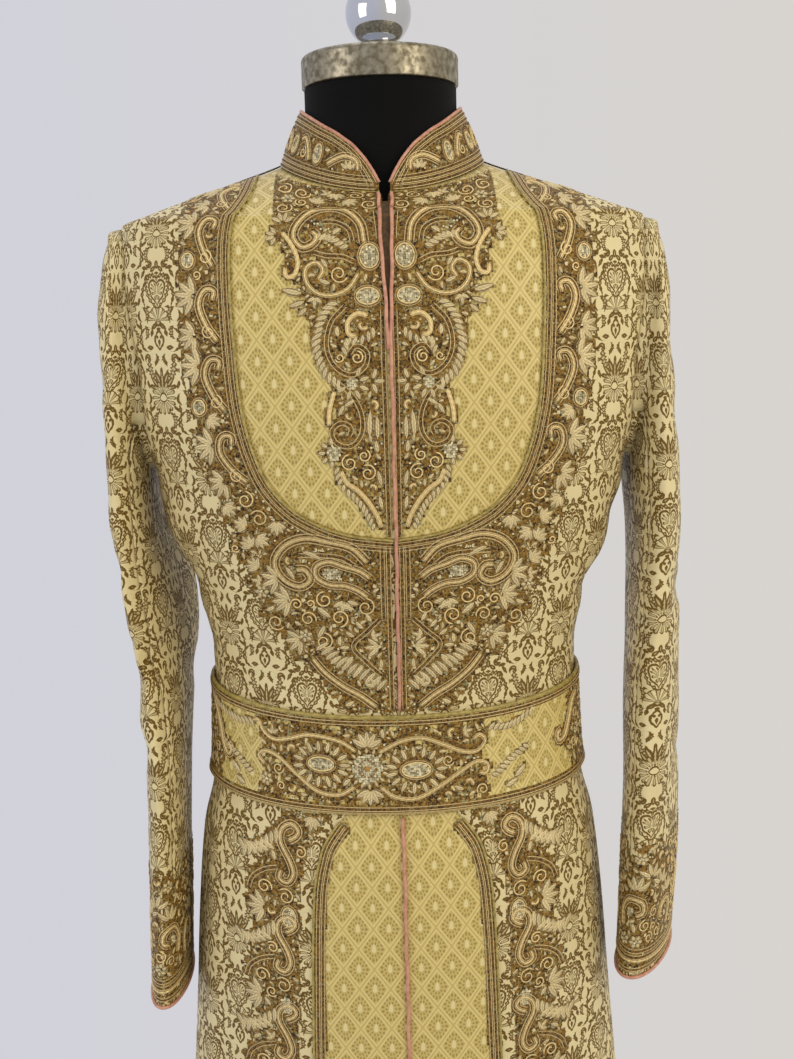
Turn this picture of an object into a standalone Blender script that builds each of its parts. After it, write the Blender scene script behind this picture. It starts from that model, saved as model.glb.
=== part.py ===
"""Sherwani coat worn by a limbless dress form on a round-based stand.

Metres, +Z up, front towards -Y, the wearer's left towards +X. The origin is on the floor, under the
middle of the stand. "turn" is the angle round the body: 0 at the centre front, growing towards +X.
Left and right in the names are as seen from in front.
"""

import math
from collections import namedtuple

import bpy
import numpy as np
from mathutils import Vector

for thing in list(bpy.data.objects):
    bpy.data.objects.remove(thing, do_unlink=True)

# ---------------------------------------------------------------- driving dimensions

GAP = 0.0003                # clear space between neighbouring pieces
CLOTH = 0.0026              # brocade, interlining and lining
STIFF_CLOTH = 0.0030        # collar
UNDERLAP = 0.0020
NECKLINE = 1.4515           # nominal height of the neckline, at the side of the neck
COLLAR_SEAT = 1.4498        # the collar stands on the last few millimetres below the neckline
HEM = 0.400
ARMPIT = 1.200
SHOULDER_TIP = 1.403
SIDE = math.pi / 2          # turn of the side and shoulder seams

RELIEF_PLACKET = 0.0016     # thick couched embroidery down the chest opening
RELIEF_BAND = 0.0012        # embroidered bands on the damask
RELIEF_CUFF = 0.0010
CUFF_BAND_TOP = 0.865       # upper end of the cuff's embroidery
RELIEF_STEP = 0.007         # width over which a raised band falls back to the cloth

PIPING_RADIUS = 0.0014
BINDING_WIDTH = 0.0085
BINDING_HEIGHT = 0.0022
UNDERLAP_HALF_WIDTH = 0.022
UNDERLAP_TOP = 1.430
PLACKET_TOP = 1.444         # the placket's embroidery and the front piping end under the collar
SLIT_END = 1.300            # the slit between the fronts is open above this

RING_POINTS = 20            # points round a sleeve
UNDER_SLEEVE_POINTS = 3     # the under sleeve's seams, counted from the inner line
SLEEVE_TURN_IN = 0.0035     # how far the sleeve's first ring stands in from and out of the armhole
ROPE_OUT = 0.0040           # extra fullness of the sleeve's head, out and up
ROPE_UP = 0.0030
COLLAR_TOP_RADIUS = 0.0670
BELT_COLUMNS = 42
BELT_SEAT = 0.0010          # the belt's inner face to the coat, at the belt's own corners
BELT_LOW = 0.934            # lower and upper edges at the back, and how far each dips in front
BELT_HIGH = 1.021
BELT_LOW_DIP = 0.009
BELT_HIGH_DIP = 0.015
BELT_MIDDLE = -0.026        # the medallion sits a little to one side of the opening
BELT_MEDALLION = 0.045      # its half width
BELT_RISE = 0.0012          # how much it is raised

FORM_END = 0.800            # lower end of the form's torso
FORM_CLEAR = 0.0060         # form to the inside of the cloth
FORM_CONTACT = 0.0029       # the same on the shoulders, where the coat rests
FORM_ARM_PLATE = 0.197      # half width between the form's flat arm plates
FORM_COLUMNS = 24
NECK_RADIUS = 0.0626
NECK_Y = -0.004
NECK_TOP = 1.5097
CAP_RADIUS = 0.0645
CAP_HEIGHT = 0.0252
FINIAL_FOOT_RADIUS = 0.0230
FINIAL_FOOT_HEIGHT = 0.0100
FINIAL_BALL_RADIUS = 0.0270
POLE_RADIUS = 0.0160
BASE_RADIUS = 0.1700
BASE_HEIGHT = 0.0160
BOSS_RADIUS = 0.0300
BOSS_HEIGHT = 0.0450
ROUND_SIDES = 28

# ---------------------------------------------------------------- tables, a row for each section

# Outer face of the cloth. half_width is at the side, front and back are depths from the body's middle
# line, square is the section's exponent (1 an ellipse, less is boxier), drop and rise tilt the section
# down at the front and up at the back.
Level = namedtuple("Level", "height half_width front back square drop rise")
BODY = (
    Level(0.400, 0.2140, 0.1500, 0.1500, 0.95, 0.000, 0.000),
    Level(0.640, 0.1940, 0.1380, 0.1400, 0.95, 0.000, 0.000),
    Level(0.740, 0.1870, 0.1330, 0.1360, 0.93, 0.000, 0.000),
    Level(0.810, 0.1820, 0.1300, 0.1340, 0.92, 0.000, 0.000),
    Level(0.887, 0.1735, 0.1240, 0.1270, 0.92, 0.000, 0.000),
    Level(0.925, 0.1640, 0.1150, 0.1150, 0.95, 0.000, 0.000),
    Level(0.975, 0.1590, 0.1080, 0.1080, 0.95, 0.000, 0.000),
    Level(1.022, 0.1580, 0.1070, 0.1070, 0.95, 0.000, 0.000),
    Level(1.055, 0.1600, 0.1090, 0.1090, 0.95, 0.000, 0.000),
    Level(1.090, 0.1675, 0.1140, 0.1130, 0.93, 0.000, 0.000),
    Level(1.130, 0.1800, 0.1200, 0.1180, 0.90, 0.000, 0.000),
    Level(1.180, 0.1965, 0.1260, 0.1220, 0.87, 0.000, 0.000),
    Level(1.200, 0.1985, 0.1270, 0.1230, 0.85, 0.000, 0.000),
    Level(1.219, 0.2075, 0.1275, 0.1235, 0.85, 0.000, 0.000),
    Level(1.250, 0.2165, 0.1280, 0.1240, 0.85, 0.000, 0.000),
    Level(1.300, 0.2215, 0.1250, 0.1220, 0.85, 0.000, 0.000),
    Level(1.347, 0.2255, 0.1170, 0.1150, 0.87, 0.000, 0.000),
    Level(1.381, 0.2235, 0.1070, 0.1060, 0.90, 0.000, 0.000),
    Level(1.403, 0.2185, 0.0970, 0.1000, 0.95, 0.000, 0.000),
    Level(1.412, 0.1970, 0.0945, 0.0970, 0.97, 0.006, 0.003),
    Level(1.424, 0.1630, 0.0910, 0.0910, 1.00, 0.012, 0.006),
    Level(1.436, 0.1250, 0.0890, 0.0830, 1.00, 0.020, 0.010),
    Level(1.446, 0.0940, 0.0880, 0.0760, 1.00, 0.027, 0.013),
    Level(1.4515, 0.0800, 0.0870, 0.0710, 1.00, 0.0305, 0.014),
)

# Distance from the centre front of the line that a table names, at each height.
Line = namedtuple("Line", "height across")
ARMHOLE = (
    Line(1.200, 0.1985), Line(1.219, 0.1993), Line(1.250, 0.2013), Line(1.300, 0.2050),
    Line(1.347, 0.2110), Line(1.381, 0.2120), Line(1.395, 0.2150), Line(1.403, 0.2185),
)
CHEST_CUTOUT = (
    Line(1.1525, 0.0000), Line(1.1545, 0.0180), Line(1.157, 0.0340), Line(1.164, 0.0550),
    Line(1.177, 0.0780), Line(1.197, 0.0960), Line(1.211, 0.1030), Line(1.237, 0.1110),
    Line(1.265, 0.1160), Line(1.300, 0.1185), Line(1.340, 0.1205), Line(1.370, 0.1210),
    Line(1.398, 0.1190), Line(1.418, 0.1110), Line(1.4515, 0.1000),
)
SKIRT_CUTOUT = (
    Line(0.400, 0.0900), Line(0.640, 0.0800), Line(0.720, 0.0780), Line(0.800, 0.0760),
    Line(0.860, 0.0730), Line(0.895, 0.0660), Line(0.915, 0.0540), Line(0.932, 0.0360),
    Line(0.942, 0.0120), Line(0.944, 0.0000),
)
PLACKET_EDGE = (
    Line(1.1525, 0.0040), Line(1.170, 0.0080), Line(1.192, 0.0300), Line(1.213, 0.0390),
    Line(1.228, 0.0510), Line(1.250, 0.0440), Line(1.267, 0.0440), Line(1.300, 0.0570),
    Line(1.333, 0.0660), Line(1.373, 0.0800), Line(1.395, 0.0880), Line(1.4515, 0.0880),
)
BAND_EDGE = (
    Line(0.400, 0.1480), Line(0.720, 0.1330), Line(0.860, 0.1280), Line(0.905, 0.1150),
    Line(0.945, 0.0600), Line(1.006, 0.0450), Line(1.030, 0.0600), Line(1.062, 0.0860),
    Line(1.098, 0.1130), Line(1.140, 0.1250), Line(1.188, 0.1420), Line(1.236, 0.1530),
    Line(1.340, 0.1620), Line(1.4515, 0.1600),
)
# Half the width of the open slit between the fronts.
SLIT = (
    Line(0.400, 0.0000), Line(1.300, 0.0000), Line(1.340, 0.0012), Line(1.380, 0.0030),
    Line(1.4515, 0.0042),
)

# Soft troughs (negative) and ridges of the body, each a smooth bump round one turn and height.
Fold = namedtuple("Fold", "turn height half_turn half_height depth")
BODY_FOLDS = (
    Fold(1.22, 0.48, 0.150, 0.200, 0.0060),
    Fold(1.62, 0.46, 0.140, 0.240, -0.0055),
    Fold(2.02, 0.48, 0.150, 0.230, 0.0065),
    Fold(2.46, 0.50, 0.150, 0.250, -0.0060),
    Fold(2.86, 0.46, 0.120, 0.260, 0.0050),
    Fold(3.42, 0.48, 0.130, 0.240, 0.0055),
    Fold(3.84, 0.50, 0.150, 0.250, -0.0060),
    Fold(4.24, 0.47, 0.140, 0.220, 0.0060),
    Fold(4.66, 0.46, 0.140, 0.240, -0.0055),
    Fold(5.06, 0.49, 0.150, 0.190, 0.0060),
    Fold(1.42, 1.128, 0.260, 0.018, 0.0045),
    Fold(1.46, 1.098, 0.300, 0.014, -0.0035),
    Fold(4.80, 1.150, 0.280, 0.020, 0.0035),
    Fold(4.86, 1.110, 0.300, 0.016, -0.0030),
    Fold(2.50, 1.075, 0.420, 0.016, -0.0035),
    Fold(3.80, 1.085, 0.420, 0.016, -0.0035),
)

# Sleeve sections, each a tilted ellipse. inner and outer are the heights of its two ends, middle_x and
# half_width place and size it across, middle_y and half_depth front to back, and shear swings its
# front edge towards the body.
Ring = namedtuple("Ring", "inner outer middle_x half_width middle_y half_depth shear")
SLEEVE_LEFT = (
    Ring(1.2020, 1.3960, 0.2165, 0.0120, 0.002, 0.0640, 0.00),
    Ring(1.1960, 1.3780, 0.2190, 0.0150, 0.003, 0.0700, 0.00),
    Ring(1.1820, 1.3420, 0.2210, 0.0165, 0.004, 0.0750, -0.02),
    Ring(1.1620, 1.2980, 0.2200, 0.0165, 0.005, 0.0780, -0.05),
    Ring(1.1380, 1.2460, 0.2165, 0.0165, 0.006, 0.0800, -0.10),
    Ring(1.1120, 1.1900, 0.2115, 0.0165, 0.008, 0.0805, -0.16),
    Ring(1.0840, 1.1360, 0.2060, 0.0165, 0.010, 0.0800, -0.20),
    Ring(1.0500, 1.0840, 0.2020, 0.0170, 0.010, 0.0790, -0.18),
    Ring(1.0120, 1.0340, 0.2015, 0.0175, 0.008, 0.0770, -0.10),
    Ring(0.9720, 0.9860, 0.2025, 0.0175, 0.003, 0.0740, -0.04),
    Ring(0.9280, 0.9360, 0.2030, 0.0170, -0.003, 0.0710, 0.00),
    Ring(0.8820, 0.8860, 0.2040, 0.0165, -0.010, 0.0675, 0.00),
    Ring(0.8380, 0.8390, 0.2045, 0.0160, -0.016, 0.0640, 0.00),
    Ring(0.7920, 0.7920, 0.2055, 0.0160, -0.021, 0.0610, 0.00),
    Ring(0.7470, 0.7470, 0.2065, 0.0155, -0.025, 0.0590, 0.00),
)
SLEEVE_RIGHT = (
    Ring(1.2020, 1.3960, 0.2165, 0.0120, 0.002, 0.0640, 0.00),
    Ring(1.1960, 1.3780, 0.2190, 0.0145, 0.003, 0.0700, 0.00),
    Ring(1.1820, 1.3420, 0.2210, 0.0160, 0.004, 0.0750, 0.02),
    Ring(1.1620, 1.2980, 0.2235, 0.0170, 0.004, 0.0780, 0.03),
    Ring(1.1380, 1.2460, 0.2270, 0.0190, 0.004, 0.0800, 0.05),
    Ring(1.1120, 1.1900, 0.2290, 0.0210, 0.005, 0.0805, 0.08),
    Ring(1.0840, 1.1360, 0.2300, 0.0230, 0.006, 0.0800, 0.12),
    Ring(1.0500, 1.0840, 0.2300, 0.0240, 0.006, 0.0785, 0.15),
    Ring(1.0120, 1.0340, 0.2290, 0.0245, 0.004, 0.0765, 0.18),
    Ring(0.9720, 0.9860, 0.2280, 0.0250, 0.000, 0.0735, 0.21),
    Ring(0.9280, 0.9360, 0.2275, 0.0250, -0.006, 0.0700, 0.24),
    Ring(0.8820, 0.8860, 0.2255, 0.0250, -0.012, 0.0665, 0.27),
    Ring(0.8380, 0.8390, 0.2230, 0.0245, -0.018, 0.0630, 0.30),
    Ring(0.8000, 0.8000, 0.2200, 0.0235, -0.023, 0.0605, 0.34),
    Ring(0.7600, 0.7600, 0.2170, 0.0220, -0.027, 0.0585, 0.38),
)

# Creases of a sleeve, running from front to back and sloping: round is the angle round the sleeve
# (0 inner, pi outer, pi / 2 front), fall is how far the crease drops per radian.
Crease = namedtuple("Crease", "height round half_height half_round fall depth")
CREASES_LEFT = (
    Crease(1.110, 2.60, 0.012, 0.90, 0.020, -0.0040),
    Crease(1.080, 3.30, 0.010, 0.80, -0.018, -0.0035),
    Crease(1.040, 1.40, 0.012, 0.90, 0.012, -0.0045),
    Crease(1.005, 4.90, 0.013, 0.90, -0.010, -0.0040),
    Crease(0.955, 3.00, 0.012, 0.90, 0.016, -0.0030),
    Crease(1.215, 3.20, 0.016, 0.80, 0.020, -0.0030),
)
CREASES_RIGHT = (
    Crease(1.130, 3.50, 0.013, 0.90, -0.022, -0.0040),
    Crease(1.090, 2.70, 0.011, 0.90, 0.018, -0.0040),
    Crease(1.050, 1.50, 0.012, 0.80, 0.012, -0.0040),
    Crease(1.010, 4.70, 0.012, 0.90, -0.014, -0.0040),
    Crease(0.940, 3.20, 0.014, 0.90, -0.016, -0.0030),
    Crease(1.230, 2.90, 0.016, 0.80, 0.020, -0.0030),
)

# Collar height by the distance along its seam from the front end.
Rise = namedtuple("Rise", "height across")
COLLAR_RISE = (
    Rise(0.000, 0.0050), Rise(0.005, 0.0140), Rise(0.013, 0.0240), Rise(0.027, 0.0340),
    Rise(0.050, 0.0400), Rise(0.090, 0.0420), Rise(0.250, 0.0375),
)

# The belt's profile: part of its height, and thickness there.
Profile = namedtuple("Profile", "part thickness")
BELT_PROFILE = (
    Profile(0.00, 0.0030), Profile(0.06, 0.0046), Profile(0.16, 0.0036), Profile(0.50, 0.0040),
    Profile(0.84, 0.0036), Profile(0.94, 0.0046), Profile(1.00, 0.0030),
)

# ---------------------------------------------------------------- shapes worked out from the tables


def read(table, column, at):
    """A table's column at the heights given, as a smooth curve that never overshoots its rows."""
    at = np.asarray(at, dtype=float)
    x = np.array([row.height for row in table])
    y = np.array([getattr(row, column) for row in table])
    slope = np.diff(y) / np.diff(x)
    tangent = np.zeros_like(y)
    tangent[0] = slope[0]
    tangent[-1] = slope[-1]
    for k in range(1, len(x) - 1):
        if slope[k - 1] * slope[k] > 0:
            tangent[k] = 2.0 * slope[k - 1] * slope[k] / (slope[k - 1] + slope[k])
    inside = np.clip(at, x[0], x[-1])
    k = np.clip(np.searchsorted(x, inside, side="right") - 1, 0, len(x) - 2)
    width = x[k + 1] - x[k]
    t = (inside - x[k]) / width
    return (
        y[k] * (1 + 2 * t) * (1 - t) ** 2
        + tangent[k] * width * t * (1 - t) ** 2
        + y[k + 1] * t * t * (3 - 2 * t)
        - tangent[k + 1] * width * t * t * (1 - t)
    )


def bump(distance):
    """1 at 0, falling smoothly to 0 at 2."""
    return np.where(np.abs(distance) < 2.0, np.cos(np.clip(distance, -2, 2) * math.pi / 4) ** 2, 0.0)


def coat_point(turn, height):
    """The outer face of the cloth, with its largest folds."""
    turn, height = np.broadcast_arrays(np.asarray(turn, float), np.asarray(height, float))
    sine = np.sin(turn)
    cosine = np.cos(turn)
    square = read(BODY, "square", height)
    depth = np.where(cosine > 0, -read(BODY, "front", height), read(BODY, "back", height))
    x = read(BODY, "half_width", height) * np.sign(sine) * np.abs(sine) ** square
    y = depth * np.abs(cosine) ** square
    z = (
        height
        - read(BODY, "drop", height) * np.maximum(cosine, 0) ** 1.5
        + read(BODY, "rise", height) * np.maximum(-cosine, 0) ** 1.5
    )
    out = np.zeros_like(x)
    for fold in BODY_FOLDS:
        apart = (turn - fold.turn + math.pi) % (2 * math.pi) - math.pi
        out += fold.depth * bump(apart / fold.half_turn) * bump((height - fold.height) / fold.half_height)
    return np.stack([x + out * sine, y - out * cosine, z], axis=-1)


def coat_normal(turn, height):
    """The direction straight out of the cloth."""
    step = 1e-4
    round_it = coat_point(turn + step, height) - coat_point(turn - step, height)
    up_it = coat_point(turn, np.minimum(height + step, NECKLINE)) - coat_point(turn, height - step)
    normal = np.cross(round_it, up_it)
    return normal / np.linalg.norm(normal, axis=-1, keepdims=True)


def turn_at(across, height):
    """The turn, on the front, of a point at a distance across from the centre front."""
    part = np.clip(across / read(BODY, "half_width", height), -1.0, 1.0)
    return np.sign(part) * np.arcsin(np.abs(part) ** (1.0 / read(BODY, "square", height)))


def chest_cutout(height):
    """Half width of the U cut out of the chest; 0 below it."""
    return np.where(height > CHEST_CUTOUT[0].height, read(CHEST_CUTOUT, "across", height), 0.0)


def skirt_cutout(height):
    """Half width of the arch cut out of the skirt; 0 above it."""
    return np.where(height < SKIRT_CUTOUT[-1].height, read(SKIRT_CUTOUT, "across", height), 0.0)


def side_edge(height):
    """The turn where a front ends: the side seam, the armhole or the shoulder seam."""
    in_armhole = (height > ARMPIT) & (height < SHOULDER_TIP)
    return np.where(in_armhole, turn_at(read(ARMHOLE, "across", height), height), SIDE)


ARMHOLE_ROWS = tuple(
    ARMPIT + (SHOULDER_TIP - ARMPIT) * (1 - math.cos(math.pi * k / (RING_POINTS // 2))) / 2
    for k in range(RING_POINTS // 2 + 1)
)
SKIRT_ROWS = (HEM, 0.46, 0.52, 0.58, 0.64, 0.70, 0.76, 0.81, 0.855, 0.89, 0.910, 0.925, 0.936, 0.942)
WAIST_ROWS = (0.960, 0.985, 1.010, 1.035, 1.060, 1.083, 1.106, 1.130, 1.1525)
CUTOUT_ROWS = (1.1545, 1.158, 1.166, 1.180)
SHOULDER_ROWS = (1.412, 1.424, 1.434, 1.441)
NECK_ROWS = (1.446, COLLAR_SEAT, NECKLINE)
FRONT_ROWS = SKIRT_ROWS + WAIST_ROWS + CUTOUT_ROWS + ARMHOLE_ROWS + SHOULDER_ROWS
CHEST_ROWS = CUTOUT_ROWS + ARMHOLE_ROWS + SHOULDER_ROWS + NECK_ROWS
BACK_ROWS = (
    (HEM, 0.47, 0.54, 0.61, 0.68, 0.75, 0.81, 0.87, 0.925, 0.960, 0.985, 1.010, 1.035, 1.065, 1.10, 1.13, 1.17)
    + ARMHOLE_ROWS + SHOULDER_ROWS + NECK_ROWS
)

# ---------------------------------------------------------------- meshes and materials


def linear(channel):
    """One sRGB channel, 0 to 1, as linear light."""
    return channel / 12.92 if channel <= 0.04045 else ((channel + 0.055) / 1.055) ** 2.4


def material(name, colour, roughness, metallic=0.0):
    """A plain Principled material from an sRGB hex colour."""
    made = bpy.data.materials.new(name)
    made.use_nodes = True
    shader = made.node_tree.nodes["Principled BSDF"]
    channels = [linear(int(colour[k:k + 2], 16) / 255) for k in (1, 3, 5)]
    shader.inputs["Base Color"].default_value = (*channels, 1.0)
    shader.inputs["Roughness"].default_value = roughness
    shader.inputs["Metallic"].default_value = metallic
    return made


DAMASK = material("damask", "#a08c70", 0.5)
YELLOW = material("yellow brocade", "#c49a4e", 0.5)
EMBROIDERY = material("bronze embroidery", "#8f7450", 0.45)
PINK = material("salmon piping", "#b9776c", 0.45)
BROWN = material("bronze underlap", "#8a6540", 0.6)
JERSEY = material("black jersey", "#17181a", 0.9)
OLD_SILVER = material("tarnished silver", "#8d8a84", 0.4, 1.0)
CHROME = material("chrome", "#d8dadc", 0.08, 1.0)
BLACK_STEEL = material("black painted steel", "#1b1b1c", 0.4)


def group(name):
    """An empty that carries one group of pieces."""
    made = bpy.data.objects.new(name, None)
    bpy.context.scene.collection.objects.link(made)
    return made


COAT = group("coat")
DRESS_FORM = group("dress_form")


def add_piece(name, points, faces, finish, parent, location=(0.0, 0.0, 0.0)):
    """One named solid."""
    mesh = bpy.data.meshes.new(name)
    mesh.from_pydata([Vector(point) for point in points], [], faces)
    mesh.materials.append(finish)
    mesh.validate()
    piece = bpy.data.objects.new(name, mesh)
    bpy.context.scene.collection.objects.link(piece)
    piece.parent = parent
    piece.location = location
    mesh.shade_smooth()
    mesh.set_sharp_from_angle(angle=math.radians(40))
    return piece


def wall_faces(rows, columns, closed=False):
    """Triangles of a wall whose outer points come first, row by row, and then its inner ones."""
    faces = []
    inner = rows * columns
    spans = columns if closed else columns - 1

    def quad(a, b, c, d):
        faces.append((a, b, c))
        faces.append((a, c, d))

    for i in range(rows - 1):
        for j in range(spans):
            k = (j + 1) % columns
            a, b, c, d = i * columns + j, i * columns + k, (i + 1) * columns + k, (i + 1) * columns + j
            quad(a, b, c, d)
            quad(inner + d, inner + c, inner + b, inner + a)
    for j in range(spans):
        k = (j + 1) % columns
        top = (rows - 1) * columns
        quad(inner + j, inner + k, k, j)
        quad(top + j, top + k, inner + top + k, inner + top + j)
    if not closed:
        for i in range(rows - 1):
            a, b = i * columns, (i + 1) * columns
            quad(inner + b, inner + a, a, b)
            quad(a + columns - 1, inner + a + columns - 1, inner + b + columns - 1, b + columns - 1)
    return faces


def pull_in(outer, inner, side):
    """Moves one edge of a wall into the wall's own surface by half the gap between two pieces."""
    take = {
        "first": (np.s_[:, 0], np.s_[:, 1]), "last": (np.s_[:, -1], np.s_[:, -2]),
        "low": (np.s_[0, :], np.s_[1, :]), "high": (np.s_[-1, :], np.s_[-2, :]),
    }
    edge, beside = take[side]
    along = np.gradient(outer[edge], axis=0)
    across = outer[beside] - outer[edge]
    along /= np.linalg.norm(along, axis=-1, keepdims=True)
    across -= along * np.sum(across * along, axis=-1, keepdims=True)
    across /= np.linalg.norm(across, axis=-1, keepdims=True)
    outer[edge] += across * GAP / 2
    inner[edge] += across * GAP / 2


def panel(name, turn, height, finish, relief=0.0, edges=("first", "last")):
    """A cloth panel over a grid of turns and heights, raised on its outer face by relief."""
    face = coat_point(turn, height)
    normal = coat_normal(turn, height)
    inner = face - normal * CLOTH
    for side in edges:
        pull_in(face, inner, side)
    outer = face + normal * np.broadcast_to(relief, turn.shape)[..., None]
    return wall_piece(name, outer, inner, finish)


def wall_piece(name, outer, inner, finish, closed=False):
    """A solid between two grids of points, turned so that its faces point out."""
    rows, columns = outer.shape[:2]
    faces = wall_faces(rows, columns, closed)
    points = np.concatenate([outer.reshape(-1, 3), inner.reshape(-1, 3)])
    corners = points[np.array(faces)]
    volume = np.einsum("ij,ij->i", corners[:, 0], np.cross(corners[:, 1], corners[:, 2])).sum()
    if volume < 0:
        faces = [tuple(reversed(face)) for face in faces]
    return add_piece(name, points, faces, finish, COAT)


def tube(name, path, across, out, radius_across, radius_out, finish, sides=6, closed=False):
    """A cord of oval section along a path; across and out are the section's own directions."""
    path = np.asarray(path)
    count = len(path)
    points = []
    for k in range(count):
        for m in range(sides):
            angle = 2 * math.pi * (m + 0.5) / sides
            points.append(
                path[k] + across[k] * radius_across * math.cos(angle) + out[k] * radius_out * math.sin(angle)
            )
    faces = []
    for k in range(count if closed else count - 1):
        here, there = k * sides, ((k + 1) % count) * sides
        for m in range(sides):
            n = (m + 1) % sides
            faces.append((here + m, here + n, there + n))
            faces.append((here + m, there + n, there + m))
    if not closed:
        faces.append(tuple(reversed(range(sides))))
        faces.append(tuple((count - 1) * sides + m for m in range(sides)))
    corners = np.array([(face[0], face[1], face[2]) for face in faces if len(face) == 3])
    spots = np.array(points)[corners]
    volume = np.einsum("ij,ij->i", spots[:, 0], np.cross(spots[:, 1], spots[:, 2])).sum()
    if volume < 0:
        faces = [tuple(reversed(face)) for face in faces]
    return add_piece(name, points, faces, finish, COAT)


def frames(path, normal):
    """Directions across and out of a surface, along a path that lies on it."""
    along = np.gradient(path, axis=0)
    along /= np.linalg.norm(along, axis=-1, keepdims=True)
    across = np.cross(along, normal)
    across /= np.linalg.norm(across, axis=-1, keepdims=True)
    return across, np.cross(across, along)


# ---------------------------------------------------------------- fronts, insets and backs


def front_grid():
    """Turns, heights and relief of a damask front, for the +X side."""
    height = np.array(FRONT_ROWS)
    inner_edge = chest_cutout(height) + skirt_cutout(height)
    first = turn_at(np.maximum(inner_edge, read(SLIT, "across", height)), height)
    last = side_edge(height)
    band = np.maximum(read(BAND_EDGE, "across", height), inner_edge + 0.012)
    middle = np.minimum(turn_at(band, height), first + 0.62 * (last - first))
    step = np.minimum(turn_at(band + RELIEF_STEP, height), middle + 0.3 * (last - middle))
    columns = [first, first + 0.22 * (middle - first), first + 0.6 * (middle - first), middle, step]
    columns += [step + part * (last - step) for part in (0.34, 0.68, 1.0)]
    turn = np.stack(columns, axis=1)
    grid_height = np.repeat(height[:, None], turn.shape[1], axis=1)
    under_belt = bump((height - 0.970) / 0.045)
    crest = RELIEF_BAND * (1 - np.minimum(1, 2.2 * under_belt))
    at_shoulder = np.clip((SHOULDER_TIP + 0.02 - height) / 0.02, 0, 1)
    relief = np.zeros_like(turn)
    relief[:, 1:4] = (crest * at_shoulder)[:, None]
    return turn, grid_height, relief


def add_fronts():
    turn, height, relief = front_grid()
    for name, way in (("left", -1), ("right", 1)):
        panel(f"front_{name}", way * turn, height, DAMASK, relief)


def chest_turns(height):
    """Turns of a chest inset's columns: its edge, the placket, its step and the plain brocade."""
    first = turn_at(read(SLIT, "across", height), height)
    width = np.minimum(chest_cutout(height), read(BODY, "half_width", height))
    last = turn_at(width, height)
    edge = np.minimum(read(PLACKET_EDGE, "across", height), 0.80 * width)
    placket = turn_at(edge, height)
    step = np.minimum(turn_at(edge + RELIEF_STEP, height), placket + 0.5 * (last - placket))
    columns = [first + part * (placket - first) for part in (0.0, 0.36, 0.70, 1.0)]
    columns += [step, step + 0.5 * (last - step), last]
    return np.stack(columns, axis=-1)


def add_chest_insets():
    height = np.array(CHEST_ROWS)
    turn = chest_turns(height)
    grid_height = np.repeat(height[:, None], turn.shape[1], axis=1)
    below_collar = np.clip((PLACKET_TOP - height) / 0.008, 0, 1)
    relief = np.zeros_like(turn)
    relief[:, 0:4] = (RELIEF_PLACKET * below_collar)[:, None]
    for name, way in (("left", -1), ("right", 1)):
        panel(f"chest_inset_{name}", way * turn, grid_height, YELLOW, relief)


def add_skirt_insets():
    height = np.array(SKIRT_ROWS[:-1])
    last = turn_at(skirt_cutout(height), height)
    turn = last[:, None] * np.array([0.0, 0.33, 0.67, 1.0])[None, :]
    grid_height = np.repeat(height[:, None], turn.shape[1], axis=1)
    for name, way in (("left", -1), ("right", 1)):
        panel(f"skirt_inset_{name}", way * turn, grid_height, YELLOW)


def back_turns(height):
    """Turns of a back's columns, from its side edge to the centre back."""
    first = math.pi - side_edge(height)
    parts = np.array([0.0, 0.16, 0.32, 0.49, 0.66, 0.83, 1.0])
    return first[..., None] + (math.pi - first)[..., None] * parts


def add_backs():
    height = np.array(BACK_ROWS)
    turn = back_turns(height)
    grid_height = np.repeat(height[:, None], turn.shape[1], axis=1)
    for name, way in (("left", -1), ("right", 1)):
        panel(f"back_{name}", way * turn, grid_height, DAMASK)


def add_underlap():
    """A strip behind the opening, from the neckline to the hem."""
    height = np.array([row for row in FRONT_ROWS if row <= UNDERLAP_TOP])
    across = np.array([-1.0, 0.0, 1.0]) * UNDERLAP_HALF_WIDTH
    turn = turn_at(across[None, :], height[:, None])
    grid_height = np.repeat(height[:, None], len(across), axis=1)
    face = coat_point(turn, grid_height)
    normal = coat_normal(turn, grid_height)
    outer = face - normal * (CLOTH + 3 * GAP)
    wall_piece("underlap", outer, outer - normal * UNDERLAP, BROWN)


# ---------------------------------------------------------------- sleeves


def armhole_ring(way):
    """The armhole's edge as a ring: outer points, outward directions, and directions into the hole."""
    half = RING_POINTS // 2
    heights = np.array([ARMHOLE_ROWS[k if k <= half else RING_POINTS - k] for k in range(RING_POINTS)])
    front = side_edge(heights)
    turn = np.where(np.arange(RING_POINTS) <= half, front, math.pi - front) * way
    turn = np.where((np.arange(RING_POINTS) % half) == 0, SIDE * way, turn)
    face = coat_point(turn, heights)
    normal = coat_normal(turn, heights)
    along = np.roll(face, -1, axis=0) - np.roll(face, 1, axis=0)
    hole = np.cross(along, normal) * way
    hole /= np.linalg.norm(hole, axis=-1, keepdims=True)
    middle = face.mean(axis=0)
    if np.sum((middle - face) * hole) < 0:
        hole = -hole
    return face, normal, hole


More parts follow.
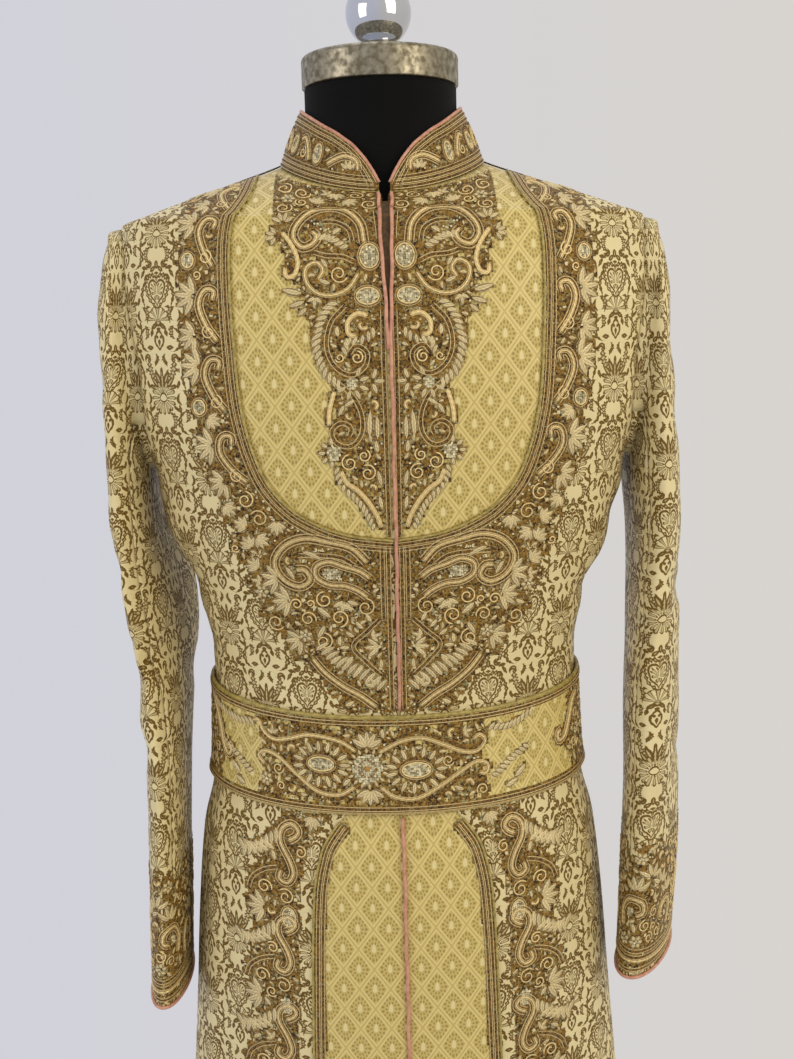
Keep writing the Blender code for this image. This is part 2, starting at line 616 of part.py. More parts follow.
def sleeve_grid(way, table, creases):
    """Outer and inner points of a sleeve, ring by ring from the armhole to the cuff."""
    ring_face, ring_normal, hole = armhole_ring(way)
    angle = 2 * math.pi * np.arange(RING_POINTS) / RING_POINTS
    outward = (1 - np.cos(angle)) / 2
    rope = outward ** 2
    side = np.array([way, 0.0, 0.0])
    first = ring_face + hole * (1.5 * GAP)
    second = ring_face + hole * SLEEVE_TURN_IN + side * (SLEEVE_TURN_IN + ROPE_OUT * rope)[:, None]
    second = second + ring_normal * (ROPE_UP * rope)[:, None]
    rings = [first, second]
    for row in table:
        reach = -row.half_width * np.cos(angle)
        depth = -row.half_depth * np.sin(angle)
        x = row.middle_x + reach + row.shear * depth
        z = row.inner + (row.outer - row.inner) * outward
        y = row.middle_y + depth
        rings.append(np.stack([way * x, y, z], axis=1))
    grid = np.array(rings)
    normal = grid_normals(grid, way)
    for crease in creases:
        apart = (angle - crease.round + math.pi) % (2 * math.pi) - math.pi
        level = grid[:, :, 2] - crease.height + crease.fall * apart[None, :]
        depth = crease.depth * bump(apart / crease.half_round)[None, :] * bump(level / crease.half_height)
        depth[:2] = 0.0
        grid = grid + normal * depth[..., None]
    normal = grid_normals(grid, way)
    normal[0] = ring_normal
    inner = grid - normal * CLOTH
    cuff = np.clip((CUFF_BAND_TOP - grid[:, :, 2]) / 0.02, 0, 1)
    outer = grid + normal * (RELIEF_CUFF * cuff)[..., None]
    return outer, inner


def grid_normals(grid, way):
    """Outward directions of a grid whose columns close on themselves."""
    round_it = np.roll(grid, -1, axis=1) - np.roll(grid, 1, axis=1)
    along_it = np.gradient(grid, axis=0)
    normal = np.cross(along_it, round_it) * way
    return normal / np.linalg.norm(normal, axis=-1, keepdims=True)


def add_sleeves():
    seam = UNDER_SLEEVE_POINTS
    sides = (("left", -1, SLEEVE_LEFT, CREASES_LEFT), ("right", 1, SLEEVE_RIGHT, CREASES_RIGHT))
    for name, way, table, creases in sides:
        outer, inner = sleeve_grid(way, table, creases)
        spans = (
            ("top", [k % RING_POINTS for k in range(seam, RING_POINTS - seam + 1)]),
            ("under", [k % RING_POINTS for k in range(-seam, seam + 1)]),
        )
        for part, columns in spans:
            face = outer[:, columns].copy()
            back = inner[:, columns].copy()
            pull_in(face, back, "first")
            pull_in(face, back, "last")
            wall_piece(f"{part}_sleeve_{name}", face, back, DAMASK)
        add_cuff_piping(name, outer)


def add_cuff_piping(name, outer):
    """A piped edge round the cuff's outside, at its lower edge."""
    edge = outer[-1]
    along = np.roll(edge, -1, axis=0) - np.roll(edge, 1, axis=0)
    along /= np.linalg.norm(along, axis=-1, keepdims=True)
    up = np.tile([0.0, 0.0, 1.0], (len(edge), 1))
    out = np.cross(along, up)
    middle = edge.mean(axis=0)
    if np.sum((edge - middle) * out) < 0:
        out = -out
    path = edge + out * (PIPING_RADIUS + 2 * GAP) + up * PIPING_RADIUS
    tube(f"cuff_piping_{name}", path, up, out, PIPING_RADIUS, PIPING_RADIUS, PINK, closed=True)


# ---------------------------------------------------------------- collar, belt and trims


def collar_grid():
    """Outer and inner points of the collar, from one front end round the back to the other."""
    neckline = np.array(NECKLINE)
    half = np.concatenate([chest_turns(neckline)[:-1], back_turns(neckline)])
    turn = np.concatenate([half, 2 * math.pi - half[-2::-1]])
    foot_outer = coat_point(turn, COLLAR_SEAT) + coat_normal(turn, COLLAR_SEAT) * 2 * GAP
    foot_inner = coat_point(turn, NECKLINE) + coat_normal(turn, NECKLINE) * 2 * GAP
    length = np.concatenate([[0.0], np.cumsum(np.linalg.norm(np.diff(foot_inner, axis=0), axis=1))])
    from_end = np.minimum(length, length[-1] - length)
    rise = read(COLLAR_RISE, "across", from_end)
    lean = (rise / rise.max())[:, None]
    ring = np.stack([np.sin(turn), -np.cos(turn), np.zeros_like(turn)], axis=1) * COLLAR_TOP_RADIUS
    ring[:, 1] += NECK_Y
    ring[:, 2] = foot_outer[:, 2] + rise
    top_outer = foot_outer + (ring - foot_outer) * np.concatenate([lean, lean, np.ones_like(lean)], axis=1)
    rows = []
    for up in (0.0, 0.33, 0.67, 1.0):
        rows.append(foot_outer + (top_outer - foot_outer) * up)
    outer = np.array(rows)
    middle = np.array([0.0, NECK_Y, 0.0])
    toward = middle - outer
    toward[..., 2] = 0.0
    toward /= np.linalg.norm(toward, axis=-1, keepdims=True)
    inner = outer + toward * STIFF_CLOTH
    inner[0] = foot_inner
    inner[1] = 0.5 * (inner[1] + foot_inner + (inner[3] - foot_inner) * 0.33)
    return outer, inner


def add_collar():
    outer, inner = collar_grid()
    wall_piece("collar", outer, inner, EMBROIDERY)
    edge = (outer[-1] + inner[-1]) / 2
    up = np.tile([0.0, 0.0, 1.0], (len(edge), 1))
    out = outer[-1] - inner[-1]
    out /= np.linalg.norm(out, axis=-1, keepdims=True)
    path = edge + up * (PIPING_RADIUS + 2 * GAP)
    tube("collar_piping", path, up, out, PIPING_RADIUS, PIPING_RADIUS, PINK)


def add_belt():
    turn = 2 * math.pi * np.arange(BELT_COLUMNS) / BELT_COLUMNS
    ease = np.maximum(np.cos(turn), 0.0) ** 1.2
    low = BELT_LOW - BELT_LOW_DIP * ease
    high = BELT_HIGH - BELT_HIGH_DIP * ease
    outer = []
    inner = []
    across = coat_point(turn, (BELT_LOW + BELT_HIGH) / 2)[:, 0]
    medallion = bump((across - BELT_MIDDLE) / BELT_MEDALLION) * (np.cos(turn) > 0)
    for row in BELT_PROFILE:
        height = low + (high - low) * row.part
        normal = coat_normal(turn, height)
        raised = BELT_RISE * medallion * bump((row.part - 0.5) / 0.22)
        face = coat_point(turn, height) + normal * BELT_SEAT
        inner.append(face)
        outer.append(face + normal * (row.thickness - 0.0005 + raised)[:, None])
    wall_piece("belt", np.array(outer), np.array(inner), YELLOW, closed=True)


def add_front_piping():
    """Piping on the edge of each front: the whole length on one, down to where the slit ends on the other."""
    for name, way, low, high in (("right", 1, HEM, PLACKET_TOP), ("left", -1, SLIT_END, PLACKET_TOP)):
        height = np.array([row for row in FRONT_ROWS if low < row <= high])
        aside = 0.0013 + read(SLIT, "across", height)
        turn = way * turn_at(aside, height)
        raised = RELIEF_PLACKET * (height > CHEST_CUTOUT[0].height)
        normal = coat_normal(turn, height)
        level = raised + PIPING_RADIUS + 2 * GAP
        if way > 0:
            above = height > BELT_HIGH + 0.005
            below = height < BELT_LOW - BELT_LOW_DIP - 0.019
            pieces = (above, below)
        else:
            pieces = (np.ones_like(height, dtype=bool),)
        for index, keep in enumerate(pieces):
            face = (coat_point(turn, height) + normal * level[:, None])[keep]
            across, out = frames(face, normal[keep])
            part = "" if way < 0 else ("_chest", "_skirt")[index]
            tube(f"front_piping_{name}{part}", face, across, out, PIPING_RADIUS, PIPING_RADIUS, PINK)


def add_bindings():
    """Narrow raised binding round the chest's U and the skirt's arch, lying on the damask."""
    chest = [row for row in FRONT_ROWS if 1.1520 < row < 1.4350]
    skirt = [row for row in FRONT_ROWS if HEM < row < 0.912]
    kinds = (("chest", chest, chest_cutout, RELIEF_BAND), ("skirt", skirt, skirt_cutout, RELIEF_BAND / 2))
    for label, rows, edge, raised in kinds:
        height = np.array(rows)
        turn = turn_at(np.maximum(edge(height), 0.004), height)
        for name, way in (("left", -1), ("right", 1)):
            line = coat_point(way * turn, height)
            normal = coat_normal(way * turn, height)
            sideways, out = frames(line, normal)
            away = np.where(np.sum(sideways * [way, 0, -0.4 if label == "chest" else 0.4], axis=-1) > 0, 1.0, -1.0)
            sideways = sideways * away[:, None]
            lift = raised + BINDING_HEIGHT / 2 + 2 * GAP
            path = line + sideways * (BINDING_WIDTH / 2 + 0.001) + out * lift
            tube(
                f"{label}_binding_{name}", path, sideways, out,
                BINDING_WIDTH / 2, BINDING_HEIGHT / 2, EMBROIDERY,
            )


# ---------------------------------------------------------------- dress form and stand


def turned(name, profile, finish, location, sides=ROUND_SIDES):
    """A solid of revolution from (radius, height) pairs, from its underside up, closed at both ends."""
    points = []
    for radius, height in profile:
        for k in range(sides):
            angle = 2 * math.pi * k / sides
            points.append((radius * math.cos(angle), radius * math.sin(angle), height))
    faces = [tuple(reversed(range(sides)))]
    for i in range(len(profile) - 1):
        for k in range(sides):
            n = (k + 1) % sides
            faces.append((i * sides + k, i * sides + n, (i + 1) * sides + n, (i + 1) * sides + k))
    top = (len(profile) - 1) * sides
    faces.append(tuple(top + k for k in range(sides)))
    return add_piece(name, points, faces, finish, DRESS_FORM, location)


def add_torso():
    """The form's body: the coat's own sections, drawn in, with flat arm plates and a round neck."""
    turn = 2 * math.pi * np.arange(FORM_COLUMNS) / FORM_COLUMNS
    body_rows = [0.81, 0.85, 0.90, 0.95, 1.0, 1.05, 1.10, 1.15, 1.20, 1.25, 1.30, 1.34, 1.37, 1.39]
    body_rows += [1.403, 1.412, 1.424, 1.434, 1.441, 1.446]
    rings = []
    floor_ring = coat_point(turn, 0.81) - coat_normal(turn, 0.81) * (CLOTH + 2.2 * FORM_CLEAR)
    floor_ring[:, 2] = FORM_END
    rings.append(floor_ring)
    for row in body_rows:
        on_shoulder = np.clip((row - 1.385) / 0.02, 0, 1) * np.clip((np.abs(np.sin(turn)) - 0.75) / 0.15, 0, 1)
        clear = FORM_CLEAR + (FORM_CONTACT - FORM_CLEAR) * on_shoulder
        ring = coat_point(turn, row) - coat_normal(turn, row) * (CLOTH + clear)[:, None]
        ring[:, 0] = np.clip(ring[:, 0], -FORM_ARM_PLATE, FORM_ARM_PLATE)
        rings.append(ring)
    last = rings[-1]
    for part, level in ((0.55, 1.452), (0.85, 1.464), (1.0, 1.480), (1.0, NECK_TOP)):
        circle = np.stack(
            [NECK_RADIUS * np.sin(turn), NECK_Y - NECK_RADIUS * np.cos(turn), np.full_like(turn, level)], axis=1
        )
        ring = last + (circle - last) * part
        ring[:, 2] = np.maximum(ring[:, 2], last[:, 2] + 0.001) if part < 1 else level
        rings.append(ring)
    grid = np.array(rings)
    count = FORM_COLUMNS
    faces = [tuple(reversed(range(count)))]
    for i in range(len(grid) - 1):
        for j in range(count):
            k = (j + 1) % count
            a, b, c, d = i * count + j, i * count + k, (i + 1) * count + k, (i + 1) * count + j
            faces.append((a, b, c))
            faces.append((a, c, d))
    top = (len(grid) - 1) * count
    faces.append(tuple(top + k for k in range(count)))
    add_piece("form_torso", grid.reshape(-1, 3), faces, JERSEY, DRESS_FORM)


def arc(radius, centre, start, end, steps):
    """(radius, height) pairs along an arc of a turned profile; angles from the horizontal, in degrees."""
    pairs = []
    for k in range(steps + 1):
        angle = math.radians(start + (end - start) * k / steps)
        pairs.append((centre[0] + radius * math.cos(angle), centre[1] + radius * math.sin(angle)))
    return pairs


def add_stand():
    cap_foot = NECK_TOP + GAP
    edge = 0.004
    rim = CAP_RADIUS - edge
    cap = [(CAP_RADIUS - 0.001, 0.0), (CAP_RADIUS, 0.001)]
    cap += arc(edge, (rim, CAP_HEIGHT - edge), 0, 90, 4)
    turned("neck_cap", cap, OLD_SILVER, (0.0, NECK_Y, cap_foot))
    finial_foot = cap_foot + CAP_HEIGHT + GAP
    ball_middle = FINIAL_FOOT_HEIGHT + FINIAL_BALL_RADIUS * 0.88
    finial = [(FINIAL_FOOT_RADIUS, 0.0), (FINIAL_FOOT_RADIUS, 0.003), (0.0140, FINIAL_FOOT_HEIGHT - 0.001)]
    finial += arc(FINIAL_BALL_RADIUS, (0.0, ball_middle), -58, 82, 7)
    turned("finial", finial, CHROME, (0.0, NECK_Y, finial_foot), sides=20)
    boss_top = BASE_HEIGHT + BOSS_HEIGHT
    pole_foot = boss_top + GAP
    pole_length = FORM_END - GAP - pole_foot
    turned("pole", [(POLE_RADIUS, 0.0), (POLE_RADIUS, pole_length)], BLACK_STEEL, (0.0, 0.0, pole_foot))
    round_edge = 0.006
    base = [(BASE_RADIUS - 0.002, 0.0), (BASE_RADIUS, 0.002)]
    base += arc(round_edge, (BASE_RADIUS - round_edge, BASE_HEIGHT - round_edge), 0, 90, 3)
    base += [(BOSS_RADIUS + 0.004, BASE_HEIGHT + 0.001), (BOSS_RADIUS, BASE_HEIGHT + 0.005)]
    base += [(BOSS_RADIUS - 0.003, boss_top - 0.003), (BOSS_RADIUS - 0.006, boss_top)]
    turned("stand_base", base, BLACK_STEEL, (0.0, 0.0, 0.0))


add_fronts()
add_chest_insets()
add_skirt_insets()
add_backs()
add_underlap()
add_sleeves()
add_collar()
add_belt()
add_front_piping()
add_bindings()
add_torso()
add_stand()
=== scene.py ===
# %% [markdown]
# # A sherwani coat on its dress form
#
# A sherwani is a long Indian coat. This one is champagne damask with panels of yellow brocade let in at
# the chest and skirt, and its edges are covered in zardozi: couched gold cord, beads, padded satin leaves
# and sequins. It stands on a black dress form without limbs.
#
# The coat could be sculpted, or simulated from flat pieces. Here every piece is worked out from a few
# measured sections instead, because then each layer, from the cloth to the smallest bead, can be laid on
# the same surface with a known lift, and nothing needs to be fitted by eye.

# %% Tools and frame
import math
from collections import namedtuple

import bpy
import numpy as np
from mathutils import Matrix, Vector


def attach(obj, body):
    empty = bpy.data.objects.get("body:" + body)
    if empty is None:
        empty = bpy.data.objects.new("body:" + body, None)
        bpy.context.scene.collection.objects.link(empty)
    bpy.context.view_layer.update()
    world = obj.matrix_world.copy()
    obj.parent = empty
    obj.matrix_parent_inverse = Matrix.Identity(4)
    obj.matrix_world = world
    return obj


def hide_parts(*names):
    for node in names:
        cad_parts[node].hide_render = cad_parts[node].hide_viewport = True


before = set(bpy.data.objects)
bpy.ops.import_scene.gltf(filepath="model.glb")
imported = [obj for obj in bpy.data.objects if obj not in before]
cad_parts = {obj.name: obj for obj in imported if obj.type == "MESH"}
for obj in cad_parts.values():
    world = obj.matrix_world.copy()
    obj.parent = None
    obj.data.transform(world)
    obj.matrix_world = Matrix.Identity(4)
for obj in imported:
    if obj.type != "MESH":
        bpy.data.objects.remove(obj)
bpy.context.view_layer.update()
ROOT = "root"
MM = 0.001


# %% [markdown]
# ## Colour and nodes
#
# Colours are written as sRGB hex, the way a dye chart gives them, and Blender's shaders want linear
# light, so one function converts them. A second one adds any node: its settings are keywords and its
# inputs are plain values or the sockets they come from. With those two, each material below reads as a
# list of what the real finish does.

# %% Colour and node helpers
def linear(colour):
    """Linear RGBA of an sRGB hex colour."""
    channels = [int(colour[k:k + 2], 16) / 255 for k in (1, 3, 5)]
    light = [c / 12.92 if c <= 0.04045 else ((c + 0.055) / 1.055) ** 2.4 for c in channels]
    return (*light, 1.0)


def feed(tree, node, inputs):
    """Gives each input of a node a value, or links it to a socket."""
    for name, value in inputs.items():
        if isinstance(value, bpy.types.NodeSocket):
            tree.links.new(value, node.inputs[name])
        else:
            node.inputs[name].default_value = value


def add(tree, kind, inputs=None, **settings):
    """Adds a node with its settings, and feeds its inputs."""
    made = tree.nodes.new("ShaderNode" + kind)
    for name, value in settings.items():
        setattr(made, name, value)
    feed(tree, made, inputs or {})
    return made


def new_finish(name):
    """An empty material, with its tree and its shader."""
    made = bpy.data.materials.new(name)
    made.use_nodes = True
    return made, made.node_tree, made.node_tree.nodes["Principled BSDF"]


print("ivory in linear light:", linear("#dccaa0"))


# %% Short formulas
def maths(operation):
    """A function that adds one Math node and gives its result."""
    def one(tree, *values):
        return add(tree, "Math", dict(enumerate(values)), operation=operation).outputs[0]
    return one


plus, minus, times, divided = map(maths, ("ADD", "SUBTRACT", "MULTIPLY", "DIVIDE"))
times_plus = maths("MULTIPLY_ADD")
lesser, greater, size_of, rounded = map(maths, ("MINIMUM", "MAXIMUM", "ABSOLUTE", "ROUND"))
sine_of, cosine_of, angle_of, root_of = map(maths, ("SINE", "COSINE", "ARCTAN2", "SQRT"))
modulo = maths("FLOORED_MODULO")
WAVE = 0.314                # scale of a wave texture whose ridges are one unit apart


def vector_of(tree, operation, *values):
    """One Vector Math node; a distance or a length is a single number."""
    made = add(tree, "VectorMath", dict(enumerate(values)), operation=operation)
    return made.outputs["Value" if operation in ("DISTANCE", "LENGTH") else "Vector"]


def parts_of(tree, vector):
    """The first two parts of a vector."""
    parts = add(tree, "SeparateXYZ", {0: vector})
    return parts.outputs["X"], parts.outputs["Y"]


def joined(tree, x, y):
    return add(tree, "CombineXYZ", {0: x, 1: y}).outputs[0]


def attribute(tree, name):
    """A value that the mesh carries: cloth_mm, the place in the flat cloth, is a vector; tone is a number."""
    return add(tree, "Attribute", attribute_name=name).outputs["Vector" if name == "cloth_mm" else "Fac"]


def noise(tree, place, scale, detail):
    return add(tree, "TexNoise", {"Vector": place, "Scale": scale, "Detail": detail}).outputs[0]


def waves(tree, place, scale, direction, distortion=0.0, detail=2.0):
    settings = {"Vector": place, "Scale": scale, "Distortion": distortion, "Detail": detail}
    return add(tree, "TexWave", settings, bands_direction=direction).outputs["Fac"]


def scaled(tree, place, *scale):
    return add(tree, "Mapping", {"Vector": place, "Scale": scale}).outputs[0]


def spread(tree, value, low, high, from_low=0.0, from_high=1.0, **settings):
    """A value moved from one range to another."""
    ranges = {"Value": value, "From Min": from_low, "From Max": from_high, "To Min": low, "To Max": high}
    return add(tree, "MapRange", ranges, **settings).outputs[0]


def soft_step(tree, value, low, high):
    """0 below low and 1 above high, or the other way round."""
    return spread(tree, value, 0.0, 1.0, low, high, interpolation_type="SMOOTHSTEP")


def mixed(tree, share, *colours):
    """Two colours mixed; each is a hex colour or a socket."""
    low, high = (linear(colour) if isinstance(colour, str) else colour for colour in colours)
    return add(tree, "Mix", {0: share, 6: low, 7: high}, data_type="RGBA").outputs[2]


def raised(tree, height, strength, millimetres):
    """The bump of a height."""
    settings = {"Height": height, "Strength": strength, "Distance": millimetres * MM}
    return add(tree, "Bump", settings).outputs[0]


print("short formulas ready")


# %% [markdown]
# ## Damask: champagne satin with a bronze figure
#
# Damask is one cloth in two weaves: a shiny satin ground and a duller figure. The figure here is a
# half-drop repeat 75 mm wide and 130 mm high. From the bottom of a column: a drop, a palmette, a heart in
# a leafy ring, a trefoil, a pair of curls, a star flower, and a crown of leaves between two acanthus
# scrolls, with leafy bows that tie one column to the next. It could be modelled, but it is flat thread,
# so it belongs in the shader.
#
# Each point's place in the flat cloth comes from an attribute called cloth_mm, in millimetres. The tree
# first folds that plane: every column is mirrored about its middle and every other one is shifted by
# half a repeat. After that, only half a figure has to be drawn, from three kinds of shape. A pointed leaf
# is the overlap of two circles. A scroll is part of a ring, thinner to its ends, with teeth for its
# leaflets. A fan is a ring cut into petals. Each gives a distance in millimetres that is below zero
# inside it, and the smallest of all those distances is the whole figure.

# %% Damask repeat
COLUMN = 37.5               # mm between figure columns; the repeat is two of them wide
REPEAT = 130.0              # mm from one heart to the next down a column
LEAF_CENTRE = 1.5           # the leaf's circle: its centre below the axis, and its radius, so that
LEAF_RADIUS = math.sqrt(1 + LEAF_CENTRE ** 2)   # the pointed ends are at 1 along the axis
LEAF_HEIGHT = LEAF_RADIUS - LEAF_CENTRE         # and the leaf's half width is this

# Places, lengths and widths are millimetres from the repeat's middle; directions are degrees.
Leaf = namedtuple("Leaf", "x y half_length half_width turn")
Ring = namedtuple("Ring", "x y half_length half_width turn thick")
Scroll = namedtuple("Scroll", "x y radius thick middle span teeth")
Fan = namedtuple("Fan", "x y inner outer petals gap")

LEAVES = (
    Leaf(0, -56.5, 2.6, 1.1, 90), Leaf(1.9, -52.0, 1.3, 1.2, 0), Leaf(0, -46.0, 1.8, 1.2, 0),  # in the drop
    Leaf(4.2, -44.0, 4.4, 1.5, 150), Leaf(0, -41.5, 3.2, 2.2, 0),                                  # calyx
    Leaf(3.6, 1.0, 3.4, 1.8, 140), Leaf(0, 4.4, 3.2, 1.8, 90), Leaf(0, -2.4, 2.4, 1.2, 0),         # trefoil
    Leaf(0, 46.0, 8.0, 2.1, 90), Leaf(4.4, 45.4, 7.6, 2.0, 68), Leaf(8.2, 42.8, 6.8, 1.9, 46),     # crown
    Leaf(10.6, 38.6, 5.4, 1.6, 22),
    Leaf(15.0, -3.0, 3.8, 1.5, 125), Leaf(10.6, -5.0, 3.0, 1.2, 145), Leaf(13.4, -31.5, 3.4, 1.4, 60),
    Leaf(10.4, -60.5, 3.6, 1.4, 5), Leaf(16.8, 21.5, 3.8, 1.4, 100), Leaf(5.0, 58.0, 3.6, 1.3, 120),
    Leaf(12.4, 1.8, 3.2, 1.3, 20), Leaf(7.6, -49.0, 2.8, 1.2, 100), Leaf(13.6, 21.8, 3.4, 1.3, 140),
    Leaf(17.0, 41.0, 3.2, 1.3, 70), Leaf(6.2, 20.5, 2.6, 1.0, 60),
)
RINGS = (Ring(0, -54.5, 8.0, 5.2, 90, 0.75), Ring(0, 30.5, 4.4, 4.0, 0, 0.45))
SCROLLS = (
    Scroll(1.0, 56.5, 12.6, 2.9, -26, 62, 24), Scroll(15.0, 60.0, 2.9, 1.7, 100, 150, 0),          # acanthus
    Scroll(16.5, 48.5, 3.6, 1.6, 60, 120, 15), Scroll(6.5, 61.5, 3.2, 1.4, 200, 100, 13),
    Scroll(4.5, 12.5, 7.0, 2.3, 0, 85, 18), Scroll(8.6, 5.8, 2.7, 1.5, 230, 120, 0),               # curls
    Scroll(17.0, -34.0, 5.4, 2.2, 170, 80, 15), Scroll(9.0, -32.0, 3.4, 1.5, 10, 120, 11),
    Scroll(17.5, -48.0, 5.2, 2.0, 185, 75, 15),
    Scroll(1.0, -19.0, 15.2, 1.5, 6, 46, 22), Scroll(25.0, 11.0, 9.2, 1.7, 180, 85, 13),    # leafy bows
    Scroll(12.5, -54.0, 9.2, 1.7, 0, 85, 13), Scroll(20.5, 30.0, 5.0, 1.2, 190, 70, 0),
)
HEART = (-20.0, 8.2)        # its middle and its radius
HEART_LINE = 0.65           # half the width of its line
LEAFLETS_OUT = 3.6          # from its line to the leaflets round it
SEEDS = Fan(0, 0, 1.6, 5.6, 10, -0.1)
STAR = Fan(0, 30.5, 5.4, 12.6, 16, -0.30)
PALMETTE = Fan(0, -40.5, 2.6, 11.0, 10, 0.05)
print("damask figure:", len(LEAVES), "leaves and", len(SCROLLS), "scrolls in half a repeat")


# %% Folded cloth plane
def folded_plane(tree, column, repeat):
    """A point of the plane, folded to half of one column's repeat."""
    x, y = parts_of(tree, attribute(tree, "cloth_mm"))
    across = divided(tree, x, column)
    number = rounded(tree, across)
    aside = size_of(tree, times(tree, minus(tree, across, number), column))
    drop = times_plus(tree, modulo(tree, number, 2.0), repeat / 2, repeat / 2)
    along = modulo(tree, plus(tree, y, drop), repeat)
    return joined(tree, aside, minus(tree, along, repeat / 2))


def leaf_distance(tree, point, row):
    """Below 0 inside a pointed leaf, in millimetres."""
    scale = row.half_width / LEAF_HEIGHT
    settings = {"Vector": point, "Location": (row.x, row.y, 0.0), "Scale": (row.half_length, scale, 1.0)}
    settings["Rotation"] = (0.0, 0.0, math.radians(row.turn))
    local = add(tree, "Mapping", settings, vector_type="TEXTURE").outputs[0]
    reach = vector_of(tree, "DISTANCE", vector_of(tree, "ABSOLUTE", local), (0.0, -LEAF_CENTRE, 0.0))
    return times_plus(tree, reach, scale, -LEAF_RADIUS * scale)


def ring_distance(tree, point, row):
    """The same leaf as an outline."""
    inside = plus(tree, leaf_distance(tree, point, row), row.thick)
    return minus(tree, size_of(tree, inside), row.thick)


def polar(tree, point, x, y):
    """Distance from a centre, and direction from it in radians."""
    local = vector_of(tree, "SUBTRACT", point, (x, y, 0.0))
    across, along = parts_of(tree, local)
    return vector_of(tree, "LENGTH", local), angle_of(tree, along, across)


def petal_wave(tree, angle, count, shift=0.0):
    """From -1 to 1 and back, a number of times round."""
    return cosine_of(tree, times_plus(tree, angle, count, shift))


def off_ring(tree, reach, radius):
    """How far a point is from a circle's line."""
    return size_of(tree, minus(tree, reach, radius))


def scroll_distance(tree, point, row):
    """Part of a ring, thinning to its ends; its teeth are leaflets."""
    reach, angle = polar(tree, point, row.x, row.y)
    facing = petal_wave(tree, angle, 1.0, -math.radians(row.middle))
    thick = spread(tree, facing, -0.4, row.thick, math.cos(math.radians(row.span)))
    if row.teeth:
        teeth = times_plus(tree, petal_wave(tree, angle, row.teeth), 0.34, 0.85)
        thick = times(tree, thick, teeth)
    return minus(tree, off_ring(tree, reach, row.radius), thick)


def fan_distance(tree, reach, angle, row):
    """A ring cut into petals with rounded ends."""
    wave = petal_wave(tree, angle, row.petals)
    middle, half = (row.inner + row.outer) / 2, (row.outer - row.inner) / 2
    off = minus(tree, times_plus(tree, wave, -0.9, off_ring(tree, reach, middle)), half)
    gap = times_plus(tree, wave, -2.2, row.gap * 2.2)
    return greater(tree, off, gap)


def heart_distance(tree, point, middle, radius):
    """A heart's outline with a ring of seeds in it and leaflets round it; its top is lifted by the root
    of x."""
    x, y = parts_of(tree, point)
    height = times_plus(tree, root_of(tree, x), -2.4, y)
    reach, angle = polar(tree, joined(tree, x, height), 0.0, middle)
    line = minus(tree, off_ring(tree, reach, radius), HEART_LINE)
    line = lesser(tree, line, fan_distance(tree, reach, angle, SEEDS))
    teeth = times_plus(tree, petal_wave(tree, angle, 20.0), 0.7, 1.25)
    leafy = off_ring(tree, reach, radius + LEAFLETS_OUT)
    return lesser(tree, line, minus(tree, leafy, teeth))


def figure_distance(tree, point):
    """Below 0 on the damask's figure, in millimetres."""
    least = heart_distance(tree, point, *HEART)
    for shapes, distance in ((LEAVES, leaf_distance), (RINGS, ring_distance), (SCROLLS, scroll_distance)):
        for row in shapes:
            least = lesser(tree, least, distance(tree, point, row))
    star = fan_distance(tree, *polar(tree, point, STAR.x, STAR.y), STAR)
    least = lesser(tree, least, star)
    reach, angle = polar(tree, point, PALMETTE.x, PALMETTE.y)
    petals = fan_distance(tree, reach, angle, PALMETTE)
    disc = minus(tree, reach, PALMETTE.outer + 1.0)
    around = greater(tree, disc, times(tree, petals, -1.0))
    below = times(tree, sine_of(tree, angle), -6.0)
    return lesser(tree, least, greater(tree, around, below))


# %% Threads
THREAD = 1.1                # mm; real threads are a quarter of this, too fine to show here


def thread_height(tree):
    """Height of the woven threads: ribs across, broken into floats."""
    place = attribute(tree, "cloth_mm")
    floats = noise(tree, scaled(tree, place, 1 / THREAD, 0.25 / THREAD, 1.0), 1.0, 2.0)
    rib = waves(tree, place, WAVE / THREAD, "Y", 1.2, 1.0)
    return times_plus(tree, rib, 0.35, floats)


# %% Damask finish
STRAY = 1.3                 # mm, how far the drawing strays from true, either way
RAGGED = 1.1                # mm, how ragged the figure's edges are


def damask():
    """Silk and metal-thread damask; the ground is satin and catches the light, the figure is duller."""
    finish, tree, shader = new_finish("champagne and bronze damask")
    point = folded_plane(tree, COLUMN, REPEAT)
    drift = add(tree, "TexNoise", {"Vector": point, "Scale": 0.16, "Detail": 1.0}).outputs["Color"]
    drift = vector_of(tree, "MULTIPLY_ADD", drift, (2 * STRAY, 2 * STRAY, 0.0), (-STRAY, -STRAY, 0.0))
    point = vector_of(tree, "ADD", point, drift)
    point = vector_of(tree, "MAXIMUM", point, (0.0, -99.0, -99.0))      # not past the mirror line
    least = figure_distance(tree, point)
    least = times_plus(tree, noise(tree, point, 0.75, 1.0), RAGGED, least)
    mask = soft_step(tree, least, 1.0, 0.65)
    vein = soft_step(tree, least, -0.65, -0.95)
    place = attribute(tree, "cloth_mm")
    cloud = noise(tree, place, 0.012, 3.0)
    slub = noise(tree, scaled(tree, place, 0.9, 0.05, 1.0), 1.0, 2.0)
    ground = mixed(tree, cloud, "#d2c18a", "#ecdda9")
    figure = mixed(tree, slub, "#513a06", "#80611c")
    figure = mixed(tree, vein, figure, mixed(tree, 0.62, figure, ground))
    feed(tree, shader, {
        "Base Color": mixed(tree, mask, ground, figure), "Roughness": spread(tree, mask, 0.42, 0.62),
        "Normal": raised(tree, thread_height(tree), 0.35, 0.35), "Specular IOR Level": 0.3,
        "Sheen Weight": 0.04, "Sheen Roughness": 0.4,
    })
    return finish


DAMASK = damask()
print("damask nodes:", len(DAMASK.node_tree.nodes))


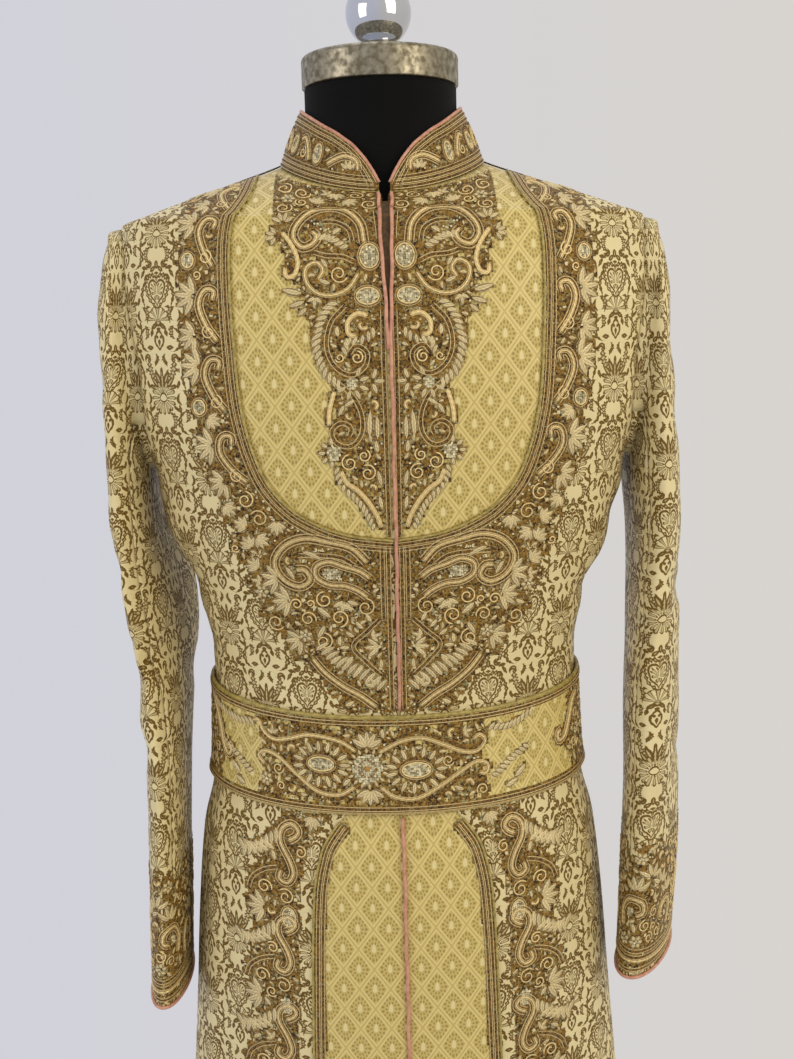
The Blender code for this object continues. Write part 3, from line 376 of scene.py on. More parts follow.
# %% [markdown]
# ## Yellow brocade: a lattice of ogees, each with a small flame
#
# The let-in panels are a smaller all-over pattern: wide pale lines cross in a lattice of diamonds 26 mm
# wide and 34 mm high, and each holds a small pale flame in two rings of olive petals. Turning the plane
# into two slanted coordinates makes every diamond a square, so rounding both gives the nearest centre.

# %% Brocade finish
LATTICE_WIDE = 25.5         # mm
LATTICE_HIGH = 34.0
BETWEEN_LINES = 1.0 / math.hypot(1 / LATTICE_WIDE, 1 / LATTICE_HIGH)
FLAME = Leaf(0, 0.9, 3.9, 1.7, 90)
FLAME_BULB = 1.9            # mm, radius of the flame's round foot
OUTER_PETALS = Fan(0, 0, 8.4, 10.1, 15, -0.35)
INNER_PETALS = Fan(0, 0, 4.9, 5.7, 10, -0.25)
SQUASH = (1.34, 1.0, 0.0)   # makes a diamond's ovals round
LINE_HALF = 2.2             # mm, half the width of a lattice line
CORNER = 13.6               # mm, where the pale corners of a diamond begin


def brocade():
    """Woven yellow gold brocade, a little glossier than the damask's figure."""
    finish, tree, shader = new_finish("yellow gold brocade")
    x, y = parts_of(tree, attribute(tree, "cloth_mm"))
    wide, high = divided(tree, x, LATTICE_WIDE), divided(tree, y, LATTICE_HIGH)
    slants = []
    for slant in (plus(tree, wide, high), minus(tree, wide, high)):
        slants.append(minus(tree, slant, rounded(tree, slant)))
    sides = [size_of(tree, slant) for slant in slants]
    edge = greater(tree, *sides)        # 0.5 on the lattice
    local = joined(tree, times(tree, plus(tree, *slants), LATTICE_WIDE / 2),
                   times(tree, minus(tree, *slants), LATTICE_HIGH / 2))
    ragged = minus(tree, noise(tree, local, 0.8, 1.0), 0.5)
    to_line = times(tree, minus(tree, 0.5, edge), BETWEEN_LINES)
    to_line = times_plus(tree, ragged, 0.9, to_line)
    core = soft_step(tree, to_line, 0.95, 0.45)
    bulb = minus(tree, vector_of(tree, "DISTANCE", local, (0.0, -0.9, 0.0)), FLAME_BULB)
    flame = soft_step(tree, lesser(tree, leaf_distance(tree, local, FLAME), bulb), 0.25, -0.25)
    reach, angle = polar(tree, vector_of(tree, "MULTIPLY", local, SQUASH), 0.0, 0.0)
    reach = times_plus(tree, ragged, 0.9, reach)
    corner = plus(tree, minus(tree, CORNER, reach), LINE_HALF)
    line = soft_step(tree, lesser(tree, to_line, corner), LINE_HALF + 0.4, LINE_HALF - 0.4)
    petals = [fan_distance(tree, reach, angle, row) for row in (OUTER_PETALS, INNER_PETALS)]
    petals = soft_step(tree, lesser(tree, *petals), 0.35, -0.35)
    colour = mixed(tree, noise(tree, local, 0.35, 2.0), "#bfa85c", "#cfb969")
    for share, tint in ((petals, "#a08a45"), (flame, "#e0cf90"), (line, "#dcc77c"), (core, "#c2ac63")):
        colour = mixed(tree, share, colour, tint)
    rough = spread(tree, greater(tree, line, flame), 0.52, 0.40)
    feed(tree, shader, {"Base Color": colour, "Roughness": rough, "Sheen Weight": 0.1,
                        "Normal": raised(tree, thread_height(tree), 0.4, 0.3)})
    return finish


BROCADE = brocade()
print("brocade nodes:", len(BROCADE.node_tree.nodes))


# %% [markdown]
# ## Zardozi: cord, beads, satin leaves and sequins
#
# The embroidery has four finishes. Gold cord is twisted metal thread, so it is partly metallic and its
# twist shows as slanting ridges; the satin has them too, and both are bumped and painted darker between
# the ridges as shade. The beads are bronze glass: dark, smooth and glossy. The leaves are satin stitch
# over padding, a shade paler and softer, with painted shade in the gap round the pad that reads as a dark
# edge. The sequins are small cups of tarnished silver. An attribute called tone, from 0 to 1, gives each
# stitch its own shade, because hand-sewn metal never matches; it also carries painted shade, dark down
# the sides of each cord and in the groove and the gap round each leaf's pad.

# %% Embroidery finishes
def tinted(name, dark, light, roughness, metallic, ridges=0.0, depth=0.5, shine=0.5):
    """A finish whose shade follows the attribute tone; ridges are slanting threads, so many a mm, and depth
    is how much darker the colour is painted between them, as shade.
    """
    finish, tree, shader = new_finish(name)
    tone = attribute(tree, "tone")
    if ridges:
        ridge = waves(tree, attribute(tree, "cloth_mm"), WAVE * ridges, "DIAGONAL", 0.6, 1.0)
        feed(tree, shader, {"Normal": raised(tree, ridge, 0.6, 0.3)})
        # painted shade: the colour is darker between the ridges of the twist
        tone = times(tree, tone, times_plus(tree, ridge, depth, 1.0 - depth))
    feed(tree, shader, {"Base Color": mixed(tree, tone, dark, light), "Roughness": roughness,
                        "Metallic": metallic, "Specular IOR Level": shine})
    return finish


CORD = tinted("gold metal-thread cord", "#5a3a0c", "#ffe4a0", 0.32, 0.15, ridges=0.45, depth=0.25, shine=0.3)
BEAD = tinted("bronze glass beads", "#3a2203", "#b98530", 0.14, 0.0)
SATIN_LEAF = tinted("padded satin stitch", "#3f2504", "#ffe9ac", 0.36, 0.05,
                    ridges=0.6, depth=0.22, shine=0.25)
SEQUIN = tinted("tarnished silver sequins", "#6a5e36", "#efe3b6", 0.40, 0.0, shine=0.3)


def stitched_ground():
    """The cloth under the beads, close-covered in tiny bronze and olive stitches, one in eight silver."""
    finish, tree, shader = new_finish("bead-stitched ground")
    cell = add(tree, "TexVoronoi", {"Vector": attribute(tree, "cloth_mm"), "Scale": 0.62}, feature="F1")
    shade, kind = parts_of(tree, cell.outputs["Color"])
    colour = mixed(tree, shade, "#221301", "#a27d33")
    colour = mixed(tree, soft_step(tree, kind, 0.87, 0.89), colour, "#9a9468")
    dome = minus(tree, 1.0, cell.outputs["Distance"])
    feed(tree, shader, {"Base Color": colour, "Roughness": 0.40, "Specular IOR Level": 0.2,
                        "Normal": raised(tree, dome, 0.9, 0.9)})
    return finish


GROUND = stitched_ground()
EMBROIDERY = (CORD, BEAD, SATIN_LEAF, SEQUIN)
print("embroidery finishes:", [finish.name for finish in EMBROIDERY], GROUND.name)


# %% [markdown]
# ## The plain finishes
#
# Satin piping edges the coat in dusty pink, a yellow satin roll tops the belt and edges the let-in
# panels, and a bronze cloth lies behind the opening. The form is covered in black cotton jersey, its neck
# ends in a cap of old silver, tarnished in spots, under a chromed ball, and it stands on black painted
# steel.

# %% Plain finishes
def spotted(name, low, high, roughness, metallic, scale, bump_mm, rough_spread=0.0):
    """A finish with soft spots of a second colour and a fine grain, in the object's own space."""
    finish, tree, shader = new_finish(name)
    spots = noise(tree, add(tree, "TexCoord").outputs["Object"], scale, 4.0)
    spots = spread(tree, spots, 0.0, 1.0, 0.35, 0.65)
    colour = mixed(tree, spots, low, high)
    feed(tree, shader, {"Base Color": colour, "Metallic": metallic, "Roughness": roughness})
    if rough_spread:
        feed(tree, shader, {"Roughness": spread(tree, spots, roughness + rough_spread, roughness)})
    if bump_mm:
        feed(tree, shader, {"Normal": raised(tree, spots, 0.5, bump_mm)})
    return finish


def jersey():
    """Cotton jersey: wales of knit loops 1.4 mm apart and courses 1 mm apart, with a soft nap."""
    finish, tree, shader = new_finish("black cotton jersey")
    place = attribute(tree, "cloth_mm")
    loops = times(tree, waves(tree, place, 0.22, "X"), waves(tree, place, 0.30, "Y"))
    # painted shade: the colour is a little darker between the knit loops than on them
    feed(tree, shader, {
        "Base Color": mixed(tree, loops, "#060606", "#0e0e0d"), "Roughness": 0.92, "Specular IOR Level": 0.15,
        "Sheen Weight": 0.03, "Normal": raised(tree, loops, 0.35, 0.2),
    })
    return finish


PIPING = spotted("dusty pink satin piping", "#bb8168", "#d59d80", 0.38, 0.0, 220.0, 0.1)
YELLOW_SATIN = spotted("yellow satin edge roll", "#8d7c3c", "#b9a558", 0.40, 0.0, 260.0, 0.1)
BRONZE_CLOTH = spotted("bronze cloth", "#5c4322", "#7d6138", 0.55, 0.0, 300.0, 0.15)
JERSEY = jersey()
OLD_SILVER = spotted("tarnished old silver", "#6e6652", "#a39b86", 0.30, 0.85, 190.0, 0.05, rough_spread=0.22)
CHROME = spotted("chromed steel", "#c9cbd0", "#d4d6da", 0.07, 1.0, 20.0, 0.0)
BLACK_STEEL = spotted("black painted steel", "#0c0c0d", "#151516", 0.38, 0.0, 140.0, 0.04)
print("plain finishes ready")


# %% [markdown]
# ## The surface everything is laid on
#
# The coat's outer face is one smooth surface. A short table gives its section at a few heights: half
# width, depth at front and back, and how square it is. Heights between rows are read off a curve that
# never overshoots, so no bump appears that nobody asked for. Folds are soft bumps added along the
# surface: the large ones of the skirt, and the smaller drag lines that a worn coat gets at the waist,
# under the arms and down its sides, uneven in length and depth.
#
# "turn" is the angle round the body: 0 at the centre front, growing towards +X, pi at the centre back.

# %% Sections of the body
NECKLINE = 1.4515
COLLAR_SEAT = 1.4498
HEM = 0.400
ARMPIT = 1.200
SHOULDER_TIP = 1.403
SIDE = math.pi / 2

Level = namedtuple("Level", "height half_width front back square drop rise")
BODY = (
    Level(0.400, 0.2140, 0.1500, 0.1500, 0.95, 0.000, 0.000),
    Level(0.640, 0.1940, 0.1380, 0.1400, 0.95, 0.000, 0.000),
    Level(0.740, 0.1870, 0.1330, 0.1360, 0.93, 0.000, 0.000),
    Level(0.810, 0.1820, 0.1300, 0.1340, 0.92, 0.000, 0.000),
    Level(0.887, 0.1735, 0.1240, 0.1270, 0.92, 0.000, 0.000),
    Level(0.925, 0.1640, 0.1150, 0.1150, 0.95, 0.000, 0.000),
    Level(0.975, 0.1590, 0.1080, 0.1080, 0.95, 0.000, 0.000),
    Level(1.022, 0.1580, 0.1070, 0.1070, 0.95, 0.000, 0.000),
    Level(1.055, 0.1600, 0.1090, 0.1090, 0.95, 0.000, 0.000),
    Level(1.090, 0.1675, 0.1140, 0.1130, 0.93, 0.000, 0.000),
    Level(1.130, 0.1800, 0.1200, 0.1180, 0.90, 0.000, 0.000),
    Level(1.180, 0.1965, 0.1260, 0.1220, 0.87, 0.000, 0.000),
    Level(1.200, 0.1985, 0.1270, 0.1230, 0.85, 0.000, 0.000),
    Level(1.219, 0.2075, 0.1275, 0.1235, 0.85, 0.000, 0.000),
    Level(1.250, 0.2165, 0.1280, 0.1240, 0.85, 0.000, 0.000),
    Level(1.300, 0.2215, 0.1250, 0.1220, 0.85, 0.000, 0.000),
    Level(1.347, 0.2255, 0.1170, 0.1150, 0.87, 0.000, 0.000),
    Level(1.381, 0.2235, 0.1070, 0.1060, 0.90, 0.000, 0.000),
    Level(1.403, 0.2185, 0.0970, 0.1000, 0.95, 0.000, 0.000),
    Level(1.412, 0.1970, 0.0945, 0.0970, 0.97, 0.006, 0.003),
    Level(1.424, 0.1630, 0.0910, 0.0910, 1.00, 0.012, 0.006),
    Level(1.436, 0.1250, 0.0890, 0.0830, 1.00, 0.020, 0.010),
    Level(1.446, 0.0940, 0.0880, 0.0760, 1.00, 0.027, 0.013),
    Level(1.4515, 0.0800, 0.0870, 0.0710, 1.00, 0.0305, 0.014),
)
Line = namedtuple("Line", "height across")
ARMHOLE = (
    Line(1.200, 0.1985), Line(1.219, 0.1993), Line(1.250, 0.2013), Line(1.300, 0.2050),
    Line(1.347, 0.2110), Line(1.381, 0.2120), Line(1.395, 0.2150), Line(1.403, 0.2185),
)
CHEST_CUTOUT = (
    Line(1.1525, 0.0000), Line(1.1545, 0.0180), Line(1.157, 0.0340), Line(1.164, 0.0550),
    Line(1.177, 0.0780), Line(1.197, 0.0960), Line(1.211, 0.1030), Line(1.237, 0.1110),
    Line(1.265, 0.1160), Line(1.300, 0.1185), Line(1.340, 0.1205), Line(1.370, 0.1210),
    Line(1.386, 0.1203), Line(1.398, 0.1188), Line(1.408, 0.1158), Line(1.418, 0.1116),
    Line(1.430, 0.1066), Line(1.4515, 0.1000),
)
SKIRT_CUTOUT = (
    Line(0.400, 0.0900), Line(0.640, 0.0800), Line(0.720, 0.0780), Line(0.800, 0.0760),
    Line(0.860, 0.0730), Line(0.895, 0.0660), Line(0.915, 0.0540), Line(0.932, 0.0360),
    Line(0.942, 0.0120), Line(0.944, 0.0000),
)
PLACKET_EDGE = (
    Line(1.1525, 0.0040), Line(1.170, 0.0080), Line(1.192, 0.0300), Line(1.213, 0.0390),
    Line(1.228, 0.0510), Line(1.250, 0.0440), Line(1.267, 0.0440), Line(1.300, 0.0570),
    Line(1.333, 0.0660), Line(1.373, 0.0800), Line(1.395, 0.0880), Line(1.4515, 0.0880),
)
BAND_EDGE = (
    Line(0.400, 0.1480), Line(0.720, 0.1330), Line(0.860, 0.1280), Line(0.905, 0.1150),
    Line(0.945, 0.0600), Line(1.006, 0.0450), Line(1.030, 0.0600), Line(1.062, 0.0860),
    Line(1.098, 0.1130), Line(1.140, 0.1250), Line(1.188, 0.1420), Line(1.236, 0.1530),
    Line(1.340, 0.1620), Line(1.4515, 0.1600),
)
SLIT = (
    Line(0.400, 0.0000), Line(1.300, 0.0000), Line(1.340, 0.0012), Line(1.380, 0.0030),
    Line(1.4515, 0.0042),
)
# Folds and creases: each a soft bump round one turn and height. fall tilts it: metres down per radian.
# A depth below zero is a trough.
Fold = namedtuple("Fold", "turn height half_turn half_height depth fall")
LARGE_FOLDS = (
    Fold(1.22, 0.48, 0.150, 0.200, 0.0060, 0), Fold(1.62, 0.46, 0.140, 0.240, -0.0055, 0),
    Fold(2.02, 0.48, 0.150, 0.230, 0.0065, 0), Fold(2.46, 0.50, 0.150, 0.250, -0.0060, 0),
    Fold(2.86, 0.46, 0.120, 0.260, 0.0050, 0), Fold(3.42, 0.48, 0.130, 0.240, 0.0055, 0),
    Fold(3.84, 0.50, 0.150, 0.250, -0.0060, 0), Fold(4.24, 0.47, 0.140, 0.220, 0.0060, 0),
    Fold(4.66, 0.46, 0.140, 0.240, -0.0055, 0), Fold(5.06, 0.49, 0.150, 0.190, 0.0060, 0),
    Fold(1.42, 1.128, 0.260, 0.018, 0.0045, 0), Fold(1.46, 1.098, 0.300, 0.014, -0.0035, 0),
    Fold(4.80, 1.150, 0.280, 0.020, 0.0035, 0), Fold(4.86, 1.110, 0.300, 0.016, -0.0030, 0),
    Fold(2.50, 1.075, 0.420, 0.016, -0.0035, 0), Fold(3.80, 1.085, 0.420, 0.016, -0.0035, 0),
)
CREASES = (
    Fold(1.28, 1.165, 0.20, 0.010, -0.0016, 0.05), Fold(1.36, 1.190, 0.16, 0.009, 0.0014, 0.07),
    Fold(1.18, 1.075, 0.24, 0.008, 0.0015, -0.03), Fold(1.30, 1.045, 0.22, 0.009, -0.0014, -0.02),
    Fold(4.98, 1.175, 0.19, 0.011, -0.0017, -0.06), Fold(5.02, 1.085, 0.24, 0.009, 0.0015, 0.04),
    Fold(4.92, 1.050, 0.20, 0.008, -0.0013, 0.02), Fold(1.16, 1.262, 0.05, 0.060, -0.0018, 0.0),
    Fold(5.13, 1.275, 0.05, 0.055, -0.0018, 0.0), Fold(1.02, 0.760, 0.06, 0.120, 0.0016, 0.0),
    Fold(1.30, 0.820, 0.07, 0.090, -0.0020, 0.1), Fold(5.22, 0.740, 0.06, 0.110, 0.0017, 0.0),
    Fold(4.99, 0.830, 0.07, 0.080, -0.0019, -0.1), Fold(2.20, 1.160, 0.30, 0.012, 0.0018, 0.02),
    Fold(4.05, 1.150, 0.32, 0.012, 0.0018, -0.03), Fold(2.75, 1.050, 0.28, 0.010, 0.0016, 0.03),
    Fold(3.52, 1.045, 0.26, 0.010, 0.0017, -0.02), Fold(2.35, 1.300, 0.06, 0.070, -0.0020, 0.0),
    Fold(3.95, 1.310, 0.06, 0.065, -0.0019, 0.0), Fold(2.62, 0.840, 0.07, 0.090, 0.0022, 0.0),
    Fold(3.66, 0.850, 0.07, 0.085, 0.0021, 0.0), Fold(1.85, 0.840, 0.07, 0.080, -0.0020, 0.0),
    Fold(4.42, 0.835, 0.07, 0.085, -0.0021, 0.0),
)
print("sections:", len(BODY), "large folds:", len(LARGE_FOLDS), "creases:", len(CREASES))


# %% Reading a table
def smooth(x, y, at):
    """y at the places given, as a smooth curve that never overshoots its rows."""
    x = np.asarray(x, float)
    y = np.asarray(y, float)
    slope = np.diff(y) / np.diff(x)
    tangent = np.zeros_like(y)
    tangent[0], tangent[-1] = slope[0], slope[-1]
    same_way = slope[:-1] * slope[1:] > 0
    total = np.where(same_way, slope[:-1] + slope[1:], 1.0)
    tangent[1:-1] = np.where(same_way, 2.0 * slope[:-1] * slope[1:] / total, 0.0)
    inside = np.clip(np.asarray(at, float), x[0], x[-1])
    k = np.clip(np.searchsorted(x, inside, side="right") - 1, 0, len(x) - 2)
    width = x[k + 1] - x[k]
    t = (inside - x[k]) / width
    return (
        y[k] * (1 + 2 * t) * (1 - t) ** 2 + tangent[k] * width * t * (1 - t) ** 2
        + y[k + 1] * t * t * (3 - 2 * t) - tangent[k + 1] * width * t * t * (1 - t)
    )


def read_columns(table, places, at, *columns):
    """Some columns of a table whose rows are at the places given, read anywhere between."""
    return [smooth(places, [getattr(row, column) for row in table], at) for column in columns]


def read(table, column, at):
    """One column of a table with heights, at any heights."""
    return read_columns(table, [row.height for row in table], at, column)[0]


def bump(distance):
    """1 at 0, falling smoothly to 0 at 2."""
    return np.where(np.abs(distance) < 2.0, np.cos(np.clip(distance, -2, 2) * math.pi / 4) ** 2, 0.0)


def unit(vectors):
    return vectors / np.linalg.norm(vectors, axis=-1, keepdims=True)


def lengths_along(path):
    """Length from a path's first point to each of its points."""
    return np.concatenate([[0.0], np.cumsum(np.linalg.norm(np.diff(path, axis=0), axis=1))])


# %% The coat's surface
def plain_point(turn, height):
    """The outer face of the cloth without its folds."""
    turn, height = np.broadcast_arrays(np.asarray(turn, float), np.asarray(height, float))
    sine, cosine = np.sin(turn), np.cos(turn)
    square = read(BODY, "square", height)
    depth = np.where(cosine > 0, -read(BODY, "front", height), read(BODY, "back", height))
    x = read(BODY, "half_width", height) * np.sign(sine) * np.abs(sine) ** square
    y = depth * np.abs(cosine) ** square
    z = (
        height - read(BODY, "drop", height) * np.maximum(cosine, 0) ** 1.5
        + read(BODY, "rise", height) * np.maximum(-cosine, 0) ** 1.5
    )
    return np.stack([x, y, z], axis=-1)


def coat_point(turn, height):
    """The outer face of the cloth."""
    turn, height = np.broadcast_arrays(np.asarray(turn, float), np.asarray(height, float))
    out = np.zeros(turn.shape)
    for fold in LARGE_FOLDS + CREASES:
        apart = (turn - fold.turn + math.pi) % (2 * math.pi) - math.pi
        level = height - fold.height + fold.fall * apart
        out += fold.depth * bump(apart / fold.half_turn) * bump(level / fold.half_height)
    aside = np.stack([np.sin(turn), -np.cos(turn), np.zeros_like(out)], axis=-1)
    return plain_point(turn, height) + aside * out[..., None]


def coat_normal(turn, height):
    """The direction straight out of the cloth."""
    step = 1e-4
    round_it = coat_point(turn + step, height) - coat_point(turn - step, height)
    up_it = coat_point(turn, np.minimum(height + step, NECKLINE)) - coat_point(turn, height - step)
    return unit(np.cross(round_it, up_it))


def turn_at(across, height):
    """The turn, on the front, of a point at a distance across from the centre front."""
    part = np.clip(across / read(BODY, "half_width", height), -1.0, 1.0)
    return np.sign(part) * np.arcsin(np.abs(part) ** (1.0 / read(BODY, "square", height)))


def chest_cutout(height):
    """Half width of the U cut out of the chest; 0 below it."""
    return np.where(height > CHEST_CUTOUT[0].height, read(CHEST_CUTOUT, "across", height), 0.0)


def skirt_cutout(height):
    """Half width of the arch cut out of the skirt; 0 above it."""
    return np.where(height < SKIRT_CUTOUT[-1].height, read(SKIRT_CUTOUT, "across", height), 0.0)


def side_edge(height):
    """The turn where a front ends: the side seam, the armhole or the shoulder seam."""
    in_armhole = (height > ARMPIT) & (height < SHOULDER_TIP)
    return np.where(in_armhole, turn_at(read(ARMHOLE, "across", height), height), SIDE)


OVER_SHOULDER = 1.38        # above this the cloth is measured up its slope, and not by height


def cloth_millimetres(turn, height, from_turn):
    """Each point's place in the flat cloth, in millimetres: round the body from a turn, and up. Over the
    shoulder the grain keeps its distance across and follows the slope."""
    parts = np.linspace(0.0, 1.0, 15)
    low = np.minimum(height, OVER_SHOULDER)
    turns = from_turn + (turn - from_turn)[..., None] * parts
    path = coat_point(turns, np.broadcast_to(low[..., None], turns.shape))
    length = np.hypot(np.diff(path[..., 0], axis=-1), np.diff(path[..., 1], axis=-1)).sum(axis=-1)
    side = np.sign(turn - from_turn)
    quarter = abs(from_turn) + (SIDE - abs(from_turn)) * np.linspace(0, 1, 91)
    base = plain_point(quarter, OVER_SHOULDER)
    rows = lengths_along(base[:, :2])
    here = plain_point(turn, height)
    across = np.abs(here[..., 0])
    level_y = np.interp(across, base[:, 0], base[:, 1])
    slope = np.hypot(here[..., 1] - level_y, here[..., 2] - OVER_SHOULDER)
    over = height > OVER_SHOULDER
    length = np.where(over, np.interp(across, base[:, 0], rows), length)
    up = np.where(over, OVER_SHOULDER + slope, here[..., 2])
    return np.stack([side * length, up], axis=-1) / MM


print("waist half width:", round(float(coat_point(SIDE, 1.0)[0]), 4), "m")


# %% [markdown]
# ## Making a sheet of cloth
#
# A sheet is a grid of points turned into quads, with Blender's Solidify giving it its thickness inwards.
# The edges that meet another piece roll in a little, as a pressed seam does, so the joins read as seams
# and not as drawn lines.

# %% Mesh and sheet helpers
ALL_PIECES = {}
SIDES = (("left", -1), ("right", 1))


def new_mesh(name, points, groups, finishes, cloth_mm=None, tone=None):
    """A mesh from points and groups of (faces, finish number); faces of a group have one size."""
    corners = np.concatenate([np.asarray(faces, np.int32).ravel() for faces, _ in groups])
    sizes = np.concatenate([np.full(len(faces), np.asarray(faces).shape[1]) for faces, _ in groups])
    numbers = np.concatenate([np.full(len(faces), number) for faces, number in groups])
    mesh = bpy.data.meshes.new(name)
    mesh.vertices.add(len(points))
    mesh.vertices.foreach_set("co", np.ascontiguousarray(points, np.float32).ravel())
    mesh.loops.add(len(corners))
    mesh.loops.foreach_set("vertex_index", corners)
    mesh.polygons.add(len(sizes))
    starts = np.concatenate([[0], np.cumsum(sizes)[:-1]]).astype(np.int32)
    mesh.polygons.foreach_set("loop_start", starts)
    mesh.polygons.foreach_set("material_index", numbers.astype(np.int32))
    mesh.polygons.foreach_set("use_smooth", np.ones(len(sizes), bool))
    for finish in finishes:
        mesh.materials.append(finish)
    mesh.update(calc_edges=True)
    if cloth_mm is not None:
        place = np.zeros((len(points), 3), np.float32)
        place[:, :2] = np.asarray(cloth_mm).reshape(-1, 2)
        mesh.attributes.new("cloth_mm", "FLOAT_VECTOR", "POINT").data.foreach_set("vector", place.ravel())
    if tone is not None:
        shade = np.ascontiguousarray(tone, np.float32).ravel()
        mesh.attributes.new("tone", "FLOAT", "POINT").data.foreach_set("value", shade)
    made = bpy.data.objects.new(name, mesh)
    bpy.context.scene.collection.objects.link(made)
    ALL_PIECES[name] = made
    return made


def grid_faces(rows, columns, closed=False, flip=False):
    """Quads of a grid of points given row by row."""
    wide = columns if closed else columns - 1
    i, j = np.meshgrid(np.arange(rows - 1), np.arange(wide), indexing="ij")
    k = (j + 1) % columns
    low, high = i * columns, (i + 1) * columns
    faces = np.stack([low + j, low + k, high + k, high + j], axis=-1).reshape(-1, 4)
    return faces[:, ::-1] if flip else faces


def faces_inward(points, normals):
    """True where a grid's quads have to be flipped to face along the normals."""
    a = points[1:, :-1] - points[:-1, :-1]
    b = points[:-1, 1:] - points[:-1, :-1]
    return float(np.sum(np.cross(b, a) * normals[:-1, :-1])) < 0


def seat(piece, slot, *nodes):
    """The piece rides with the coat and stands for CAD nodes; slot is not used."""
    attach(piece, ROOT)
    if nodes:
        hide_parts(*nodes)
    return piece


CLOTH = 0.0022              # brocade with its interlining and lining


def sheet_of_cloth(node, points, normals, cloth_mm, finish, slot, thick=CLOTH):
    """A cloth panel that stands for a CAD node: a grid of points with a thickness inwards."""
    faces = grid_faces(*points.shape[:2], flip=faces_inward(points, normals))
    piece = new_mesh(f"{node}_cloth", points.reshape(-1, 3), [(faces, 0)], [finish], cloth_mm)
    solid = piece.modifiers.new("thickness", "SOLIDIFY")
    solid.thickness = thick
    solid.offset = -1.0
    solid.use_even_offset = False
    return seat(piece, slot, node)


SEAM_ROLL = 0.0007          # how far a pressed seam's edge rolls in
SEAM_WIDTH = 0.0028
GAP = 0.0003
EDGE_STEPS = np.array([0.004, 0.012, 0.026])    # extra columns near a panel's edge, as parts of its width


def seam_roll(distance):
    """How far a point is rolled in, by its distance from a seam."""
    return SEAM_ROLL * np.exp(-(distance / SEAM_WIDTH) ** 2)


def columns_between(first, last, count):
    """A grid of turns from first to last, a row for each, with extra columns close to both ends."""
    parts = np.concatenate([np.linspace(0, 1, count), EDGE_STEPS, 1 - EDGE_STEPS])
    return first[:, None] + (last - first)[:, None] * np.unique(np.round(parts, 5))[None, :]


def edge_distance(points, sides):
    """Distance from each point of a grid to its first and last columns."""
    step = np.linalg.norm(np.diff(points, axis=1), axis=-1)
    along = np.concatenate([np.zeros((len(points), 1)), np.cumsum(step, axis=1)], axis=1)
    distance = np.full(points.shape[:2], 1.0)
    if "first" in sides:
        distance = np.minimum(distance, along)
    if "last" in sides:
        distance = np.minimum(distance, along[:, -1:] - along)
    return distance


def add_pair(part, rows, turns, finish, slot, middle=0.0, lift=0.0, seams=("first", "last")):
    """The left and the right panel of a part, over a grid of turns with a row for each height. Its cloth
    is measured from the turn called middle."""
    height = np.repeat(rows[:, None], turns.shape[1], axis=1)
    for name, way in SIDES:
        turn = way * turns
        points, normals = coat_point(turn, height), coat_normal(turn, height)
        cloth_mm = cloth_millimetres(turn, height, way * middle)
        points = points + normals * (lift - seam_roll(edge_distance(points, seams)))[..., None]
        sheet_of_cloth(f"{part}_{name}", points, normals, cloth_mm, finish, slot)


# %% [markdown]
# ## Body panels
#
# A tailor cuts each front in one from shoulder to hem, with a U cut out of the chest and an arch out of
# the skirt, and lets the yellow brocade into both. The grids follow that cut: their first column runs
# along the cut-outs and their last along the side seam, armhole and shoulder. Rows are closer together
# where the cut-outs turn. The same function makes left and right, mirrored by the sign of the turn.

# %% Fronts
TOP_OF_FRONT = 1.4431       # where the U's edge reaches the shoulder seam
CHEST_BASE = 1.1525         # where the U's rows begin, a little below its lowest point


def heights(low, high, step, *crowded):
    """Heights from low to high, with extra rows in each (from, to, step) band."""
    rows = [np.linspace(low, high, int(round((high - low) / step)) + 1)]
    rows += [np.arange(start, end, fine) for start, end, fine in crowded]
    return np.unique(np.round(np.concatenate(rows), 6))


FRONT_HEIGHTS = heights(
    HEM, TOP_OF_FRONT, 0.009, (0.900, 0.944, 0.0016), (0.9415, 0.9446, 0.0005),
    (1.150, 1.166, 0.0007), (1.166, 1.200, 0.002), (1.396, 1.4404, 0.002), (1.4404, 1.4431, 0.0004),
)


def add_fronts():
    rows = FRONT_HEIGHTS
    inner = np.maximum(chest_cutout(rows) + skirt_cutout(rows), read(SLIT, "across", rows))
    add_pair("front", rows, columns_between(turn_at(inner, rows), side_edge(rows), 36), DAMASK, "damask")


add_fronts()
print("fronts:", len(FRONT_HEIGHTS), "rows")

# %% Let-in brocade panels
INSET_SINK = 0.0005         # let-in cloth lies a little below the fronts
NARROWEST = 0.0006          # half width left at the U's lowest point


def add_chest_insets():
    rows = heights(CHEST_BASE, NECKLINE, 0.006, (1.153, 1.166, 0.0008), (1.166, 1.200, 0.0025),
                   (1.396, 1.4404, 0.004), (1.4404, 1.4436, 0.0003))
    first = turn_at(read(SLIT, "across", rows), rows)
    last = turn_at(np.maximum(chest_cutout(rows), NARROWEST), rows)
    add_pair("chest_inset", rows, columns_between(first, last, 30), BROCADE, "yellow_brocade",
             lift=-INSET_SINK, seams=("last",))


def add_skirt_insets():
    rows = heights(HEM, 0.9415, 0.006, (0.900, 0.9415, 0.0018))
    last = turn_at(skirt_cutout(rows), rows)
    add_pair("skirt_inset", rows, columns_between(0 * last, last, 22), BROCADE, "yellow_brocade",
             lift=-INSET_SINK)


add_chest_insets()
add_skirt_insets()
print("insets made")

# %% Backs and underlap
UNDERLAP_HALF_WIDTH = 0.022
UNDERLAP_TOP = 1.430
UNDERLAP_IN = 0.0035        # how far it lies inside the fronts' outer face


def add_backs():
    rows = heights(HEM, NECKLINE, 0.0095, (1.396, 1.4515, 0.003))
    turns = columns_between(math.pi - side_edge(rows), np.full_like(rows, math.pi), 34)
    add_pair("back", rows, turns, DAMASK, "damask", middle=math.pi)


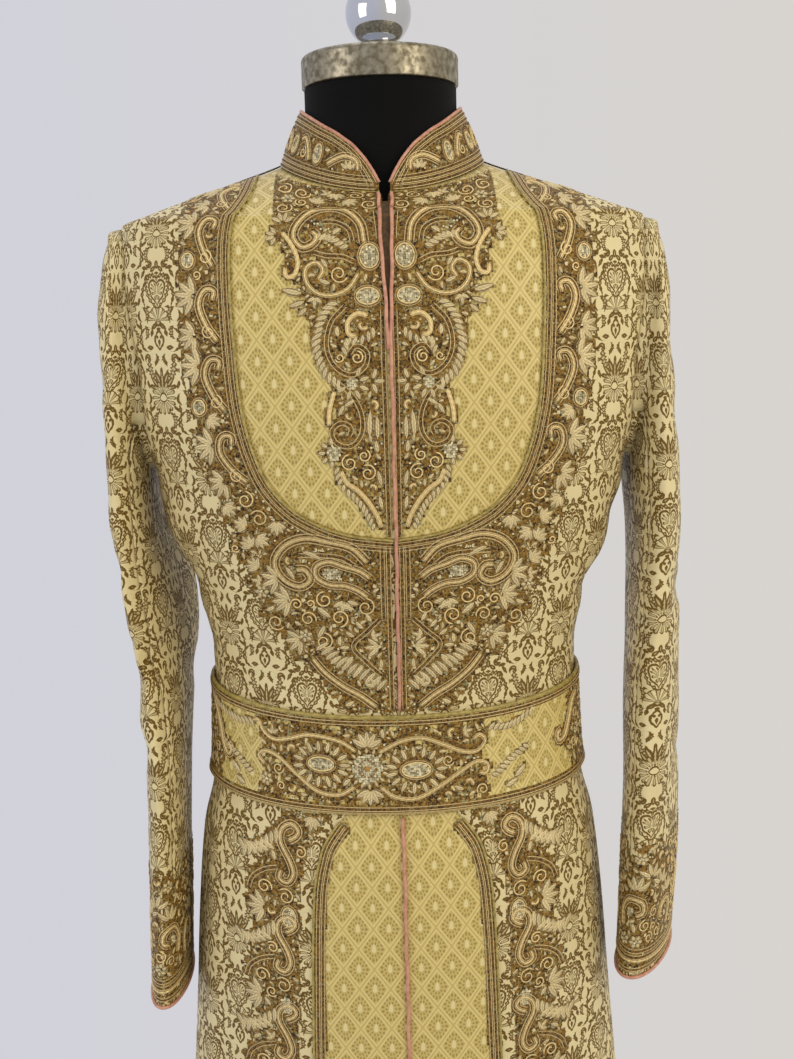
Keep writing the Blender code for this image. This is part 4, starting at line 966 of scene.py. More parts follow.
def add_underlap():
    """A strip of bronze cloth behind the opening."""
    rows = heights(HEM, UNDERLAP_TOP, 0.008)
    across = np.linspace(-UNDERLAP_HALF_WIDTH, UNDERLAP_HALF_WIDTH, 9)
    turn = turn_at(across[None, :], rows[:, None])
    height = np.repeat(rows[:, None], len(across), axis=1)
    normals = coat_normal(turn, height)
    points = coat_point(turn, height) - normals * UNDERLAP_IN
    cloth_mm = cloth_millimetres(turn, height, 0.0)
    sheet_of_cloth("underlap", points, normals, cloth_mm, BRONZE_CLOTH, "underlap_cloth", thick=0.0012)


add_backs()
add_underlap()
print("backs and underlap made")


# %% [markdown]
# ## Sleeves
#
# A two-piece sleeve is set into the armhole, hangs empty and flat, and is bent a little at the elbow.
# Each row of its table is one tilted section: the heights of its inner and outer ends, where its middle
# is, and its half width and depth. Creases cross it on a slant, mostly inside the elbow. The first ring
# is the armhole's own edge, and the second stands out from it: that small roll is the sleeve's head.

# %% Sleeve sections
Section = namedtuple("Section", "inner outer middle_x half_width middle_y half_depth shear")
SLEEVE_LEFT = (
    Section(1.2020, 1.3960, 0.2165, 0.0120, 0.002, 0.0640, 0.00),
    Section(1.1960, 1.3780, 0.2190, 0.0150, 0.003, 0.0700, 0.00),
    Section(1.1820, 1.3420, 0.2210, 0.0165, 0.004, 0.0750, -0.02),
    Section(1.1620, 1.2980, 0.2200, 0.0165, 0.005, 0.0780, -0.05),
    Section(1.1380, 1.2460, 0.2165, 0.0165, 0.006, 0.0800, -0.10),
    Section(1.1120, 1.1900, 0.2115, 0.0165, 0.008, 0.0805, -0.16),
    Section(1.0840, 1.1360, 0.2060, 0.0165, 0.010, 0.0800, -0.20),
    Section(1.0500, 1.0840, 0.2020, 0.0170, 0.010, 0.0790, -0.18),
    Section(1.0120, 1.0340, 0.2015, 0.0175, 0.008, 0.0770, -0.10),
    Section(0.9720, 0.9860, 0.2025, 0.0175, 0.003, 0.0740, -0.04),
    Section(0.9280, 0.9360, 0.2030, 0.0170, -0.003, 0.0710, 0.00),
    Section(0.8820, 0.8860, 0.2040, 0.0165, -0.010, 0.0675, 0.00),
    Section(0.8380, 0.8390, 0.2045, 0.0160, -0.016, 0.0640, 0.00),
    Section(0.7920, 0.7920, 0.2055, 0.0160, -0.021, 0.0610, 0.00),
    Section(0.7470, 0.7470, 0.2065, 0.0155, -0.025, 0.0590, 0.00),
)
SLEEVE_RIGHT = (
    Section(1.2020, 1.3960, 0.2165, 0.0120, 0.002, 0.0640, 0.00),
    Section(1.1960, 1.3780, 0.2190, 0.0145, 0.003, 0.0700, 0.00),
    Section(1.1820, 1.3420, 0.2210, 0.0160, 0.004, 0.0750, 0.02),
    Section(1.1620, 1.2980, 0.2235, 0.0170, 0.004, 0.0780, 0.03),
    Section(1.1380, 1.2460, 0.2270, 0.0190, 0.004, 0.0800, 0.05),
    Section(1.1120, 1.1900, 0.2290, 0.0210, 0.005, 0.0805, 0.08),
    Section(1.0840, 1.1360, 0.2300, 0.0230, 0.006, 0.0800, 0.12),
    Section(1.0500, 1.0840, 0.2300, 0.0240, 0.006, 0.0785, 0.15),
    Section(1.0120, 1.0340, 0.2290, 0.0245, 0.004, 0.0765, 0.18),
    Section(0.9720, 0.9860, 0.2280, 0.0250, 0.000, 0.0735, 0.21),
    Section(0.9280, 0.9360, 0.2275, 0.0250, -0.006, 0.0700, 0.24),
    Section(0.8820, 0.8860, 0.2255, 0.0250, -0.012, 0.0665, 0.27),
    Section(0.8380, 0.8390, 0.2230, 0.0245, -0.018, 0.0630, 0.30),
    Section(0.8000, 0.8000, 0.2200, 0.0235, -0.023, 0.0605, 0.34),
    Section(0.7600, 0.7600, 0.2170, 0.0220, -0.027, 0.0585, 0.38),
)
# round is the angle round the sleeve: 0 inner, pi / 2 front, pi outer.
Crease = namedtuple("Crease", "height round half_height half_round fall depth")
CREASES_LEFT = (
    Crease(1.110, 2.60, 0.012, 0.90, 0.020, -0.0040), Crease(1.080, 3.30, 0.010, 0.80, -0.018, -0.0035),
    Crease(1.040, 1.40, 0.012, 0.90, 0.012, -0.0045), Crease(1.005, 4.90, 0.013, 0.90, -0.010, -0.0040),
    Crease(0.955, 3.00, 0.012, 0.90, 0.016, -0.0030), Crease(1.215, 3.20, 0.016, 0.80, 0.020, -0.0030),
    Crease(1.060, 2.00, 0.008, 0.60, 0.022, -0.0018), Crease(0.990, 2.30, 0.009, 0.70, -0.015, 0.0016),
    Crease(0.915, 1.80, 0.009, 0.60, 0.015, -0.0016), Crease(1.165, 2.00, 0.010, 0.60, -0.020, 0.0016),
    Crease(1.280, 2.20, 0.014, 0.60, 0.030, -0.0016), Crease(1.330, 2.70, 0.012, 0.60, 0.020, 0.0012),
)
CREASES_RIGHT = (
    Crease(1.130, 3.50, 0.013, 0.90, -0.022, -0.0040), Crease(1.090, 2.70, 0.011, 0.90, 0.018, -0.0040),
    Crease(1.050, 1.50, 0.012, 0.80, 0.012, -0.0040), Crease(1.010, 4.70, 0.012, 0.90, -0.014, -0.0040),
    Crease(0.940, 3.20, 0.014, 0.90, -0.016, -0.0030), Crease(1.230, 2.90, 0.016, 0.80, 0.020, -0.0030),
    Crease(1.070, 2.10, 0.008, 0.60, -0.022, -0.0018), Crease(1.000, 2.10, 0.009, 0.70, 0.016, 0.0016),
    Crease(0.900, 2.30, 0.009, 0.60, -0.015, -0.0015), Crease(1.170, 1.90, 0.010, 0.60, 0.020, 0.0016),
    Crease(1.290, 2.30, 0.014, 0.60, -0.030, -0.0016), Crease(1.340, 2.60, 0.012, 0.60, 0.020, 0.0012),
)
RING_POINTS = 80            # points round a sleeve
SEAM_POINT = 12             # the under sleeve's seams, counted from the inner line
RING_ROWS = 8               # rings between two rows of a sleeve's table
HEAD_STEP = 0.0035          # how far the head's roll stands in from and out of the armhole
HEAD_IN = 0.0012            # how far its first ring lies inside the body's cloth
ROPE_OUT = 0.0040           # extra fullness of the head, out and up
ROPE_UP = 0.0030
SLEEVE_CLOTH = 0.0020


# %% Sleeve surface
def across_ring(points, axis=0):
    """From each point's neighbour before it to the one after it, on a ring that closes on itself."""
    return np.roll(points, -1, axis=axis) - np.roll(points, 1, axis=axis)


def armhole_ring(way):
    """The armhole's edge as a ring: points, outward directions, and directions into the hole."""
    half = RING_POINTS // 2
    number = np.arange(RING_POINTS)
    step = np.minimum(number, RING_POINTS - number)
    level = ARMPIT + (SHOULDER_TIP - ARMPIT) * (1 - np.cos(math.pi * step / half)) / 2
    front = side_edge(level)
    turn = np.where(number <= half, front, math.pi - front) * way
    turn = np.where(number % half == 0, SIDE * way, turn)
    face = coat_point(turn, level)
    normal = coat_normal(turn, level)
    hole = unit(np.cross(across_ring(face), normal) * way)
    if np.sum((face.mean(axis=0) - face) * hole) < 0:
        hole = -hole
    return face, normal, hole


def ring_normals(grid, way):
    """Outward directions of a grid whose columns close on themselves."""
    return unit(np.cross(np.gradient(grid, axis=0), across_ring(grid, 1)) * way)


def sleeve_grid(way, table, creases):
    """Points and outward directions of a sleeve, ring by ring from the armhole to the cuff."""
    face, out_of_body, hole = armhole_ring(way)
    angle = 2 * math.pi * np.arange(RING_POINTS) / RING_POINTS
    outer_part = (1 - np.cos(angle)) / 2
    rope = outer_part ** 2
    side = np.array([way, 0.0, 0.0])
    first = face + hole * (1.5 * GAP) - out_of_body * HEAD_IN
    second = face + hole * HEAD_STEP + side * (HEAD_STEP + ROPE_OUT * rope)[:, None]
    second = second + out_of_body * (ROPE_UP * rope)[:, None]
    last = len(table) - 1
    fine = np.linspace(0, last, last * RING_ROWS + 1)
    inner, outer, middle_x, half_width, middle_y, half_depth, shear = (
        column[:, None] for column in read_columns(table, np.arange(last + 1), fine, *Section._fields)
    )
    depth = -half_depth * np.sin(angle)
    x = middle_x - half_width * np.cos(angle) + shear * depth
    rings = np.stack([way * x, middle_y + depth, inner + (outer - inner) * outer_part], axis=-1)
    middle = 0.5 * (second + rings[0])
    head = [first * (1 - t) ** 2 + second * 2 * t * (1 - t) + middle * t * t for t in (0.0, 0.25, 0.5, 0.75)]
    head += [middle * (1 - t) + rings[0] * t for t in (0.0, 0.5)]
    grid = np.concatenate([np.array(head), rings])
    normal = ring_normals(grid, way)
    for crease in creases:
        apart = (angle - crease.round + math.pi) % (2 * math.pi) - math.pi
        level = grid[:, :, 2] - crease.height + crease.fall * apart[None, :]
        depth = crease.depth * bump(apart / crease.half_round)[None, :] * bump(level / crease.half_height)
        depth[:len(head)] = 0.0
        grid = grid + normal * depth[..., None]
    return grid, ring_normals(grid, way)


OVAL_HALF_WIDTH = 0.0185    # a typical section of the sleeve, for measuring round it
OVAL_HALF_DEPTH = 0.0730


def oval_lengths():
    """Length round that section from its outer point, for angles from 0 to pi."""
    angle = np.linspace(0, math.pi, 361)
    line = np.stack([OVAL_HALF_WIDTH * np.cos(angle), OVAL_HALF_DEPTH * np.sin(angle)], axis=1)
    return angle, lengths_along(line)


def sleeve_cloth_mm(grid, way, table, from_outer):
    """Round the sleeve from its outer (or inner) line, and up, by each point's own place."""
    levels = [-(row.inner + row.outer) / 2 for row in table]
    middle_x, half_width, middle_y, half_depth, shear = read_columns(
        table, levels, -grid[..., 2], "middle_x", "half_width", "middle_y", "half_depth", "shear"
    )
    forward = -(grid[..., 1] - middle_y)
    aside = way * grid[..., 0] - middle_x + shear * forward
    angle = np.arctan2(forward / half_depth, aside / half_width * (1 if from_outer else -1))
    round_it = np.sign(angle) * np.interp(np.abs(angle), *oval_lengths())
    return np.stack([round_it, grid[..., 2]], axis=-1) / MM


SLEEVES = {}


def add_sleeve(name, way, table, creases):
    grid, normals = sleeve_grid(way, table, creases)
    SLEEVES[name] = (grid, normals)
    spans = (("top", SEAM_POINT, RING_POINTS - SEAM_POINT), ("under", -SEAM_POINT, SEAM_POINT))
    for part, first, last in spans:
        columns = [k % RING_POINTS for k in range(first, last + 1)]
        points, out = grid[:, columns], normals[:, columns]
        points = points - out * seam_roll(edge_distance(points, ("first", "last")))[..., None]
        flat = sleeve_cloth_mm(points, way, table, part == "top")
        sheet_of_cloth(f"{part}_sleeve_{name}", points, out, flat, DAMASK, "damask", thick=SLEEVE_CLOTH)


add_sleeve("left", -1, SLEEVE_LEFT, CREASES_LEFT)
add_sleeve("right", 1, SLEEVE_RIGHT, CREASES_RIGHT)
print("sleeves:", SLEEVES["left"][0].shape[0], "rings of", RING_POINTS, "points")


# %% [markdown]
# ## Collar and belt
#
# A stand collar is a stiff strip that follows the neckline and leans in towards the neck. Its front ends
# are rounded, so its height grows quickly over the first centimetres. The belt is a padded band of its
# own, round the waist and a little lower at the front. Both are closed slabs: a small loop of points,
# outside, over the edge and inside, is carried round the body.

# %% A slab carried round the body
def end_caps(count, around):
    """Quads that close both ends of a tube made of rings of points."""
    caps = []
    for first in (0, (count - 1) * around):
        for k in range(around // 2 - 1):
            quad = (first + k, first + k + 1, first + around - 2 - k, first + around - 1 - k)
            caps.append(quad[::-1] if first else quad)
    return np.array(caps)


def slab_mesh(name, loops, finish, cloth_mm, round_body=False):
    """A closed solid from loops of points, one loop for each step round the body."""
    count, around = loops.shape[:2]
    if round_body:
        loops = np.concatenate([loops, loops[:1]])
        cloth_mm = np.concatenate([cloth_mm, cloth_mm[:1]])
        last = cloth_mm[-1].copy()
        last[:, 0] += cloth_mm[1:-1, :, 0].max() + cloth_mm[1, :, 0].min() - cloth_mm[0, :, 0].max()
        cloth_mm[-1] = last
        count += 1
    faces = grid_faces(count, around, closed=True)
    points = loops.reshape(-1, 3)
    corners = points[faces]
    middle = (corners[:, 0] + corners[:, 2]) / 2
    core = np.repeat(loops.mean(axis=1), around, axis=0)[:len(middle)]
    area = np.cross(corners[:, 2] - corners[:, 0], corners[:, 3] - corners[:, 1])
    if np.sum((middle - core) * area) < 0:
        faces = faces[:, ::-1]
    groups = [(faces, 0)]
    if not round_body:
        groups.append((end_caps(count, around)[:, ::-1], 0))
    return new_mesh(name, points, groups, [finish], cloth_mm.reshape(-1, 2))


# %% Collar
COLLAR_RISE = (
    Line(0.000, 0.0050), Line(0.005, 0.0140), Line(0.013, 0.0240), Line(0.027, 0.0340),
    Line(0.050, 0.0400), Line(0.090, 0.0420), Line(0.250, 0.0375),
)
COLLAR_TOP_RADIUS = 0.0670
COLLAR_THICK = 0.0030
COLLAR_LEAN = 0.012         # how far its outer face looks up, against its radius
COLLAR_BOW = 0.0006         # how far it bows out between seam and edge
COLLAR_CROWN = 0.0008       # how far its upper edge is rounded up
NECK_Y = -0.004
COLLAR_ROWS = 9


def collar_surface(turn, part):
    """Outer face of the collar at a turn and a part of its height, and the direction out of it."""
    foot = coat_point(turn, COLLAR_SEAT) + coat_normal(turn, COLLAR_SEAT) * 2 * GAP
    along = collar_from_end(turn)
    rise = read(COLLAR_RISE, "across", along)
    lean = rise / COLLAR_RISE[5].across
    ring = np.stack([np.sin(turn), -np.cos(turn), np.zeros_like(turn)], axis=-1) * COLLAR_TOP_RADIUS
    ring[..., 1] += NECK_Y
    ring[..., 2] = foot[..., 2] + rise
    share = np.stack([lean, lean, np.ones_like(lean)], axis=-1)
    top = foot + (ring - foot) * share
    point = foot + (top - foot) * np.asarray(part)[..., None]
    out = np.stack([point[..., 0], point[..., 1] - NECK_Y, np.full_like(turn, COLLAR_LEAN)], axis=-1)
    return point, unit(out), rise


def neck_length_table():
    """Length along the neckline from the collar's front end, for turns from there to the centre back."""
    start = turn_at(read(SLIT, "across", NECKLINE), NECKLINE)
    turns = np.linspace(float(start), math.pi, 400)
    return turns, lengths_along(coat_point(turns, np.full_like(turns, NECKLINE)))


NECK_TURNS, NECK_LENGTHS = neck_length_table()


def collar_from_end(turn):
    """Length along the collar from its nearer front end."""
    return np.interp(np.where(turn > math.pi, 2 * math.pi - turn, np.abs(turn)), NECK_TURNS, NECK_LENGTHS)


def collar_turns(count, extra, crowded):
    """Turns from one front end round to the other, with extra ones over the first crowded metres."""
    lengths = np.concatenate([np.linspace(0, NECK_LENGTHS[-1], count), np.linspace(0, crowded, extra)])
    half = np.interp(np.unique(lengths), NECK_LENGTHS, NECK_TURNS)
    return np.concatenate([half, 2 * math.pi - half[-2::-1]])


def add_collar():
    turns = collar_turns(84, 16, 0.02)
    parts = np.linspace(0, 1, COLLAR_ROWS)
    turn, part = np.meshgrid(turns, parts, indexing="ij")
    outer, out, rise = collar_surface(turn, part)
    inner = outer - out * COLLAR_THICK
    bow = np.sin(np.pi * part)[..., None] * out * COLLAR_BOW
    edge = outer[:, -1] * 0.5 + inner[:, -1] * 0.5
    edge[:, 2] += COLLAR_CROWN
    loops = np.concatenate([outer + bow, edge[:, None], inner[:, ::-1]], axis=1)
    side = np.sign(math.pi - turns)
    length = side * np.interp(np.minimum(turns, 2 * math.pi - turns), NECK_TURNS, NECK_LENGTHS)
    flat = np.stack(np.broadcast_arrays(length[:, None], rise * part), axis=-1) / MM
    flat = np.concatenate([flat, flat[:, -1:], flat[:, ::-1]], axis=1)
    seat(slab_mesh("collar_cloth", loops, GROUND, flat), "embroidery", "collar")


add_collar()
print("collar: half the neckline is", round(NECK_LENGTHS[-1] / MM, 1), "mm")

# %% Belt
BELT_LOW = 0.934            # edges at the back, and how far each dips in front
BELT_HIGH = 1.021
BELT_LOW_DIP = 0.009
BELT_HIGH_DIP = 0.015
BELT_SEAT = 0.0010          # from the coat's cloth to the belt's inner face
BELT_SINK = 0.0004          # taken off its thickness
BELT_COLUMNS = 210
Profile = namedtuple("Profile", "height thickness")
BELT_PROFILE = (
    Profile(0.00, 0.0012), Profile(0.015, 0.0028), Profile(0.05, 0.0036), Profile(0.09, 0.0034),
    Profile(0.16, 0.0030), Profile(0.50, 0.0034), Profile(0.84, 0.0030), Profile(0.91, 0.0034),
    Profile(0.95, 0.0036), Profile(0.985, 0.0028), Profile(1.00, 0.0012),
)
BELT_LEVELS = np.array([
    0, 0.015, 0.05, 0.09, 0.16, 0.24, 0.32, 0.41, 0.50, 0.59, 0.68, 0.76, 0.84, 0.91, 0.95, 0.985, 1,
])


def belt_height(turn, part):
    """Nominal height of a part of the belt's width at a turn."""
    ease = np.maximum(np.cos(turn), 0.0) ** 1.2
    low = BELT_LOW - BELT_LOW_DIP * ease
    high = BELT_HIGH - BELT_HIGH_DIP * ease
    return low + (high - low) * part


def add_belt():
    turns = 2 * math.pi * (np.arange(BELT_COLUMNS) + 0.5) / BELT_COLUMNS
    turn, part = np.meshgrid(turns, BELT_LEVELS, indexing="ij")
    height = belt_height(turn, part)
    normal = coat_normal(turn, height)
    inner = coat_point(turn, height) + normal * BELT_SEAT
    thick = read(BELT_PROFILE, "thickness", part)
    outer = inner + normal * (thick - BELT_SINK)[..., None]
    loops = np.concatenate([outer, inner[:, ::-1]], axis=1)
    flat = cloth_millimetres(np.where(turn > math.pi, turn - 2 * math.pi, turn), height, 0.0)
    flat = np.concatenate([flat, flat[:, ::-1]], axis=1)
    seat(slab_mesh("belt_cloth", loops, BROCADE, flat, round_body=True), "yellow_brocade", "belt")


add_belt()
print("belt:", BELT_COLUMNS, "columns")


# %% [markdown]
# ## Cords of every size
#
# Piping is a cord wrapped in satin, caught in the edge's seam. It and every thread of the embroidery are
# round cords laid along a path, so one function makes them all: at each point of the path the surface's
# normal and the path's direction give a small frame, and a ring of points is set round it. Small cords
# have no underside, since that is sewn to the cloth.

# %% Cord helper
PIPE = 0.0014               # radius of the piping
CORD_SIDE_MM = 0.9          # width of one of its sides in the flat cloth


def cord_points(path, normal, radius, angles, closed):
    """Rings of points round a path on a surface; angles are measured from the surface's side."""
    along = across_ring(path) if closed else np.gradient(path, axis=0)
    side = np.cross(along, normal)
    side /= np.maximum(np.linalg.norm(side, axis=-1, keepdims=True), 1e-12)
    radius = np.broadcast_to(radius, (len(path),))[:, None, None]
    cosine, sine = np.cos(angles)[None, :, None], np.sin(angles)[None, :, None]
    return path[:, None, :] + radius * (side[:, None, :] * cosine + normal[:, None, :] * sine)


def piping(name, path, normal, slot, *nodes, closed=False, radius=PIPE, finish=PIPING, sides=10):
    """A whole round cord along a path."""
    angles = 2 * math.pi * np.arange(sides) / sides
    points = cord_points(path, normal, radius, angles, closed)
    if closed:
        points = np.concatenate([points, points[:1]])
    groups = [(grid_faces(len(points), sides, closed=True, flip=True), 0)]
    if not closed:
        groups.append((end_caps(len(points), sides), 0))
    length = lengths_along(points[:, 0])
    flat = np.stack(np.broadcast_arrays(np.arange(sides) * CORD_SIDE_MM, length[:, None] / MM), axis=-1)
    seat(new_mesh(name, points.reshape(-1, 3), groups, [finish], flat), slot, *nodes)


# %% Piping on the openings, cuffs and collar
PLACKET_LIFT = 0.0012       # the placket's embroidery under the front piping
PLACKET_TOP = 1.444
SLIT_END = 1.300
BEHIND_BELT = BELT_HIGH - 0.010                 # where the chest's piping ends, and the skirt's
BELOW_BELT = BELT_LOW - BELT_LOW_DIP - 0.002


def opening_piping(name, way, low, high, *nodes):
    rows = heights(low, high, 0.004)
    turn = way * turn_at(0.0012 + read(SLIT, "across", rows), rows)
    normal = coat_normal(turn, rows)
    lift = PLACKET_LIFT * bump((rows - 1.32) / 0.10) + PIPE * 0.9
    wander = 0.0003 * np.sin(rows * 190.0 + way) + 0.0002 * np.sin(rows * 67.0)
    path = coat_point(turn, rows) + normal * lift[:, None]
    path[:, 0] += wander
    piping(name, path, normal, "piping", *nodes)


def cuff_piping(name, grid, *nodes):
    edge = grid[-1]
    up = np.tile([0.0, 0.0, 1.0], (len(edge), 1))
    out = np.cross(unit(across_ring(edge)), up)
    if np.sum((edge - edge.mean(axis=0)) * out) < 0:
        out = -out
    path = edge + out * 0.0008 + up * PIPE * 0.4
    piping(name, path, out, "piping", *nodes, closed=True)


def collar_piping():
    turns = collar_turns(70, 14, 0.03)
    point, out, _ = collar_surface(turns, np.ones_like(turns))
    path = point - out * COLLAR_THICK * 0.45
    path[:, 2] += PIPE
    piping("collar_edge_piping", path, out, "piping", "collar_piping")


opening_piping("chest_opening_piping_right", 1, BEHIND_BELT, PLACKET_TOP, "front_piping_right_chest")
opening_piping("chest_opening_piping_left", -1, SLIT_END, PLACKET_TOP, "front_piping_left")
opening_piping("skirt_opening_piping_right", 1, HEM, BELOW_BELT, "front_piping_right_skirt")
for name, (grid, _) in SLEEVES.items():
    cuff_piping(f"cuff_edge_piping_{name}", grid, f"cuff_piping_{name}")
collar_piping()
print("piping radius:", PIPE / MM, "mm")


# %% [markdown]
# ## The dress form
#
# The form is a padded body covered in jersey, with flat plates where the arms would join, a metal cap on
# its neck and a ball on top. It stands on a pole in a round foot. Its body reuses the coat's own
# sections, drawn in by the cloth's thickness and some ease, so it always stays clear of the coat. The
# cap, ball, pole and foot are turned parts: a profile spun round an axis.

# %% Torso
FORM_END = 0.800
FORM_CLEAR = 0.0060
FORM_CONTACT = 0.0029
FORM_ARM_PLATE = 0.197
FORM_INSIDE = 0.0026        # the coat's own thickness
NECK_RADIUS = 0.0626
NECK_TOP = 1.5097
NECK_FOOT = 1.484           # where the shoulders' curve has become the upright neck
FORM_COLUMNS = 96
FORM_LEVELS = np.concatenate([np.linspace(0.81, 1.38, 30), np.linspace(1.385, 1.446, 14)])
SHOULDER_TO_NECK = (0.3, 0.55, 0.75, 0.88, 0.97, 1.0)   # rings from the shoulders in to the neck's foot
FORM_TURN_MM = 150.0        # its jersey's width for each radian round the body


def form_ring(turn, row):
    on_shoulder = np.clip((row - 1.385) / 0.02, 0, 1) * np.clip((np.abs(np.sin(turn)) - 0.75) / 0.15, 0, 1)
    clear = FORM_CLEAR + (FORM_CONTACT - FORM_CLEAR) * on_shoulder
    ring = coat_point(turn, row) - coat_normal(turn, row) * (FORM_INSIDE + clear)[:, None]
    ring[:, 0] = np.clip(ring[:, 0], -FORM_ARM_PLATE, FORM_ARM_PLATE)
    return ring


def neck_ring(turn, level, share=1.0):
    """A ring of the neck, or a share of it, at a level."""
    out = NECK_RADIUS * share
    return np.stack([np.sin(turn) * out, NECK_Y - np.cos(turn) * out, np.full_like(turn, level)], axis=1)


def add_form():
    turn = 2 * math.pi * np.arange(FORM_COLUMNS) / FORM_COLUMNS
    foot = coat_point(turn, 0.81) - coat_normal(turn, 0.81) * (FORM_INSIDE + 2.2 * FORM_CLEAR)
    foot[:, 2] = FORM_END
    rings = [foot * [share, share, 1.0] for share in (0.02, 0.5, 0.97)] + [foot + [0, 0, 0.002]]
    rings += [form_ring(turn, row) for row in FORM_LEVELS]
    last = rings[-1]
    for share in SHOULDER_TO_NECK:
        drawn_in = last + (neck_ring(turn, NECK_FOOT) - last) * share
        drawn_in[:, 2] = last[:, 2] + (NECK_FOOT - last[:, 2]) * share ** 2.2
        rings.append(drawn_in)
    rings += [neck_ring(turn, 1.497), neck_ring(turn, NECK_TOP - 0.0015)]
    rings += [neck_ring(turn, NECK_TOP - 0.0003, 0.985), neck_ring(turn, NECK_TOP, 0.97)]
    centre = np.tile([0.0, NECK_Y, NECK_TOP], (FORM_COLUMNS, 1))
    rings += [centre + (rings[-1] - centre) * 0.5, centre + (rings[-1] - centre) * 0.01]
    grid = np.array(rings)
    side_line = grid[:, FORM_COLUMNS // 4]
    flat = np.stack(np.broadcast_arrays(turn * FORM_TURN_MM, lengths_along(side_line)[:, None] / MM), axis=-1)
    faces = grid_faces(len(grid), FORM_COLUMNS, closed=True, flip=True)
    seat(new_mesh("form_body", grid.reshape(-1, 3), [(faces, 0)], [JERSEY], flat), "jersey", "form_torso")


add_form()
print("form: neck top at", NECK_TOP, "m")


# %% Turned parts
CAP_RADIUS = 0.0645
CAP_HEIGHT = 0.0252
CAP_FOOT = NECK_TOP + GAP
FINIAL_FOOT = CAP_FOOT + CAP_HEIGHT + GAP
BALL_RADIUS = 0.0270
BALL_MIDDLE = 0.0100 + BALL_RADIUS * 0.88
POLE_RADIUS = 0.0160
BASE_RADIUS = 0.1700
BASE_HEIGHT = 0.0160
BOSS_TOP = 0.0610
BOSS_RADIUS = 0.0300
PINHOLE = 0.0004            # radius left at the middle of a closed end


def arc(radius, x, z, start, end, steps):
    """Radius and height pairs along an arc; angles in degrees from the horizontal."""
    angles = np.radians(np.linspace(start, end, steps + 1))
    return [(x + radius * math.cos(a), z + radius * math.sin(a)) for a in angles]


def turned(name, profile, finish, slot, node, y, z, sides=112):
    """A profile of (radius, height) pairs spun round an upright axis, closed at both ends."""
    profile = [(PINHOLE, profile[0][1])] + list(profile) + [(PINHOLE, profile[-1][1])]
    angle = 2 * math.pi * np.arange(sides) / sides
    grid = np.array([[(r * math.cos(a), r * math.sin(a) + y, h + z) for a in angle] for r, h in profile])
    faces = grid_faces(len(grid), sides, closed=True, flip=False)
    piece = new_mesh(name, grid.reshape(-1, 3), [(faces, 0)], [finish])
    edges = piece.modifiers.new("edges", "EDGE_SPLIT")
    edges.split_angle = math.radians(50)
    seat(piece, slot, node)


def add_stand():
    cap = arc(0.0012, CAP_RADIUS - 0.0012, 0.0012, -90, 0, 4) + [(CAP_RADIUS, 0.0060), (CAP_RADIUS, 0.0180)]
    cap += arc(0.0042, CAP_RADIUS - 0.0042, CAP_HEIGHT - 0.0042, 0, 80, 10)
    cap += [(CAP_RADIUS - 0.012, CAP_HEIGHT - 0.00005), (0.0300, CAP_HEIGHT)]
    turned("cap_on_neck", cap, OLD_SILVER, "old_silver", "neck_cap", NECK_Y, CAP_FOOT)
    ball = [(0.0226, 0.0), (0.0230, 0.0004), (0.0230, 0.0026)] + arc(0.0012, 0.0218, 0.0026, 0, 90, 4)
    ball += [(0.0170, 0.0041), (0.0146, 0.0060), (0.0140, 0.0080)]
    ball += arc(BALL_RADIUS, 0.0, BALL_MIDDLE, -56, 90, 26)[:-1]
    turned("ball_on_cap", ball, CHROME, "chrome", "finial", NECK_Y, FINIAL_FOOT)
    pole_foot = BOSS_TOP + GAP
    length = FORM_END - GAP - pole_foot
    pole = [(POLE_RADIUS - 0.0006, 0.0), (POLE_RADIUS, 0.0006)]
    pole += [(POLE_RADIUS, h) for h in np.linspace(0.02, length - 0.02, 24)]
    pole += [(POLE_RADIUS, length - 0.0006), (POLE_RADIUS - 0.0006, length)]
    turned("steel_pole", pole, BLACK_STEEL, "black_steel", "pole", 0.0, pole_foot, sides=64)
    foot = arc(0.0020, BASE_RADIUS - 0.0020, 0.0020, -90, 0, 4)
    foot += arc(0.0060, BASE_RADIUS - 0.0060, BASE_HEIGHT - 0.0060, 0, 90, 10)
    foot += [(0.12, BASE_HEIGHT + 0.0002), (0.06, BASE_HEIGHT + 0.0004)]
    foot += [(BOSS_RADIUS + 0.006, BASE_HEIGHT + 0.0006)]
    foot += [(BOSS_RADIUS + 0.002, BASE_HEIGHT + 0.0022), (BOSS_RADIUS, BASE_HEIGHT + 0.0055)]
    foot += [(BOSS_RADIUS - 0.002, 0.050), (BOSS_RADIUS - 0.003, BOSS_TOP - 0.003)]
    foot += arc(0.003, BOSS_RADIUS - 0.006, BOSS_TOP - 0.003, 0, 90, 6)
    turned("steel_foot", foot, BLACK_STEEL, "black_steel", "stand_base", 0.0, 0.0, sides=144)


add_stand()
print("foot radius:", BASE_RADIUS, "m")


# %% [markdown]
# ## Zardozi: a small stitching kit
#
# Zardozi is sewn on a frame, on flat cloth: cords are laid along a chalked line and caught down, beads
# are strung between two cords, leaves are satin stitch over a pad, and every gap is filled with seed
# beads, small leaves and curls. The code works the same way. Each region has a flat drawing plane in
# millimetres, a stitch is a few points on that plane with a lift above it, and one function at the end
# lays the whole plane on the coat. Drawing one half and laying it twice gives the mirrored pair.
#
# Modelling each stitch costs faces, but bump could not give real highlights and shadows between cords 2
# mm high, so stitches are geometry. The dark lines between them are bump and painted shade.

# %% Lines on the plane
CORD_SLOT, BEAD_SLOT, LEAF_SLOT, SEQUIN_SLOT, GROUND_SLOT = range(5)
STEP = 2.3                  # mm between points of a cord


def even_steps(path, step):
    """The same line with even steps."""
    path = np.asarray(path, float)
    length = lengths_along(path)
    count = max(3, int(round(length[-1] / step)) + 1)
    at = np.linspace(0.0, length[-1], count)
    return np.stack([np.interp(at, length, path[:, 0]), np.interp(at, length, path[:, 1])], axis=1)


